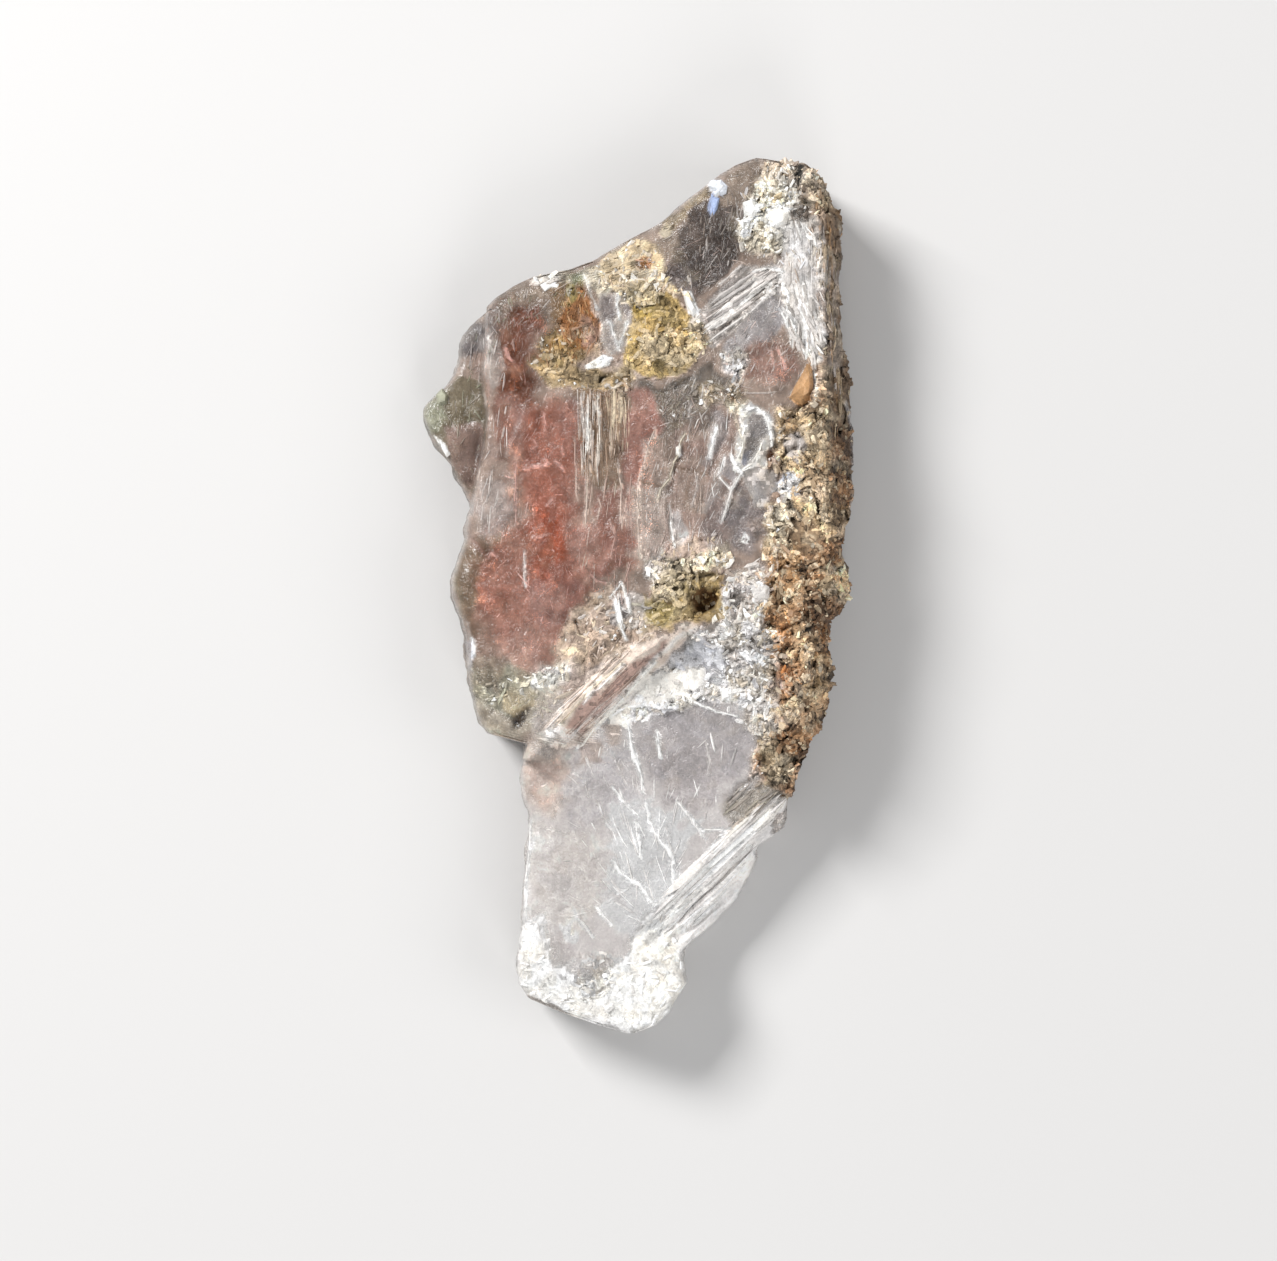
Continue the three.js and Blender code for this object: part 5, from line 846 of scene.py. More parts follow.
SHEAVES = [
    # fibres in the middle and the terraces beside them
    sheaf("warm_white bright_grey rib_cream fibre_tan", 46, 90, 2, 3.2, 0.09, [(-4.9, 16.4), (-2.9, 16.4),
          (-3.1, 9.4), (-3.8, 7.8), (-4.5, 9.4)]),
    sheaf("light_cream rib_cream cream_grey fibre_tan", 40, 90, 2, 2.6, 0.09, [(-2.6, 16.4), (-0.6, 16.4),
          (-0.8, 11.8), (-2.2, 11)]),
    sheaf("tan_dark fibre_tan umber", 30, 90, 2, 2.2, 0.08, [(-3.7, 16.4), (-0.5, 16.4), (-0.6, 12.6),
          (-1.4, 11), (-3.2, 9.4)]),
    sheaf("cream_grey dusty_pink rib_cream mauve_red", 44, 87, 6, 2.2, 0.07, [(-4.2, 10.2), (-0.6, 10.2),
          (0.2, 6.2), (-0.6, -0.2), (-3, -0.2), (-5, 3)]),
    sheaf("silver ash light_grey brown_grey", 60, 77, 8, 2, 0.06, [(1.6, 14.6), (7.8, 15.4), (7.4, 10.2),
          (6.4, 4.6), (2.4, 3.3), (0.2, 3.6), (-0.1, 7.8), (0.6, 11.8)]),
    sheaf("bright_grey silver white light_grey", 120, 78, 14, 0.8, 0.07, [(0.2, 10.2), (2.4, 15),
          (7.8, 15.4), (8, 10.2), (7, 4.6), (4.2, 3), (0.6, 3)]),
    sheaf("ash plum_grey olive_grey light_grey bright_grey", 110, 80, 50, 0.7, 0.1, [(1.4, 16.4), (7, 17.2),
          (7.2, 15.3), (5.2, 15.2), (3.7, 13.8), (1.8, 13.6)]),
    # the ribs and the fan near the tip
    sheaf("white bright_grey silver", 15, 33, 1.5, 5, 0.36, TIP_RIBS),
    sheaf("ash slate silver", 20, 33, 2, 3.6, 0.18, TIP_RIBS),
    sheaf("white bright_grey silver ash", 50, 112, 12, 2, 0.3, [(11.2, 24.6), (13, 25.1), (14.4, 23.8),
          (14.9, 20.6), (14.2, 18), (13, 19), (11.8, 21.4)]),
    sheaf("warm_white frost cream_grey ash", 50, 95, 24, 0.8, 0.12, TIP_CRUST),
    sheaf("white warm_white cream_grey tip_tan frost_grey", 24, 90, 50, 0.7, 0.3, TIP_CRUST),
    sheaf("plum_grey ash brown_grey silver", 60, 84, 14, 1, 0.1, [(5, 30.6), (7.2, 32.2), (8.3, 31.8),
          (8, 27), (6.2, 25), (4.2, 26.2)]),
    sheaf("clear_grey silver ash mauve_grey", 60, 70, 30, 1.2, 0.08, [(7.8, 22.6), (11.8, 24.6), (13, 18.2),
          (12.2, 15.8), (7.8, 16.6), (6.6, 19.8)]),
    sheaf("white silver ash tan_brown", 60, 101, 9, 1.7, 0.12, [(12, 29.6), (14.2, 30.6), (14.9, 26.2),
          (14.6, 20.2), (13.9, 18), (12.3, 21.4), (11.4, 25.2)]),
    sheaf("silver light_grey ash brown_grey stone_grey", 150, 60, 60, 0.9, 0.08, [(0.2, 27.8), (5, 32.6),
          (9.8, 36), (12.2, 34.4), (8.2, 32.4), (8, 26.8), (11.8, 24.4), (13, 18.2), (11, 12.6),
          (7.8, 15.8), (5, 16.2), (4.2, 17.4), (5.4, 21.4), (4.2, 24.6), (2.4, 26.8)]),
    sheaf("light_grey silver ash moss brown_grey", 90, 75, 30, 0.9, 0.09, [(-14.1, 19.8), (-11, 23.6),
          (-7.8, 25), (-5, 25.6), (-3, 24.6), (-6.2, 22.8), (-10.4, 21.4), (-12.5, 15.8), (-14.1, 15.8)]),
    # the wall down the right of the tip, and lumps down the ridge
    sheaf("tan_brown ash_light sand silver olive_tan", 150, 90, 4, 2, 0.2, [(14.2, 32.6), (15.3, 31.8),
          (15.8, 27), (15.9, 21.4), (16.3, 15.8), (16.2, 12.6), (15.7, 12.6), (15.2, 21.4), (13.9, 27.8)]),
    sheaf("sand light_cream clay_brown sand cream_grey", 110, 85, 50, 0.9, 0.42, [(11, 13.4), (13.9, 15.8),
          (15.9, 12.6), (16.2, 3), (15.7, -1.8), (14.7, -9.8), (13, -13.4), (10.6, -13), (10.2, -3.4),
          (10.6, 6.2)]),
    # the ribs on the step, and down the lower right edge
    sheaf("rib_cream rib_white rib_cream cream_grey", 18, 43.5, 1.6, 3.6, 0.26, [(-6.6, -10.4),
          (-4.6, -8.2), (-1.3, -5.3), (-0.6, -4.2), (-3, -5.6), (-6.2, -8.7), (-7.8, -11.1)]),
    sheaf("rib_cream pink_grey clay_brown mauve_grey", 34, 43.5, 1.5, 3.4, 0.1, [(-5.8, -11), (-3.8, -8.8),
          (-1.3, -6), (1, -4.7), (0.2, -6), (-2.7, -9.2), (-4.5, -11.2)]),
    sheaf("rib_white white warm_white rib_white", 80, 43, 1.4, 8, 0.44, EDGE_RIBS),
    sheaf("bright_grey rib_white", 10, 43, 2, 4.5, 0.08, EDGE_RIBS),
    sheaf("olive_grey ash brown_grey silver", 18, 42, 3, 2.4, 0.18, [(6.9, -16.7), (8.3, -15.1),
          (10.7, -14.8), (11.4, -15.8), (9, -17.6), (7.2, -18.4)]),
    # cracks and feathers in the clear crystal
    sheaf("white bright_grey", 34, 0, 10, 2.4, 0.11, [(-3, -15.4), (1, -13.8), (4.2, -16.2), (4.2, -21),
          (1.8, -25.8), (-1.4, -25.8), (-3.4, -21)], (1.4, -26.6)),
    sheaf("white bright_grey pale_milk", 44, 0, 24, 1.3, 0.1, [(-6.2, -13.8), (0.2, -10.6), (8.2, -10.6),
          (8.6, -14.6), (5, -19.4), (0.2, -24.2), (-3.8, -28.2), (-7, -24.2)], (1.4, -26.6)),
    sheaf("pink_glint salmon mauve_red", 110, 82, 40, 0.7, 0.06, [(-11, 15.8), (-5.4, 16.1), (-4.8, 7.8),
          (-5.4, -0.2), (-7.8, -5), (-11.8, -3.4), (-13, 1.4), (-10.2, 7.8)]),
    sheaf("silver bright_grey", 50, 82, 10, 1.2, 0.08, [(-14.1, 20.2), (-11, 23), (-10.2, 15.8),
          (-10.6, 6.2), (-12.8, 4.2), (-13.4, 7.8), (-12.6, 14.2)]),
    sheaf("silver pale_green green_grey", 40, 95, 20, 0.8, 0.1, [(-17.1, 14.8), (-15.4, 16.4),
          (-12.8, 17.4), (-12.5, 12.6), (-13.4, 8.6), (-15, 11.4)]),
    sheaf("mauve_grey mauve_red rose", 44, 84, 20, 0.8, 0.07, [(-11, 23), (-7.8, 23.8), (-7.2, 19.8),
          (-8.2, 16.2), (-10.6, 16.2)]),
    # ochre
    sheaf("rust_ochre orange_tan umber ochre", 110, 92, 20, 0.8, 0.14, [(-5.8, 24.4), (-3.8, 23.8),
          (-2.7, 21), (-3, 19.6), (-7.4, 18), (-7.8, 19.8), (-6.2, 22.2)]),
    # crusts of splinters and shards lying every way
    sheaf("white warm_white rib_white", 50, 35, 50, 0.8, 0.3, [(-9.4, -29), (-7.4, -28.8), (-3, -31.4),
          (0.2, -27.4), (2.2, -24.6), (4.2, -26.2), (4, -32.2), (1.8, -34.6), (-3, -34), (-9.4, -31.6)]),
    sheaf("white warm_white silver bright_grey", 80, 20, 55, 0.6, 0.1, [(-9.4, -27.4), (-6.2, -28.8),
          (-2.2, -31.4), (0.2, -27.4), (1.8, -24.6), (4.2, -25.8), (4, -32.2), (1.8, -34.6), (-3, -34),
          (-9.4, -31.6)]),
    sheaf("white bright_grey pale_milk frost_grey white", 36, 40, 45, 0.8, 0.34, [(0.2, -7.4), (4.2, -3.4),
          (8.6, -1), (10.4, -3.4), (10.6, -11), (8.6, -10.6), (6.6, -8.6), (0.2, -8.6)]),
    sheaf("white silver bright_grey ash_light", 80, 35, 50, 0.6, 0.1, [(0.8, -7.4), (5, -3.4), (9.8, -0.2),
          (10.4, -3.4), (10.6, -11), (8.6, -10.6), (6.6, -8.6), (2.6, -8.6)]),
    sheaf("light_cream rib_cream crumb_tan rib_white", 60, 42, 45, 0.6, 0.16, [(-6.2, -5.4), (-5, -1.8),
          (-2.2, 0.9), (0.2, -0.2), (1.4, -2.2), (0.2, -3.8), (-3, -6)]),
    sheaf("foot_green cream_grey olive_tan pale_green", 40, 60, 40, 0.6, 0.1, [(-12.6, -7.4), (-7.4, -6),
          (-5, -5), (-3.8, -6), (-6.2, -8.2), (-8.2, -11), (-11, -11), (-12.5, -9.4)]),
    sheaf("foot_green cream_grey pale_green", 12, 50, 40, 0.6, 0.2, [(-11, -7.4), (-7.4, -6), (-5, -5),
          (-3.8, -6), (-6.2, -8.2), (-8.2, -11), (-11, -11)]),
    sheaf("light_cream silver cream_tan crumb_tan", 44, 75, 35, 0.55, 0.16, [(1.4, 3), (4.2, 5), (7, 5.4),
          (7.2, 2), (4.2, 1.4), (1.4, 1.2)]),
    sheaf("white silver blue_grey ash", 50, 60, 45, 0.6, 0.12, PIT_SHARDS),
    sheaf("white bright_grey cream_grey white", 24, 60, 45, 0.7, 0.3, PIT_SHARDS),
    sheaf("cream_tan light_cream silver crumb_tan", 40, 80, 30, 0.6, 0.16, [(-3.5, 25), (0.2, 26.8),
          (2.4, 26.4), (4.2, 24.1), (1, 23.8), (-1.4, 24.1), (-3, 23.8)]),
]

CHIPS = [
    chip("orange_tan", 0.5, [(13.4, 18.5), (13.8, 18), (13.9, 16.8), (13.7, 15.6), (13, 15.2), (12, 15.8),
          (12.4, 16.7), (13, 17.7)]),
    # chips coloured as the painted glint at the tip and its painted blue reflection
    chip("frost", 0.35, [(5.6, 32.6), (6, 33), (6.6, 33.1), (7.1, 32.6), (7, 32), (6.6, 31.8),
          (6.1, 32.1)]),
    chip("ice_blue", 0.2, [(5.8, 31.9), (6.5, 31.7), (6.3, 30.8), (6, 30.3), (5.8, 31)]),
    chip("white", 0.12, [(-7.8, 24.8), (-7.1, 25.2), (-6.3, 25.3), (-6.2, 24.5), (-6.9, 24.6),
          (-7.4, 24.3)]),
    chip("warm_white", 0.16, [(3, 11.9), (3.4, 12), (3.4, 11.4), (3.3, 11.1), (3, 11.3)]),
    chip("bright_grey", 0.22, [(9, 0.8), (9.8, 1.2), (10.4, 0.8), (10.4, -0.2), (9.6, -0.5), (9, -0.3)]),
    chip("white", 0.25, [(6.6, -7.3), (7.3, -7.2), (7.4, -8), (6.7, -8.3)]),
    chip("pale_green", 0.3, [(-16.3, 16.4), (-15.8, 16.9), (-15.3, 16.4), (-15.4, 15.6), (-16.1, 15.5)]),
    chip("white", 0.2, [(-16, 12.8), (-15.5, 12.5), (-15.1, 11.6), (-15.4, 11.3), (-15.8, 12)]),
    chip("white", 0.3, [(-1.9, -0.5), (-1.5, -0.2), (-1.3, -1.2), (-1, -2.4), (-1.3, -2.8), (-1.7, -1.8)]),
    chip("light_cream", 0.3, [(3.5, 24), (4, 24.3), (4.4, 23.5), (4.2, 23.2)]),
    chip("white", 0.35, [(3.5, 24.3), (4, 24.1), (4.7, 22.8), (4.4, 22.2), (3.9, 22.8)]),
    chip("white", 0.3, [(8.3, 31.3), (9.1, 31.6), (9.6, 30.8), (9.1, 30), (8.4, 30.4)]),
    chip("warm_white", 0.35, [(10.4, 30.7), (11.4, 30.9), (12, 30.5), (11.8, 29.6), (10.9, 29.2),
          (10.3, 29.8)]),
]


# ------------------------------------------------------------------ noise
def smooth(low, high, value):
    """From 0 to 1 as value goes from low to high, level at both ends."""
    t = np.clip((value - low) / (high - low), 0, 1)
    return t * t * (3 - 2 * t)


def mix(a, b, t):
    return a + (b - a) * t


def blended(a, b, share):
    """Colours a turned towards b, each by its own share from 0 to 1."""
    return mix(a, b, share[:, None])


def lattice(i, j, seed):
    """A repeatable number from 0 to 1 for each whole-number place, scrambled by large odd factors."""
    h = (i.astype(np.int64) * 374761393 + j.astype(np.int64) * 668265263 + seed * 974634777) & 0xFFFFFFFF
    h = ((h ^ (h >> 13)) * 1274126177) & 0xFFFFFFFF
    return ((h ^ (h >> 16)) & 0xFFFF) / 65535.0


def ripple(x, y, size, seed):
    """Smooth noise from -1 to 1, with lumps about size across."""
    u, v = x / size, y / size
    i, j = np.floor(u), np.floor(v)
    f, g = ((t * t * t * (t * (t * 6 - 15) + 10)) for t in (u - i, v - j))
    low = mix(lattice(i, j, seed), lattice(i + 1, j, seed), f)
    high = mix(lattice(i, j + 1, seed), lattice(i + 1, j + 1, seed), f)
    return 2 * mix(low, high, g) - 1


def layered(x, y, size, seed, layers=3):
    """Ripples of this size, with finer ones on them, each half as large and half as strong as the last."""
    return sum(0.5**k * ripple(x, y, size / 2**k, seed + 7 * k) for k in range(layers))


def wandering(x, y, amount, size, seeds, layers=3):
    """The points moved about by noise of this size, each way by about this amount at most."""
    return tuple(v + amount * layered(x, y, size, seed, layers) for v, seed in zip((x, y), seeds))


def grains(x, y, size, seed):
    """Scattered grains about size across: how far each point is in from the gap round its grain, from 0 to 1,
    a random number of that grain's own, and its slope in a random direction."""
    u, v = x / size, y / size
    i, j = np.floor(u), np.floor(v)
    nearest = np.full(len(x), FAR)
    second = np.full(len(x), FAR)
    own = np.zeros(len(x))
    lean = np.zeros(len(x))
    for di in (-1, 0, 1):
        for dj in (-1, 0, 1):
            a, b = i + di, j + dj
            du = u - a - lattice(a, b, seed)
            dv = v - b - lattice(a, b, seed + 1)
            d = np.hypot(du, dv)
            closer = d < nearest
            second = np.where(closer, nearest, np.minimum(second, d))
            own = np.where(closer, lattice(a, b, seed + 2), own)
            slope = du * (lattice(a, b, seed + 3) - 0.5) + dv * (lattice(a, b, seed + 4) - 0.5)
            lean = np.where(closer, slope, lean)
            nearest = np.minimum(nearest, d)
    return smooth(0, 0.45, second - nearest), own, lean


class Facets:
    """Broken, tilted faces about size across: height, and a number of each face's own."""

    def __init__(self, x, y, size, seed):
        x, y = wandering(x, y, 0.4 * size, 1.5 * size, (seed, seed + 3), 2)
        inside, self.own, lean = grains(x, y, size, seed + 5)
        self.height = 0.35 * inside + 0.5 * self.own + 2.6 * lean - 0.4


def winding(x, y, size, seed):
    """Two warped noises, about size and half of it across, whose zero lines wind like wrinkles."""
    x, y = wandering(x, y, 0.7 * size, 1.7 * size, (seed, seed + 3), 2)
    return ripple(x, y, size, seed + 6), ripple(x, y, 0.5 * size, seed + 7)


class Crinkle:
    """Sharp winding crests about size apart with small pits between them: crest and pit from 0 to 1."""

    def __init__(self, x, y, size, seed):
        coarse, fine = winding(x, y, size, seed)
        self.crest = 0.6 * (1 - np.abs(coarse)) ** 3 + 0.4 * (1 - np.abs(fine)) ** 3
        self.pit = smooth(0.45, 0.85, coarse) * smooth(-0.5, 0.5, fine)
        self.height = self.crest - 0.8 * self.pit - 0.25


def fibres(x, y, angle, width, length, seed):
    """Noise drawn out along an angle."""
    c, s = math.cos(angle), math.sin(angle)
    along, across = x * c + y * s, y * c - x * s
    bend = 0.3 * ripple(x, y, 5, seed + 1)
    return layered(along / length, (across + bend) / width, 1, seed, 2)


def crests(x, y, angle, width, length, seed):
    """Sharp ridges drawn out along an angle, from 0 to 1."""
    return (1 - np.abs(fibres(x, y, angle, width, length, seed))) ** 2


# ------------------------------------------------------------------ lines and edges
def stretches(line, closed=False):
    """The two ends of each stretch of a line of points."""
    return list(zip(line, line[1:] + line[:1])) if closed else list(zip(line, line[1:]))


def distance_to(x, y, line, closed=False):
    """Distance to a line of points, and how far along it the nearest point is, from 0 to 1."""
    best = np.full(len(x), np.inf)
    along = np.zeros(len(x))
    parts = stretches(line, closed)
    for k, ((ax, ay), (bx, by)) in enumerate(parts):
        dx, dy = bx - ax, by - ay
        t = np.clip(((x - ax) * dx + (y - ay) * dy) / (dx * dx + dy * dy), 0, 1)
        d = np.hypot(x - ax - t * dx, y - ay - t * dy)
        along = np.where(d < best, (k + t) / len(parts), along)
        best = np.minimum(best, d)
    return best, along


def inward(x, y, outline):
    """Distance in from the edge of an outline, negative outside it."""
    within = np.zeros(len(x), bool)
    for (ax, ay), (bx, by) in stretches(outline, closed=True):
        if ay != by:
            within ^= ((ay > y) != (by > y)) & (x < (bx - ax) * (y - ay) / (by - ay) + ax)
    return np.where(within, 1, -1) * distance_to(x, y, outline, closed=True)[0]


def above(x, y, line):
    """Distance from a line of points that runs along X, positive on its +Y side."""
    xs, ys = zip(*line)
    return np.sign(y - np.interp(x, xs, ys)) * distance_to(x, y, line)[0]


def right_of(x, y, line):
    """Distance from a line of points that runs down Y, positive on its +X side."""
    xs, ys = zip(*line[::-1])
    return np.sign(x - np.interp(y, ys, xs)) * distance_to(x, y, line)[0]


def rounded(edge, radius):
    """How far an edge rounded to radius has dropped, at a distance in from the side."""
    t = np.clip(edge, 0, radius)
    return radius - np.sqrt(np.maximum(radius**2 - (radius - t) ** 2, 0))


def averaged(grid, reach):
    """Each value of a grid averaged with those up to reach rows and columns away."""
    padded = np.pad(grid, reach, mode="edge")
    wide = 2 * reach + 1
    for axis in (0, 1):
        total = np.insert(np.cumsum(padded, axis), 0, 0, axis)
        ends = np.arange(wide, total.shape[axis])
        padded = (np.take(total, ends, axis) - np.take(total, ends - wide, axis)) / wide
    return padded


def hollow_shade(z, crumb, rows, front_columns, reach):
    """Under 1 in hollows and over 1 on crests of the shown face of a loft: painted shade in the hollows and a
    painted highlight on the crests.
    """
    grid = z.reshape(rows, -1)
    shade = np.ones(grid.shape)
    face = grid[:, :front_columns]
    shade[:, :front_columns] = np.interp(face - averaged(face, reach), *HOLLOW_SHADES)
    return mix(1, shade.ravel(), 0.3 + 0.7 * crumb)[:, None]


# ------------------------------------------------------------------ the painted skin
class Skin:
    """Colour, relief and texture channels at points of the shown face."""

    def __init__(self, x, y):
        self.x, self.y = x, y
        self.colour, clay = bare_ground(x, y)
        self.lift = np.zeros(len(x))
        for name in QUIET:
            setattr(self, name, np.zeros(len(x)))
        self.crumb, self.crust = 0.85 * clay, clay.copy()
        self.facets = Facets(x, y, FACET, 31)
        self.crinkle = Crinkle(x, y, CRINKLE, WRINKLE_SEED)
        self.swell = layered(x, y, 1.8, 36)
        for area in PATCHES:
            self.lay(area)
        for line in STROKES:
            self.draw(line)

    def channels(self):
        """Its channels by name, as paint wants them."""
        return {name: getattr(self, name) for name in QUIET}

    def near(self, line, margin):
        """Which points are no more than margin outside the box round a line."""
        xs, ys = zip(*line)
        return np.nonzero((self.x > min(xs) - margin) & (self.x < max(xs) + margin)
                          & (self.y > min(ys) - margin) & (self.y < max(ys) + margin))[0]

    def lay(self, area):
        soft = area["soft"]
        at = self.near(area["line"], soft + RAGGED)
        if not len(at):
            return
        ragged = min(RAGGED, 0.15 + 0.6 * soft)
        x, y = wandering(self.x[at], self.y[at], ragged, 1.7, (11, 12), 4)
        share = smooth(-soft / 2, soft / 2, inward(x, y, area["line"])) * area["amount"]
        self.tint(at, area["colour"], share)
        self.lift[at] += share * area["lift"]
        for name, value in area["channels"].items():
            channel = getattr(self, name)
            channel[at] = mix(channel[at], value, share)

    def draw(self, line):
        at = self.near(line["line"], 3 * line["width"] + 0.2)
        if not len(at):
            return
        x, y = self.x[at], self.y[at]
        d, along = distance_to(*wandering(x, y, 0.08, 0.8, (21, 22)), line["line"])
        half = np.maximum(line["width"] * 0.55 * (0.45 + 0.55 * np.sin(np.pi * along)), FINEST)
        share = np.exp(-((d / half) ** 2)) * (0.75 + 0.25 * ripple(x, y, 0.5, 23))
        self.tint(at, line["colour"], share * line["amount"])
        self.lift[at] += share * line["lift"]
        if line["lift"] > 0:
            self.crust[at] = np.maximum(self.crust[at], share * line["amount"])

    def tint(self, at, colour, share):
        self.colour[at] = blended(self.colour[at], linear(colour), share)

    def blend(self, colour, share):
        self.colour = blended(self.colour, colour, share)

    def crumble(self):
        """Relief of crumbly clay and sugary crust."""
        return 0.28 * self.facets.height + 0.3 * self.crinkle.height + 0.2 * self.swell

    def weather_and_shade(self, edge=FAR):
        """Many shades, with crests painted pale as highlight and pits painted dark as shade in the crumbly
        ground, clouds and feathers in the clear ground, and a pale rim painted as a highlight along the
        sides, by the distance in from them."""
        x, y, crumb = self.x, self.y, self.crumb
        shade = np.interp(self.facets.own, *FACET_SHADES)
        # painted highlight on the crests and painted shade in the pits
        shade *= 0.6 + 1.3 * self.crinkle.crest - 0.55 * self.crinkle.pit
        shade *= 1 + 0.35 * layered(x, y, 2.2, 135)
        blotch = layered(x, y, 1.5, 136)
        self.blend(linear("light_cream"), 0.5 * smooth(0.3, 0.8, blotch) * crumb)
        self.blend(self.colour * GRIME, 0.55 * smooth(-0.35, -0.85, blotch) * crumb)
        cloud = 0.18 * layered(x, y, 1.4, 131) + 0.22 * layered(x, 0.7 * y, 0.5, 132)
        cloud = 1 + cloud * smooth(-7, 3, above(x, y, STEP_LINE)) + 0.06 * layered(x, y, 2.5, 139)
        feather = 1 + 0.24 * self.haze * fibres(x, y, 1.45, 0.35, 3, 133)
        feather += 0.22 * self.upright * fibres(x, y, math.pi / 2, 0.3, 3, 140)
        self.colour *= mix(cloud * feather, shade, np.minimum(crumb * 1.1, 1))[:, None]
        veiled = smooth(0.1, 0.8, layered(x, 0.6 * y, 1.6, 137, 4))
        self.blend(linear("veil"), self.haze * (0.3 * veiled + 0.12))
        dusky = smooth(-0.2, -0.8, layered(x, 0.6 * y, 1.1, 138, 4))
        self.blend(self.colour * DUSK, self.haze * 0.3 * dusky)
        self.colour *= 1 + np.outer((self.facets.own * 7 % 1 - 0.5) * crumb, WARMTH)
        # a painted highlight along the sides
        rim = 0.45 * np.exp(-((edge / 0.3) ** 2)) * (0.7 + 0.6 * ripple(x, y, 1.2, 134))
        self.blend(linear("bright_grey"), np.clip(rim, 0, 1))
        self.colour = np.clip(self.colour, 0, BRIGHTEST)


# ------------------------------------------------------------------ heights of the shown face and the back
def blade_height(skin, edge=FAR):
    """The blade's shown face, rounded off by the distance in from its edge."""
    x, y = skin.x, skin.y
    upper = UPPER_FACE + FACE_TILT[0] * x + FACE_TILT[1] * y
    upper = upper + 0.2 * layered(x, y, 7, 41) + 0.05 * layered(x, y, 1.6, 42)
    lower = LOWER_FACE + 0.12 * layered(x, y, 6, 43) + 0.05 * layered(x, y, 1.4, 44)
    for at, top in EDGE_STEPS:
        out = (x - y) * math.sqrt(0.5) + 0.15 * ripple(x, y, 1.5, 45)
        share = smooth(at - 0.5, at + 0.5, out) * smooth(EDGE_STEPS_END - 1.0, EDGE_STEPS_END + 2.5, y)
        lower = mix(lower, np.minimum(lower, top + 0.06 * ripple(x, y, 1, 46)), share)
    reach = mix(*STEP_REACH, smooth(2, 8, x))
    z = mix(lower, upper, smooth(-reach / 2, reach / 2, above(x, y, STEP_LINE)))
    shelf = SHELF_FACE + 0.3 * layered(x, y, 3, 47)
    beside_shelf = smooth(-SHELF_EDGE, SHELF_EDGE, right_of(x, y, SHELF_LINE))
    on_blade = np.maximum(beside_shelf, smooth(*SHELF_END[::-1], y))
    z = mix(shelf, z, on_blade)
    z = z - rounded(edge, mix(*RIM_RADIUS, on_blade * smooth(-14, -10, y)))
    z = z + skin.lift + skin.crumb * skin.crumble()
    z = z + skin.upright * (0.2 * crests(x, y, math.pi / 2 - 0.06, 0.9, 5, 51)
                            + 0.06 * fibres(x, y, math.pi / 2, 0.35, 3, 52) - 0.1)
    return z + skin.slant * (0.22 * crests(x, y, RIB_ANGLE, 0.8, 6, 53)
                             + 0.06 * fibres(x, y, RIB_ANGLE, 0.3, 4, 54) - 0.1)


def blade_back(x, y, edge):
    """The blade's underside: nearly flat, with the missing ledges, the shelf's back and a rounded edge."""
    z = 0.012 * (1 + layered(x, y, 2, 61))
    for depth, outline in BACK_LEDGES:
        ragged = inward(*wandering(x, y, 0.4, 2, (62, 63), 1), outline)
        z = np.maximum(z, depth * smooth(-0.1, 0.1, ragged) + 0.03 * layered(x, y, 1.2, 64))
    on_shelf = smooth(SHELF_EDGE, -SHELF_EDGE, right_of(x, y, SHELF_LINE)) * smooth(*SHELF_END, y)
    z = mix(z, SHELF_BACK + 0.15 * layered(x, y, 1.5, 65), on_shelf)
    rough = (edge < BACK_RADIUS) * 0.1 * np.abs(layered(x, y, 0.9, 66))
    return np.maximum(z, 0.005) + rounded(edge, BACK_RADIUS) + rough


def ridge_height(skin, left):
    """The sandy ridge: up from the blade to its crest, and down its outer side."""
    x, y = skin.x, skin.y
    crest_xs, crest_ys = zip(*RIDGE_CREST[::-1])
    crest_x = np.interp(y, crest_ys, crest_xs)
    crest = CREST - CREST_DROP * smooth(2, 17, -y)
    past = np.maximum(x - crest_x, 0)
    outer = 1.15 * past + 0.25 * past**2
    inner = 1.5 * smooth(0, 1, (crest_x - x) / np.maximum(crest_x - left, 0.5))
    boulders = Facets(x, y, 2.1, 71).height
    rough = 0.45 + 0.55 * skin.crumb
    relief = 0.4 * layered(x, y, 3.5, 76) + rough * (0.8 * boulders + 1.5 * skin.crumble())
    height = crest - outer - inner + relief + skin.lift
    ceiling, bend = TOP - 0.2, 0.3
    return ceiling - bend * np.logaddexp(0, (ceiling - height) / bend)


# ------------------------------------------------------------------ outlines taken from the frame
def corners_of(box):
    """The low and high corners of a box of the frame, in millimetres."""
    return [np.array(corner[:]) / MM for corner in box]


def row_extents(names, ys):
    """The lowest and highest x of CAD nodes at each y."""
    low = np.full(len(ys), np.inf)
    high = np.full(len(ys), -np.inf)
    for name in names:
        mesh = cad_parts[name].data
        points = np.array([v.co for v in mesh.vertices]) / MM
        ends = points[np.array([e.vertices[:] for e in mesh.edges])]
        (ax, ay), (bx, by) = ends[:, 0, :2].T, ends[:, 1, :2].T
        for k, y in enumerate(ys):
            on = (np.minimum(ay, by) <= y) & (np.maximum(ay, by) >= y) & (ay != by)
            if on.any():
                x = ax[on] + (bx[on] - ax[on]) * (y - ay[on]) / (by[on] - ay[on])
                low[k] = min(low[k], x.min())
                high[k] = max(high[k], x.max())
    return low, high


def span(names):
    """The lowest and highest y of CAD nodes."""
    boxes = [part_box(n) for n in names]
    return min(b[0].y for b in boxes) / MM, max(b[1].y for b in boxes) / MM


def rows_of(names, step):
    """The y of every ring over CAD nodes, from the tip down."""
    low, high = span(names)
    return np.arange(high - CLEARANCE, low + CLEARANCE, -step)


def edge_distance(x, y, line_x, line_y):
    """Distance of each point from the nearest of others."""
    tree = KDTree(len(line_x))
    for k, p in enumerate(zip(line_x, line_y)):
        tree.insert((p[0], p[1], 0), k)
    tree.balance()
    return np.array([tree.find((a, b, 0))[2] for a, b in zip(x, y)])


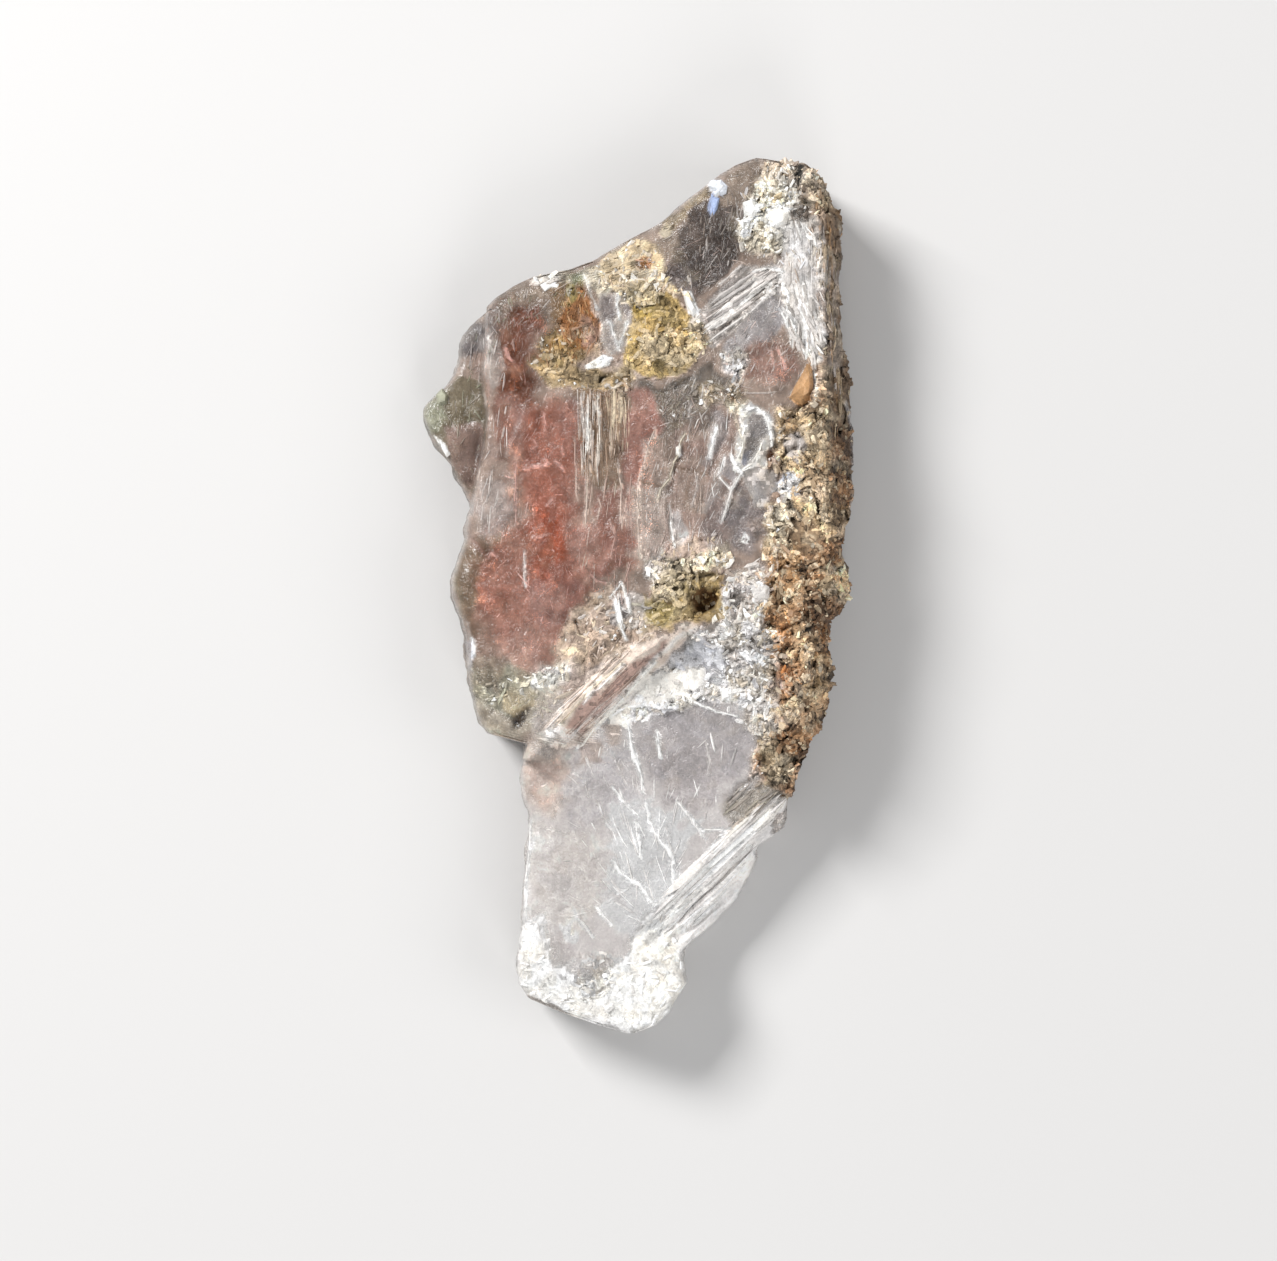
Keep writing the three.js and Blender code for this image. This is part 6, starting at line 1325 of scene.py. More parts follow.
def tree_of(name):
    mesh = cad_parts[name].data
    return BVHTree.FromPolygons([v.co[:] for v in mesh.vertices], [p.vertices[:] for p in mesh.polygons])


def first_hit(tree, x, y):
    """Where a line of sight straight down first meets a tree of faces, and which face."""
    place, _, face, _ = tree.ray_cast(Vector((x * MM, y * MM, 1)), Vector((0, 0, -1)))
    return place, face


class Footprint:
    """Where a CAD node lies, seen from above, and how far in from its outline each point is."""

    PITCH = 0.1
    MARGIN = 0.3

    def __init__(self, node):
        self.low, self.high = corners_of(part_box(node))
        self.xs, self.ys = (np.arange(self.low[k] - self.MARGIN, self.high[k] + self.MARGIN, self.PITCH)
                            for k in (0, 1))
        gx, gy = np.meshgrid(self.xs, self.ys)
        tree = tree_of(node)
        self.over = np.array([first_hit(tree, a, b)[0] is not None
                              for a, b in zip(gx.ravel(), gy.ravel())]).reshape(gx.shape)
        inner = edge_distance(gx[self.over], gy[self.over], gx[~self.over], gy[~self.over])
        self.edge = np.zeros(gx.shape)
        self.edge[self.over] = inner
        self.x, self.y = gx, gy

    def edge_at(self, x, y):
        u = (x - self.xs[0]) / self.PITCH
        v = (y - self.ys[0]) / self.PITCH
        inside = (u >= 0) & (u < len(self.xs) - 1) & (v >= 0) & (v < len(self.ys) - 1)
        i = np.clip(np.floor(u).astype(int), 0, len(self.xs) - 2)
        j = np.clip(np.floor(v).astype(int), 0, len(self.ys) - 2)
        f, g = u - i, v - j
        low = mix(self.edge[j, i], self.edge[j, i + 1], f)
        high = mix(self.edge[j + 1, i], self.edge[j + 1, i + 1], f)
        return inside * mix(low, high, np.clip(g, 0, 1))


seam_y = np.linspace(*span([RIDGE]), 400)
seam_x = row_extents([RIDGE], seam_y)[0]
seam_y, seam_x = seam_y[1:-1], seam_x[1:-1]


def bare_ground(x, y):
    """The colour before anything is painted, and how much of it is clay: grey crystal, paler below the step,
    with clay along the ridge."""
    lower = smooth(1.5, -1.5, above(x, y, STEP_LINE))
    crystal = blended(linear("stone_grey"), linear("pale_grey"), lower)
    seam = x - np.interp(y, seam_y, seam_x, right=99) + 1.3 * layered(x, y, 1.6, 141, 4)
    clay = smooth(-BLEND, BLEND, seam) * smooth(-2.2, 0.4, y - seam_y[0] + 0.8 * layered(x, y, 1.2, 142))
    return blended(crystal, linear("clay"), clay), clay


def through(colour, x, y):
    """The paint that makes see-through crystal look this colour, as part of its light comes from the shine
    and from what lies under it."""
    share = mix(*SHARES, smooth(-2, 2, above(x, y, STEP_LINE)))
    return np.clip((colour - SHINE) / share[:, None], DARKEST, BRIGHTEST)


# ------------------------------------------------------------------ meshes
def solid_mesh(name, points, faces, smooth_faces=True):
    mesh = bpy.data.meshes.new(name)
    mesh.from_pydata((points * MM).tolist(), [], faces)
    mesh.validate()
    mesh.polygons.foreach_set("use_smooth", [smooth_faces] * len(mesh.polygons))
    piece = bpy.data.objects.new(name, mesh)
    bpy.context.scene.collection.objects.link(piece)
    return piece


def paint(piece, colour, **channels):
    """A colour at each point, and channels: a number at each point, or one for all. The rest are 0."""
    mesh = piece.data
    count = len(colour)
    layer = mesh.attributes.new("tint", "FLOAT_COLOR", "POINT")
    layer.data.foreach_set("color", np.column_stack([colour, np.ones(count)]).ravel())
    for name, values in {**dict.fromkeys(QUIET, 0.0), **channels}.items():
        values = np.broadcast_to(np.asarray(values, float), count)
        mesh.attributes.new(name, "FLOAT", "POINT").data.foreach_set("value", np.ascontiguousarray(values))


def ring_faces(rows, ring):
    """Quads between the rings of a loft, and a face over each end."""
    r, k = np.meshgrid(np.arange(rows - 1), np.arange(ring), indexing="ij")
    a, b = (r * ring + k).ravel(), (r * ring + (k + 1) % ring).ravel()
    last = (rows - 1) * ring
    ends = [list(range(ring)), list(range(last + ring - 1, last - 1, -1))]
    return np.column_stack([a, a + ring, b + ring, b]).tolist() + ends


def loft(ys, left, right, columns):
    """The x and y of each point, how far down the side it is (0 on the front, 1 on the back), and how many
    points a ring has. The rings run over the front to the right, down, back to the left, and up."""
    front, side, back = columns
    t_side = np.linspace(0, 1, side + 2)[1:-1]
    across = [np.linspace(0, 1, front), np.ones(side), np.linspace(1, 0, back), np.zeros(side)]
    across = np.concatenate(across)
    down = np.concatenate([np.zeros(front), t_side, np.ones(back), t_side[::-1]])
    x = left[:, None] + (right - left)[:, None] * across[None, :]
    y = np.repeat(ys[:, None], len(across), axis=1)
    return x.ravel(), y.ravel(), np.tile(down, len(ys)), len(across)


FILLS = {name: Footprint(name) for name in HOLLOWS}


def make_blade():
    """The selenite: one closed loft, hollowed where clay fills it, with cleavage layers down its sides."""
    low, high = span(BLADE)
    ys = rows_of(BLADE, ROW_STEP)
    left, right = row_extents(BLADE, ys)
    left = left + 0.05 * ripple(ys, ys, 0.6, 81)
    wall = row_extents([RIDGE], ys)[0]
    right = np.where(np.isfinite(wall), np.maximum(right, np.minimum(wall + 0.5, right + 0.9)), right)
    x, y, down, ring = loft(ys, left, right, BLADE_COLUMNS)
    edge = edge_distance(x, y, np.concatenate([left, right]), np.concatenate([ys, ys]))
    skin = Skin(x, y)
    front = blade_height(skin, edge)
    for area in FILLS.values():
        front = mix(front, area.low[2] - 0.05, smooth(0.4, 0.75, area.edge_at(x, y)))
    z = mix(front, blade_back(x, y, edge), down)
    skin.colour *= hollow_shade(front, skin.crumb, len(ys), BLADE_COLUMNS[0], 4)
    hidden = (down > 0) & (down < 1)
    inner = smooth(0.1, 1.5, np.minimum(high - y, y - low))
    bulge = hidden * inner * (0.12 * layered(y, z, 1.1, 82) + 0.2 * layered(0.15 * y, z, 0.8, 83, 2))
    x = np.clip(x + bulge * np.sign(x - np.repeat((left + right) / 2, ring)), -SIDE, SIDE)
    skin.weather_and_shade(edge)
    wall_colour = blended(linear("pale_grey"), linear("ash_light"), smooth(-2, 2, above(x, y, STEP_LINE)))
    wall_colour = blended(wall_colour, linear("clay"), bare_ground(x, y)[1])
    colour = blended(skin.colour, wall_colour, 0.7 * smooth(0, 0.3, down))
    colour *= 1 + (hidden * 0.18 * layered(0.12 * y, z, 0.7, 84, 2))[:, None]
    crust = skin.crust * (1 - 0.8 * down)
    colour = np.clip(blended(through(colour, x, y), colour, crust), 0, BRIGHTEST)
    piece = solid_mesh("selenite_blade", np.column_stack([x, y, z]), ring_faces(len(ys), ring))
    paint(piece, colour, crumb=skin.crumb * (1 - 0.5 * down), crust=crust, haze=skin.haze,
          upright=skin.upright * (1 - down), slant=skin.slant, layers=hidden)
    return piece


def make_ridge():
    """The sandy clay: a closed loft over the ridge's own solid, a little past it over the blade."""
    low, high = span([RIDGE])
    ys = rows_of([RIDGE], RIDGE_ROW_STEP)
    left, right = row_extents([RIDGE], ys)
    inner = left - 0.6 + 0.4 * layered(ys, ys, 1.3, 91)
    inner = np.minimum(inner, right - 0.3)
    right = right + 0.12 * layered(ys, ys, 0.8, 92) - 0.08
    x, y, down, ring = loft(ys, inner, right, RIDGE_COLUMNS)
    skin = Skin(x, y)
    edge_left = x - np.repeat(inner, ring)
    sunk = blade_height(skin) - 0.35
    top = mix(sunk, ridge_height(skin, np.repeat(left, ring)), smooth(0.1, 1.3, edge_left))
    back = 1.0 + 0.25 * np.abs(layered(x, y, 1.6, 93)) + 0.8 * np.abs(skin.crumble())
    z = mix(top, np.maximum(back, 0.5), down)
    skin.colour *= hollow_shade(top, skin.crumb, len(ys), RIDGE_COLUMNS[0], 5)
    hidden = (down > 0) & (down < 1) & (x > np.repeat((inner + right) / 2, ring))
    side = Crinkle(y, z, 1.1, 94)
    lumps = 0.3 * Facets(y, z, 1.3, 95).height + 0.25 * side.height + 0.3 * layered(y, z, 2.4, 97) - 0.15
    x = np.minimum(x + hidden * lumps, SIDE)
    skin.weather_and_shade()
    # painted highlight on the crests, and on the outer side painted shade in the pits
    crest_shading = 0.6 + 1.1 * mix(skin.crinkle.crest, side.crest - 0.4 * side.pit, hidden)
    tan = smooth(-0.5, 0.7, layered(y, z + x, 2.6, 98))
    earth = blended(linear("wall_brown"), linear("tan_brown"), tan) * crest_shading[:, None]
    colour = blended(skin.colour, earth, 0.85 * smooth(0, 0.35, down))
    end = hidden * smooth(2.6, 0.2, y - low + 0.9 * layered(y, z, 1.2, 96))
    # pale stone at the lower end of the outer side, its crests painted lighter as highlight
    stone = linear("bright_grey") * (0.8 + 0.4 * skin.crinkle.crest)[:, None]
    colour = blended(colour, stone, 0.8 * end)
    piece = solid_mesh("sandy_clay", np.column_stack([x, y, z]), ring_faces(len(ys), ring))
    paint(piece, colour, **{**skin.channels(), "crumb": np.maximum(skin.crumb, 0.5)})
    return piece


def outer_sides(quads):
    """The sides of quads that no other quad shares, each from its first corner to its next."""
    sides = {}
    for quad in quads:
        for p, q in zip(quad, np.roll(quad, -1)):
            if (q, p) in sides:
                del sides[(q, p)]
            else:
                sides[(p, q)] = True
    return [(int(p), int(q)) for p, q in sides]


def make_fill(node):
    """Clay in a hollow, over the footprint of its CAD node: lumpy above, level below, its rim under the
    blade's own face."""
    area = FILLS[node]
    shape, over = area.over.shape, area.over
    x, y = area.x.ravel(), area.y.ravel()
    edge = area.edge.ravel()
    skin = Skin(x, y)
    skin.crumb = np.maximum(skin.crumb, 0.35)
    top = blade_height(skin)
    top = top + 0.2 * smooth(0.3, 1.3, edge) - 0.5 * smooth(0.35, 0.0, edge) + 0.3 * skin.crumble()
    skin.colour *= hollow_shade(top, skin.crumb, *shape, 6)
    skin.weather_and_shade()
    if node == "ochre_clay_pit":
        wander = 0.25 * layered(x, y, 0.8, 101)
        hole = np.hypot((x - PIT["x"]) / PIT["across"], (y - PIT["y"]) / PIT["along"]) + wander
        top = top - PIT["depth"] * smooth(1.05, 0.6, hole)
        skin.blend(linear("pit_brown"), 0.9 * smooth(1.1, 0.7, hole))
    count = len(x)
    index = np.arange(count).reshape(shape)
    keep = over[:-1, :-1] & over[1:, :-1] & over[:-1, 1:] & over[1:, 1:]
    a, b = index[:-1, :-1][keep], index[:-1, 1:][keep]
    c, d = index[1:, 1:][keep], index[1:, :-1][keep]
    quads = np.column_stack([a, b, c, d])
    faces = quads.tolist() + (quads[:, ::-1] + count).tolist()
    faces += [[q, p, p + count, q + count] for p, q in outer_sides(quads)]
    used, packed = np.unique(np.concatenate([np.ravel(f) for f in faces]), return_inverse=True)
    z = np.concatenate([top, np.full(count, area.low[2])])
    points = np.column_stack([np.tile(x, 2), np.tile(y, 2), z])[used]
    piece = solid_mesh(HOLLOWS[node], points, packed.reshape(-1, 4).tolist())
    from_grid = used % count
    paint(piece, skin.colour[from_grid], **{name: v[from_grid] for name, v in skin.channels().items()})
    return piece


def rotation(turn, tip, roll):
    """Turn about Z after a small tip about X and roll about Y."""
    cz, sz, cx, sx, cy, sy = (f(v) for v in (turn, tip, roll) for f in (math.cos, math.sin))
    about_z = np.array([[cz, -sz, 0], [sz, cz, 0], [0, 0, 1]])
    about_x = np.array([[1, 0, 0], [0, cx, -sx], [0, sx, cx]])
    about_y = np.array([[cy, 0, sy], [0, 1, 0], [-sy, 0, cy]])
    return about_z @ about_x @ about_y


def make_flakes(node, count, seed):
    """Thin leaves and flecks of copper through the space of a CAD leaf: closed six-sided plates, bent a
    little, most lying near the cleavage plane."""
    rng = np.random.default_rng(seed)
    low, high = corners_of(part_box(node))
    tree = tree_of(node)
    points, faces = [], []
    corners = np.linspace(0, 2 * math.pi, 7)[:-1]
    around = [(k, (k + 1) % 6) for k in range(6)]
    while len(points) < count:
        x, y = rng.uniform(low[:2], high[:2])
        hit = first_hit(tree, x, y)[0]
        if hit is None:
            continue
        z = rng.uniform(low[2] + 0.12, max(hit.z / MM, low[2] + 0.4))
        across = rng.lognormal(-1.35, 0.55)
        along = across * rng.uniform(1.0, 3.5)
        radius = rng.uniform(0.6, 1.0, 6)
        plate = np.column_stack([along * radius * np.cos(corners), across * radius * np.sin(corners),
                                 0.12 * across * rng.uniform(-1, 1, 6)])
        thick = np.array([0, 0, 0.02 + 0.05 * across])
        body = np.vstack([plate + thick, plate - thick])
        turn = rng.normal(math.pi / 2, 0.6)
        tip, roll = rng.normal(0, 0.3, 2)
        body = body @ rotation(turn, tip, roll).T + [x, y, 0]
        body[:, 2] += max(z, low[2] - body[:, 2].min() + CLEARANCE)
        base = 12 * len(points)
        points.append(body)
        faces.append([base + k for k in range(6)])
        faces.append([base + 11 - k for k in range(6)])
        faces += [[base + b, base + a, base + 6 + a, base + 6 + b] for a, b in around]
    return solid_mesh(node + "_leaves", np.vstack(points), faces, smooth_faces=False)


# ------------------------------------------------------------------ loose grains and splinters
class Ground:
    """The finished pieces, to set small things on. The first is the crystal, and the rest are clay."""

    def __init__(self, pieces):
        points, faces, self.ends = [], [], []
        for piece in pieces:
            base = len(points)
            points += [v.co[:] for v in piece.data.vertices]
            faces += [[base + k for k in p.vertices] for p in piece.data.polygons]
            self.ends.append(len(faces))
        self.tree = BVHTree.FromPolygons(points, faces)

    def below(self, x, y):
        """The height of the shown face at each point, and the number of its piece: -1 beside the specimen."""
        height, owner = np.zeros(len(x)), np.full(len(x), -1)
        for k, (a, b) in enumerate(zip(x, y)):
            place, face = first_hit(self.tree, a, b)
            if place is not None:
                height[k] = place.z / MM
                owner[k] = np.searchsorted(self.ends, face, side="right")
        return height, owner


def crowd(name, bodies, faces, shades):
    """One mesh of many small solids with the same faces, each corner with its colour."""
    count, corners = bodies.shape[:2]
    highest, lowest = bodies[:, :, 2].max(axis=1), bodies[:, :, 2].min(axis=1)
    bodies[:, :, 2] += (np.maximum(CLEARANCE - lowest, 0) - np.maximum(highest - TOP, 0))[:, None]
    points = bodies.reshape(-1, 3)
    points[:, 0] = np.clip(points[:, 0], -SIDE, SIDE)
    every = [[base + k for k in face] for base in range(0, count * corners, corners) for face in faces]
    piece = solid_mesh(name, points, every, smooth_faces=False)
    paint(piece, np.clip(shades.reshape(-1, 3), 0, BRIGHTEST), crumb=0.3, crust=1)
    return piece


def scattered(rng, ground, on_clay, count, tries, crumbs):
    """Up to count random places on the crystal or on the clay, thickest where it is crumbliest: the skin at
    every place tried, which of them are kept, and the height of the ground under those."""
    low, high = corners_of(cad_box)
    x, y = rng.uniform(low[:2], high[:2], (tries * count, 2)).T
    skin = Skin(x, y)
    skin.weather_and_shade()
    kept = np.nonzero(rng.random(len(x)) < smooth(*crumbs, skin.crumb))[0]
    height, owner = ground.below(x[kept], y[kept])
    right_ground = owner > 0 if on_clay else owner == 0
    return skin, kept[right_ground][:count], height[right_ground][:count]


def leaned(rng, points, lean):
    """Each set of points turned at random about Z, after a lean of about so many radians to a random side."""
    count = len(points)
    tip, roll = rng.normal(0, lean, (2, count))
    turn = rng.uniform(0, 2 * math.pi, count)
    for angle, i, j in ((tip, 1, 2), (roll, 2, 0), (turn, 0, 1)):
        c, s = np.cos(angle)[:, None], np.sin(angle)[:, None]
        first, second = points[:, :, i].copy(), points[:, :, j].copy()
        points[:, :, i] = c * first - s * second
        points[:, :, j] = s * first + c * second
    return points


BLOCK_CORNERS = np.array([(a, b, c) for a in (-1, 1) for b in (-1, 1) for c in (-1, 1)], float)
BLOCK_FACES = [(0, 1, 3, 2), (4, 6, 7, 5), (0, 4, 5, 1), (2, 3, 7, 6), (0, 2, 6, 4), (1, 5, 7, 3)]


def make_grains(name, ground, on_clay, count, size, seed):
    """Broken blocks over the crumbly ground, each half sunk in."""
    rng = np.random.default_rng(seed)
    skin, kept, height = scattered(rng, ground, on_clay, count, 14, (0.25, 0.9))
    count = len(kept)
    bulk = np.minimum(rng.lognormal(0, 0.6, (count, 1)), 3)
    half = size * bulk * rng.uniform([0.9, 0.5, 0.35], [1.9, 1.1, 0.8], (count, 3))
    bodies = BLOCK_CORNERS * half[:, None, :] * rng.uniform(0.3, 1.2, (count, 8, 3))
    bodies = leaned(rng, bodies, 0.5)
    bodies += np.column_stack([skin.x[kept], skin.y[kept], height + 0.1 * half[:, 2]])[:, None, :]
    tone = rng.lognormal(0.05, 0.24, count)
    tone[rng.random(count) < 0.1] *= 0.65 if on_clay else 0.75
    base = skin.colour[kept]
    pale = (rng.random(count) < 0.2)[:, None]
    base = np.where(pale, mix(base, linear("light_cream" if on_clay else "white"), 0.6), base)
    # the corners painted darker the lower they sit, as shade round each grain, and lighter on top, as
    # highlight
    low_shade, level = (0.5, 0.85) if on_clay else (0.75, 0.95)
    rise = (bodies[:, :, 2] - height[:, None]) / half.max(axis=1)[:, None]
    shade = np.interp(rise, [-0.4, 0, 0.5], [low_shade, level, 1.15])
    return crowd(name, bodies, BLOCK_FACES, base[:, None, :] * (tone[:, None] * shade)[:, :, None])


def across_of(way):
    """Steps turned a quarter turn to the left."""
    return np.column_stack([-way[:, 1], way[:, 0]])


def sliver_faces(rings):
    """Faces of a sliver: a point, some rings of four corners, and a point."""
    faces = [(0, 1 + (k + 1) % 4, 1 + k) for k in range(4)]
    for base in range(1, 4 * rings - 3, 4):
        faces += [(base + k, base + (k + 1) % 4, base + 4 + (k + 1) % 4, base + 4 + k) for k in range(4)]
    last = 4 * rings - 3
    return faces + [(last + 4, last + k, last + (k + 1) % 4) for k in range(4)]


def sliver_shading(rings):
    """How bright its corners are, as painted light: a highlight on the crest, the sides less bright, and
    shade at the root.
    """
    return np.array([0.95] + rings * [0.95, 1.12, 0.95, 0.8] + [0.95])[None, :, None]


def slivers(rng, ground, spine, wide, roll_by, flat=1.0):
    """Closed slivers over the ground along spines, each pointed at both ends: their corners, and which of
    them lie on the specimen from end to end with no deep step under them."""
    seen = np.ones(len(wide), bool)
    for point in spine:
        point[:, 2], owner = ground.below(point[:, 0], point[:, 1])
        seen &= owner >= 0
    heights = [point[:, 2] for point in spine]
    seen &= np.ptp(heights, axis=0) < DEEP_STEP
    level = np.median(heights, axis=0)
    for point in spine:
        point[:, 2] = np.clip(point[:, 2], level - 0.3, level + 0.3)
    roll = rng.normal(0, roll_by, len(wide))[:, None]
    thick = flat * np.minimum(0.8 * wide, 0.16)[:, None]
    corners = [spine[0]]
    for before, point, after in zip(spine, spine[1:], spine[2:]):
        way = after[:, :2] - before[:, :2]
        aside = across_of(way) / np.maximum(np.hypot(*way.T), 0.02)[:, None]
        side = np.column_stack([aside * np.cos(roll), np.sin(roll)]) * wide[:, None]
        rise = np.column_stack([-aside * np.sin(roll), np.cos(roll)]) * thick
        corners += [point + side, point + rise, point - side, point - rise]
    corners.append(spine[-1])
    return np.stack(corners, axis=1), seen


def on_floor(point):
    """Points of a plan as points in space, before their height is known."""
    return np.column_stack([point, np.zeros(len(point))])


def make_cracks(name, ground, seed):
    """The crisp core of each raised stroke: one sliver for every stretch of it."""
    rng = np.random.default_rng(seed)
    bodies, shades = [], []
    for line in STROKES:
        if line["lift"] <= 0:
            continue
        ends = np.array(stretches(line["line"]))
        count = len(ends)
        start, way = ends[:, 0], ends[:, 1] - ends[:, 0]
        start, way = start - 0.12 * way, 1.24 * way
        aside = across_of(way) / np.hypot(*way.T)[:, None]
        wide = np.full(count, 0.3 * line["width"]) * rng.uniform(0.7, 1.1, count)
        spine = [on_floor(start + way * t + aside * rng.normal(0, 0.05, (count, 1)))
                 for t in (0, 0.25, 0.75, 1)]
        body, seen = slivers(rng, ground, spine, wide, 0.3)
        bodies.append(body[seen])
        middle = 0.5 * (spine[1] + spine[2])[seen]
        base = mix(Skin(*middle[:, :2].T).colour, linear(line["colour"]), 0.5 * line["amount"])
        shades.append(base[:, None, :] * sliver_shading(2))
    return crowd(name, np.concatenate(bodies), sliver_faces(2), np.concatenate(shades))


class Creases:
    """The winding lines of the crumbly ground's crests, coarse or fine for each of some points that move."""

    SLOPE_STEP = 0.03

    def __init__(self, fine):
        self.fine = fine

    def level(self, point):
        return np.choose(self.fine, winding(*point.T, CRINKLE, WRINKLE_SEED))

    def slope(self, point):
        step = self.SLOPE_STEP
        return np.column_stack([self.level(point + d) - self.level(point - d)
                                for d in ((step, 0), (0, step))]) / (2 * step)

    def nearer(self, point):
        """The points moved up to 0.2 closer to their crest."""
        way = self.slope(point)
        move = -self.level(point)[:, None] * way / np.maximum((way**2).sum(axis=1), 0.3)[:, None]
        return point + np.clip(move, -0.2, 0.2)

    def onward(self, point, stride):
        """The points moved along their crest by a stride."""
        way = self.slope(point)
        way = way / np.maximum(np.hypot(*way.T), 0.1)[:, None]
        return self.nearer(point + across_of(way) * stride[:, None])


def make_wrinkles(name, ground, on_clay, count, seed):
    """Thin crests that follow the winding wrinkles of the crumbly ground, crisper than its mesh can be."""
    rng = np.random.default_rng(seed)
    skin, kept, _ = scattered(rng, ground, on_clay, count, 12, (0.3, 0.85))
    count = len(kept)
    fine = (rng.random(count) < 0.4).astype(int)
    creases = Creases(fine)
    point = np.column_stack([skin.x[kept], skin.y[kept]])
    for _ in range(3):
        point = creases.nearer(point)
    stride = rng.uniform(0.14, 0.26, count) * rng.choice([-1, 1], count)
    line = [point]
    for _ in range(WRINKLE_RINGS + 1):
        line.append(creases.onward(line[-1], stride))
    line[0], line[-1] = mix(line[1], line[0], 0.3), mix(line[-2], line[-1], 0.3)
    wide = np.where(fine, 0.09, 0.13) * rng.lognormal(0, 0.3, count)
    body, seen = slivers(rng, ground, [on_floor(p) for p in line], wide, 0.2, 0.45)
    seen &= Skin(*line[-1].T).crumb > 0.35
    pale = linear("light_cream" if on_clay else "white")
    base = mix(skin.colour[kept], pale, rng.uniform(0, 0.35, (count, 1)))
    base = base * rng.lognormal(0.05, 0.16, (count, 1))
    tone = sliver_shading(WRINKLE_RINGS)
    return crowd(name, body[seen], sliver_faces(WRINKLE_RINGS), base[seen][:, None, :] * tone)


def make_splinters(name, ground, seed):
    """Thin splinters of every sheaf, each bent over the ground and part sunk in it."""
    rng = np.random.default_rng(seed)
    bodies, shades = [], []
    for group in SHEAVES:
        xs, ys = zip(*group["line"])
        tries = 5 * group["count"]
        x = rng.uniform(min(xs), max(xs), tries)
        y = rng.uniform(min(ys), max(ys), tries)
        inside = np.nonzero(inward(x, y, group["line"]) > 0)[0][:group["count"]]
        x, y, count = x[inside], y[inside], len(inside)
        middle = np.column_stack([x, y])
        angle = np.radians(rng.normal(group["angle"], group["spread"], count))
        if group["focus"]:
            angle += np.arctan2(y - group["focus"][1], x - group["focus"][0])
        reach = 0.5 * group["length"] * rng.lognormal(0, 0.4, count)
        wide = 0.5 * group["width"] * rng.lognormal(0, 0.35, count)
        ahead = np.column_stack([np.cos(angle), np.sin(angle)])
        for side in (-1, 1, -1, 1):
            end = middle + side * reach[:, None] * ahead
            reach = np.where(inward(*end.T, group["line"]) < -0.3, 0.6 * reach, reach)
        sway = rng.normal(0, 0.05, count) * reach
        aside = across_of(ahead)
        spine = [on_floor(middle + ahead * (at * reach)[:, None] + aside * (sway * (1 - at * at))[:, None])
                 for at in (-1.0, -0.5, 0.5, 1.0)]
        body, seen = slivers(rng, ground, spine, wide, 0.5)
        names = rng.integers(len(group["colours"]), size=count)
        own = np.array([linear(n) for n in group["colours"]])[names] * rng.lognormal(0, 0.13, (count, 1))
        local = Skin(x, y)
        base = blended(local.colour, own, mix(*BOLD, local.crumb))
        bodies.append(body[seen])
        shades.append(base[seen][:, None, :] * sliver_shading(2))
    return crowd(name, np.concatenate(bodies), sliver_faces(2), np.concatenate(shades))


def make_chips(name, ground):
    """The listed chips: low, many-sided, highest at a ridge along the middle, bedded in the ground."""
    points, faces, shades = [], [], []
    for item in CHIPS:
        line, lift = np.array(item["line"]), item["lift"]
        count, centre = len(line), line.mean(axis=0)
        inner = centre + 0.55 * (line - centre)
        level = np.median(ground.below(*np.vstack([line, inner]).T)[0])
        crown = level + lift * (1 + 0.35 * ripple(*inner.T, 0.5, 112))
        low = np.column_stack([line, np.full(count, level - 0.5)])
        rim = np.column_stack([line, np.full(count, level + 0.15 * lift)])
        top = np.column_stack([inner, crown])
        base = sum(len(p) for p in points)
        ring = [(k, (k + 1) % count) for k in range(count)]
        faces.append([base + k for k in reversed(range(count))])
        for start in (base, base + count):
            faces += [[start + a, start + b, start + count + b, start + count + a] for a, b in ring]
        faces += [[base + 2 * count + a, base + 2 * count + b, base + 3 * count] for a, b in ring]
        points.append(np.vstack([low, rim, top, np.append(centre, level + 1.1 * lift)]))
        # the low and rim rings painted darker as shade and the peak lighter as highlight; the top ring varies
        # at random
        tone = np.concatenate([np.full(2 * count, 0.8), 1 + 0.2 * ripple(*line.T, 0.4, 113), [1.1]])
        shades.append(linear(item["colour"]) * tone[:, None])
    points = np.vstack(points)
    points[:, 2] = np.clip(points[:, 2], CLEARANCE, TOP)
    piece = solid_mesh(name, points, faces, smooth_faces=False)
    paint(piece, np.clip(np.vstack(shades), 0, BRIGHTEST), crumb=0.15, crust=1)
    return piece


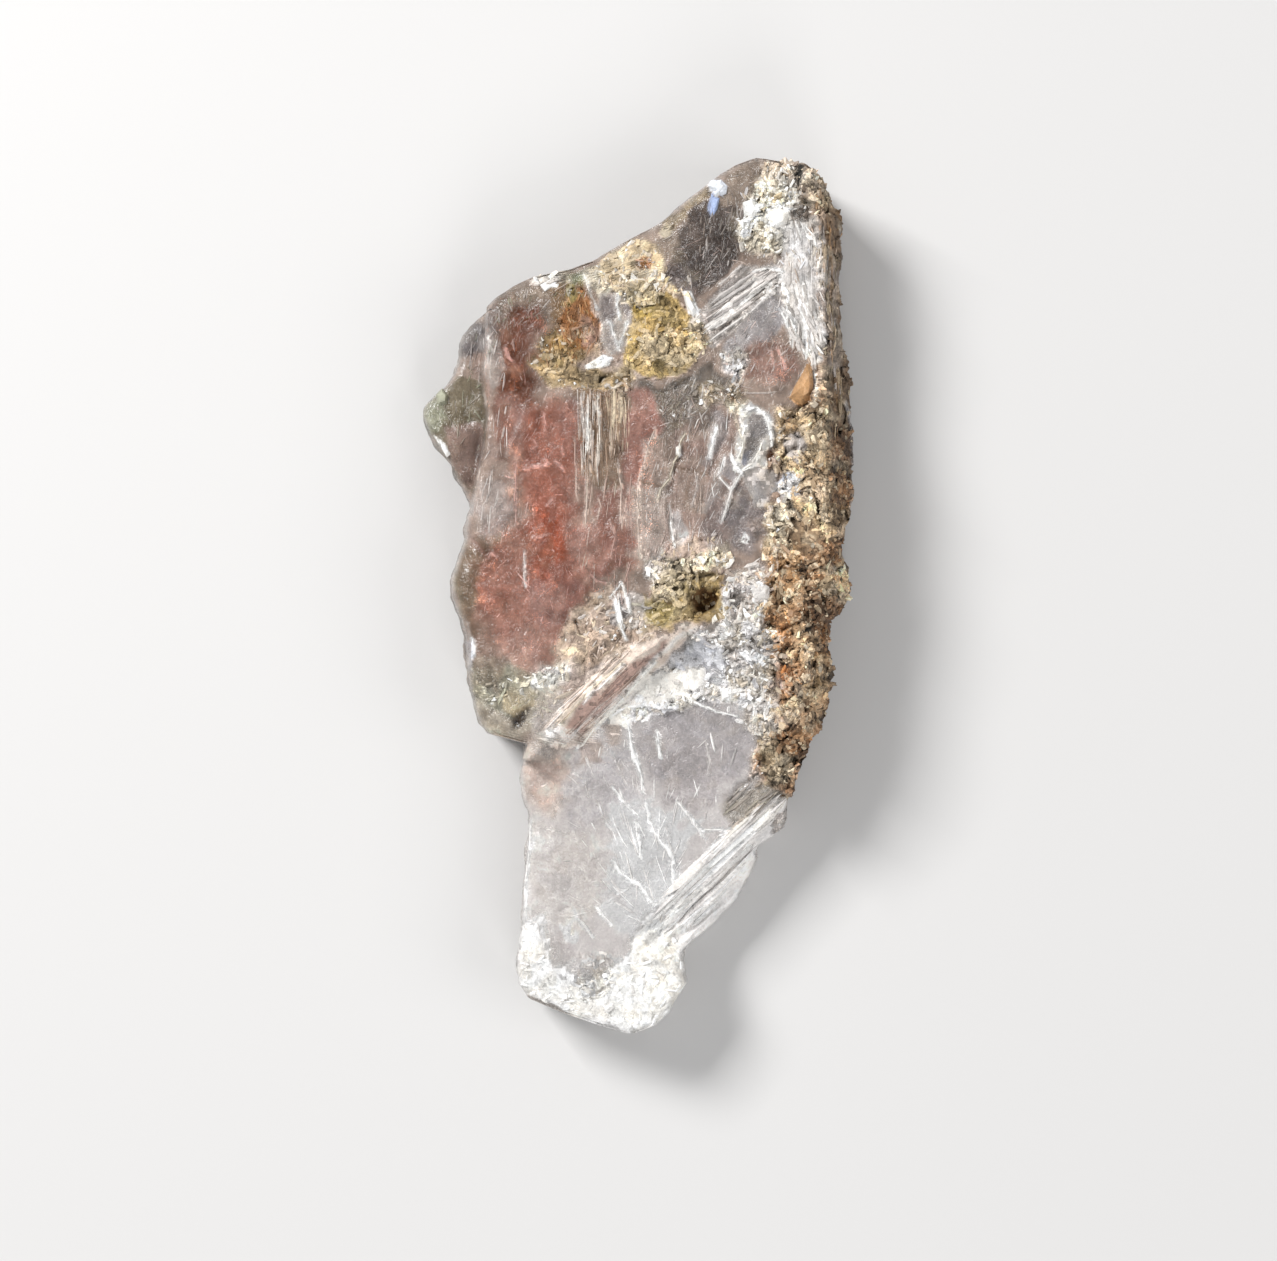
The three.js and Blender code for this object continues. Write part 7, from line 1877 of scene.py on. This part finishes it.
# ------------------------------------------------------------------ materials
class Nodes:
    """A fresh material and short ways to add nodes to it. They take numbers or sockets of other nodes."""

    def __init__(self, name):
        self.material = bpy.data.materials.new(name)
        self.material.use_nodes = True
        self.tree = self.material.node_tree
        self.tree.nodes.clear()

    def add(self, kind, settings=None, **inputs):
        """A node of this kind. _0 is its first input, and in an input's name _ stands for a space."""
        node = self.tree.nodes.new(kind)
        for key, value in (settings or {}).items():
            setattr(node, key, value)
        for key, value in inputs.items():
            socket = node.inputs[int(key[1:])] if key[0] == "_" else node.inputs[key.replace("_", " ")]
            if isinstance(value, bpy.types.NodeSocket):
                self.tree.links.new(value, socket)
            else:
                socket.default_value = value
        return node

    def math(self, operation, a, b=0.0, clamp=False):
        return self.add("ShaderNodeMath", {"operation": operation, "use_clamp": clamp}, _0=a, _1=b).outputs[0]

    def plus(self, first, *others):
        for other in others:
            first = self.math("ADD", first, other)
        return first

    def times(self, first, *others):
        for other in others:
            first = self.math("MULTIPLY", first, other)
        return first

    def ranged(self, value, low, high, to_low, to_high):
        """A value brought from one range to another and held inside it."""
        return self.add("ShaderNodeMapRange", {"clamp": True}, Value=value, From_Min=low, From_Max=high,
                        To_Min=to_low, To_Max=to_high).outputs["Result"]

    def channel(self, name):
        """A channel of the paint."""
        return self.add("ShaderNodeAttribute", {"attribute_name": name}).outputs["Fac"]

    def stretched(self, along_x, along_y, along_z, turn=0.0):
        """Object coordinates in units of these lengths, in millimetres, after a turn about Z."""
        here = self.add("ShaderNodeTexCoord").outputs["Object"]
        turned = self.add("ShaderNodeMapping", {}, Vector=here, Rotation=(0, 0, -turn)).outputs["Vector"]
        scale = tuple(1 / (MM * v) for v in (along_x, along_y, along_z))
        return self.add("ShaderNodeMapping", {}, Vector=turned, Scale=scale).outputs["Vector"]

    def noise(self, vector, detail=4.0, roughness=0.6):
        """Noise that mostly stays within -1 and 1."""
        node = self.add("ShaderNodeTexNoise", {}, Vector=vector, Scale=1.0, Detail=detail,
                        Roughness=roughness)
        return self.ranged(node.outputs["Fac"], 0.3, 0.7, -1.0, 1.0)

    def sharpened(self, value, power):
        """1 where a value centred on 0 crosses it, falling off to both sides."""
        return self.math("POWER", self.math("SUBTRACT", 1.0, self.math("ABSOLUTE", value), clamp=True), power)

    def bump(self, height, depth, strength):
        """Shading as of a relief that is this many millimetres deep where height is 1."""
        node = self.add("ShaderNodeBump", {}, Strength=strength, Distance=depth * MM, Height=height)
        return node.outputs["Normal"]

    def shaded(self, volume=None, **inputs):
        """The material, once a shader with these inputs, and any volume, are wired to its output."""
        ends = {"Surface": self.add("ShaderNodeBsdfPrincipled", {}, **inputs).outputs[0]}
        if volume:
            ends["Volume"] = volume.outputs[0]
        self.add("ShaderNodeOutputMaterial", {}, **ends)
        return self.material


def ground_detail(nodes, grain, contrast):
    """What the meshes are too coarse for: specks, winding crests and pits, streaks and hairlines, each only
    where the paint says so. Gives a colour, its crests painted lighter as highlight and its pits darker as
    shade, a relief from about -1 to 1, and the speckle."""
    tint = nodes.add("ShaderNodeAttribute", {"attribute_name": "tint"}).outputs["Color"]
    crumb, upright, slant = (nodes.channel(name) for name in ("crumb", "upright", "slant"))
    clear = nodes.math("SUBTRACT", 1.0, crumb, clamp=True)
    bend = nodes.add("ShaderNodeTexNoise", {}, Vector=nodes.stretched(0.8, 0.8, 0.8), Scale=1.0, Detail=2.0)
    bent = nodes.add("ShaderNodeVectorMath", {"operation": "MULTIPLY_ADD"}, _0=bend.outputs["Color"],
                     _1=(2.4, 2.4, 2.4), _2=nodes.stretched(grain, grain, grain)).outputs[0]
    coarse = nodes.noise(bent, 1.0, 0.5)
    crest = nodes.sharpened(coarse, 4.0)
    pit = nodes.ranged(coarse, 0.5, 0.95, 0.0, 1.0)
    speck = nodes.noise(nodes.stretched(0.2, 0.2, 0.2), 5.0, 0.7)
    cloud = nodes.noise(nodes.stretched(1.5, 2.4, 1.5), 5.0, 0.62)
    streak_y = nodes.noise(nodes.stretched(0.16, 3.0, 0.8), 3.0)
    streak_s = nodes.noise(nodes.stretched(4.0, 0.16, 0.8, RIB_ANGLE), 3.0)
    layers = nodes.times(nodes.noise(nodes.stretched(3.0, 3.0, 0.14), 3.0), nodes.channel("layers"))
    hair = nodes.sharpened(nodes.noise(nodes.stretched(1.4, 3.4, 2.0, 0.25), 4.0, 0.55), 14.0)
    web = nodes.sharpened(nodes.noise(nodes.stretched(1.1, 1.5, 2.0, -0.6), 4.0, 0.6), 18.0)
    hair = nodes.times(nodes.plus(hair, web), nodes.ranged(cloud, -0.3, 0.6, 0.15, 1.0), clear)
    # in the colour, crests painted lighter as highlight and pits painted darker as shade
    rough = nodes.times(nodes.math("SUBTRACT", crest, 0.4), crumb, 1.05 * contrast)
    pit_shade = nodes.times(pit, crumb, -0.42 * contrast)
    specks = nodes.times(speck, nodes.ranged(crumb, 0, 1, 0.15, 0.3 * contrast))
    streaks = nodes.plus(nodes.times(streak_y, upright, 0.3), nodes.times(streak_s, slant, 0.25))
    tone = nodes.plus(rough, pit_shade, specks, nodes.times(cloud, 0.12), streaks, nodes.times(hair, 0.4),
                      nodes.times(layers, 0.16), 1.0)
    colour = nodes.add("ShaderNodeVectorMath", {"operation": "SCALE"}, _0=tint, Scale=tone).outputs["Vector"]
    bumps = nodes.plus(crest, nodes.times(speck, 0.4), nodes.times(pit, -1.0))
    bumps = nodes.times(bumps, nodes.ranged(crumb, 0, 1, 0.14, 0.9))
    lines = nodes.plus(nodes.times(streak_y, upright, 0.7), nodes.times(streak_s, slant, 0.7))
    return colour, nodes.plus(bumps, lines, layers, nodes.times(hair, 0.5)), speck


def selenite_material(name, transmission):
    """Crystal that lets through this share of the light, rougher where it is crusted."""
    nodes = Nodes(name)
    colour, relief, speck = ground_detail(nodes, 0.42, 0.8)
    rough = nodes.plus(nodes.ranged(nodes.channel("crust"), 0, 1, 0.22, 0.5), nodes.times(speck, 0.06))
    bump = nodes.bump(relief, 0.09, 0.7)
    inside = nodes.add("ShaderNodeVolumeAbsorption", {}, Color=(0.85, 0.82, 0.8, 1), Density=40.0)
    return nodes.shaded(inside, Base_Color=colour, Roughness=rough, Normal=bump, IOR=1.52,
                        Transmission_Weight=transmission)


def clay_material(name, grain, contrast):
    """Rough clay with crests about grain apart."""
    nodes = Nodes(name)
    colour, relief, speck = ground_detail(nodes, grain, contrast)
    rough = nodes.ranged(speck, -1, 1, 0.7, 0.95)
    return nodes.shaded(Base_Color=colour, Roughness=rough, Normal=nodes.bump(relief, 0.12, 0.9))


def copper_material():
    """Copper from tarnished and rough to bright and smoother."""
    nodes = Nodes("native copper")
    place = nodes.stretched(0.8, 0.8, 0.8)
    tarnish = nodes.add("ShaderNodeTexNoise", {}, Vector=place, Scale=1.0, Detail=4.0).outputs["Fac"]
    ramp = nodes.add("ShaderNodeValToRGB", {}, Fac=tarnish)
    stops = ((0.35, (0.45, 0.24, 0.18, 1)), (0.65, (0.82, 0.56, 0.45, 1)))
    for stop, (position, colour) in zip(ramp.color_ramp.elements, stops):
        stop.position = position
        stop.color = colour
    rough = nodes.ranged(tarnish, 0.3, 0.7, 0.5, 0.28)
    return nodes.shaded(Base_Color=ramp.outputs["Color"], Roughness=rough, Metallic=1.0)


# ------------------------------------------------------------------ the specimen
def dress(piece, slot, nodes, *materials):
    """Hangs a piece on the specimen with its materials, in place of these CAD nodes."""
    for material in materials:
        piece.data.materials.append(material)
    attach(piece, BODY)
    if nodes:
        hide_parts(*nodes)
    return piece


def crust_over(piece):
    """Gives its crusted faces the second of its materials."""
    mesh = piece.data
    crust = np.zeros(len(mesh.vertices))
    mesh.attributes["crust"].data.foreach_get("value", crust)
    corner = np.array([p.vertices[0] for p in mesh.polygons])
    place = np.array([mesh.vertices[v].co[:2] for v in corner]) / MM
    crusted = crust[corner] + 0.3 * ripple(*place.T, 0.35, 111) > 0.5
    mesh.polygons.foreach_set("material_index", crusted.astype(np.int32))


blade = dress(make_blade(), "selenite", BLADE, selenite_material("clear selenite", transmission=0.6),
              selenite_material("crusted selenite", transmission=0.15))
crust_over(blade)

sandy = clay_material("sandy clay", grain=0.55, contrast=1.0)
ochre = clay_material("ochre clay", grain=0.32, contrast=1.0)
cream = clay_material("cream clay", grain=0.38, contrast=0.9)
ridge = dress(make_ridge(), "sandy_clay", [RIDGE], sandy)
fills = [dress(make_fill("ochre_clay_upper"), "ochre_clay", ["ochre_clay_upper"], ochre),
         dress(make_fill("ochre_clay_pit"), "ochre_clay", ["ochre_clay_pit"], ochre),
         dress(make_fill("sandy_clay_step"), "cream_clay", ["sandy_clay_step"], cream)]

dressed = Ground([blade, ridge] + fills)
splinter = selenite_material("selenite splinters", transmission=0.1)
dress(make_grains("selenite_grains", dressed, on_clay=False, count=3000, size=0.085, seed=21),
      "selenite", [], splinter)
dress(make_grains("clay_grains", dressed, on_clay=True, count=3000, size=0.085, seed=22),
      "sandy_clay", [], sandy)
dress(make_wrinkles("selenite_wrinkles", dressed, on_clay=False, count=3200, seed=25),
      "selenite", [], splinter)
dress(make_wrinkles("clay_wrinkles", dressed, on_clay=True, count=3600, seed=26),
      "sandy_clay", [], sandy)
dress(make_splinters("selenite_splinters", dressed, seed=23), "selenite", [], splinter)
dress(make_cracks("selenite_cracks", dressed, seed=24), "selenite", [], splinter)
dress(make_chips("selenite_chips", dressed), "selenite", [], splinter)

copper = copper_material()
for leaf, count, seed in (("native_copper_main", 2600, 5), ("native_copper_right", 160, 6),
                          ("native_copper_lower", 90, 7)):
    dress(make_flakes(leaf, count, seed), "native_copper", [leaf], copper)

# ------------------------------------------------------------------ studio, in metres
LIGHTS = (  # name, place, size and power of each square soft light
    ("key", (-0.32, 0.28, 0.34), 0.18, 3.7),
    ("fill", (0.4, -0.1, 0.35), 0.3, 0.8),
    ("rim", (0.1, -0.4, 0.3), 0.2, 0.7),
)
LIT_POINT = (0, 0, 0.005)  # the lights face the middle of the specimen
SKY = (0.95, 0.97, 1.0, 1)
SKY_STRENGTH = 0.36
FLOOR_REACH = 3.0


def link(name, data):
    piece = bpy.data.objects.new(name, data)
    bpy.context.scene.collection.objects.link(piece)
    return piece


def make_floor():
    mesh = bpy.data.meshes.new("floor")
    corners = [(x * FLOOR_REACH, y * FLOOR_REACH, 0) for x, y in ((-1, -1), (1, -1), (1, 1), (-1, 1))]
    mesh.from_pydata(corners, [], [(0, 1, 2, 3)])
    mesh.materials.append(Nodes("pale floor").shaded(Base_Color=(0.62, 0.61, 0.6, 1), Roughness=0.9))
    floor = link("floor", mesh)


def make_lights():
    for name, place, size, power in LIGHTS:
        light = bpy.data.lights.new(name, "AREA")
        light.size = size
        light.energy = power
        lamp = link(name, light)
        lamp.location = place
        lamp.rotation_euler = (Vector(LIT_POINT) - lamp.location).to_track_quat("-Z", "Y").to_euler()
    world = bpy.data.worlds.new("studio")
    world.use_nodes = True
    sky = world.node_tree.nodes["Background"].inputs
    sky["Color"].default_value = SKY
    sky["Strength"].default_value = SKY_STRENGTH
    bpy.context.scene.world = world


def make_camera():
    """Straight above. What it sees at the height of the middle of the specimen is frame_width across."""
    lens, sensor = 100.0, 36.0
    frame_width, middle = 102.2, Vector((0.04, -2.64, 6.0))
    data = bpy.data.cameras.new("camera")
    data.lens = lens
    data.sensor_width = sensor
    data.clip_start = 0.01
    view = link("camera", data)
    view.location = (middle + Vector((0, 0, frame_width * lens / sensor))) * MM
    bpy.context.scene.camera = view


make_floor()
make_lights()
make_camera()
bpy.context.scene.view_settings.view_transform = "Standard"
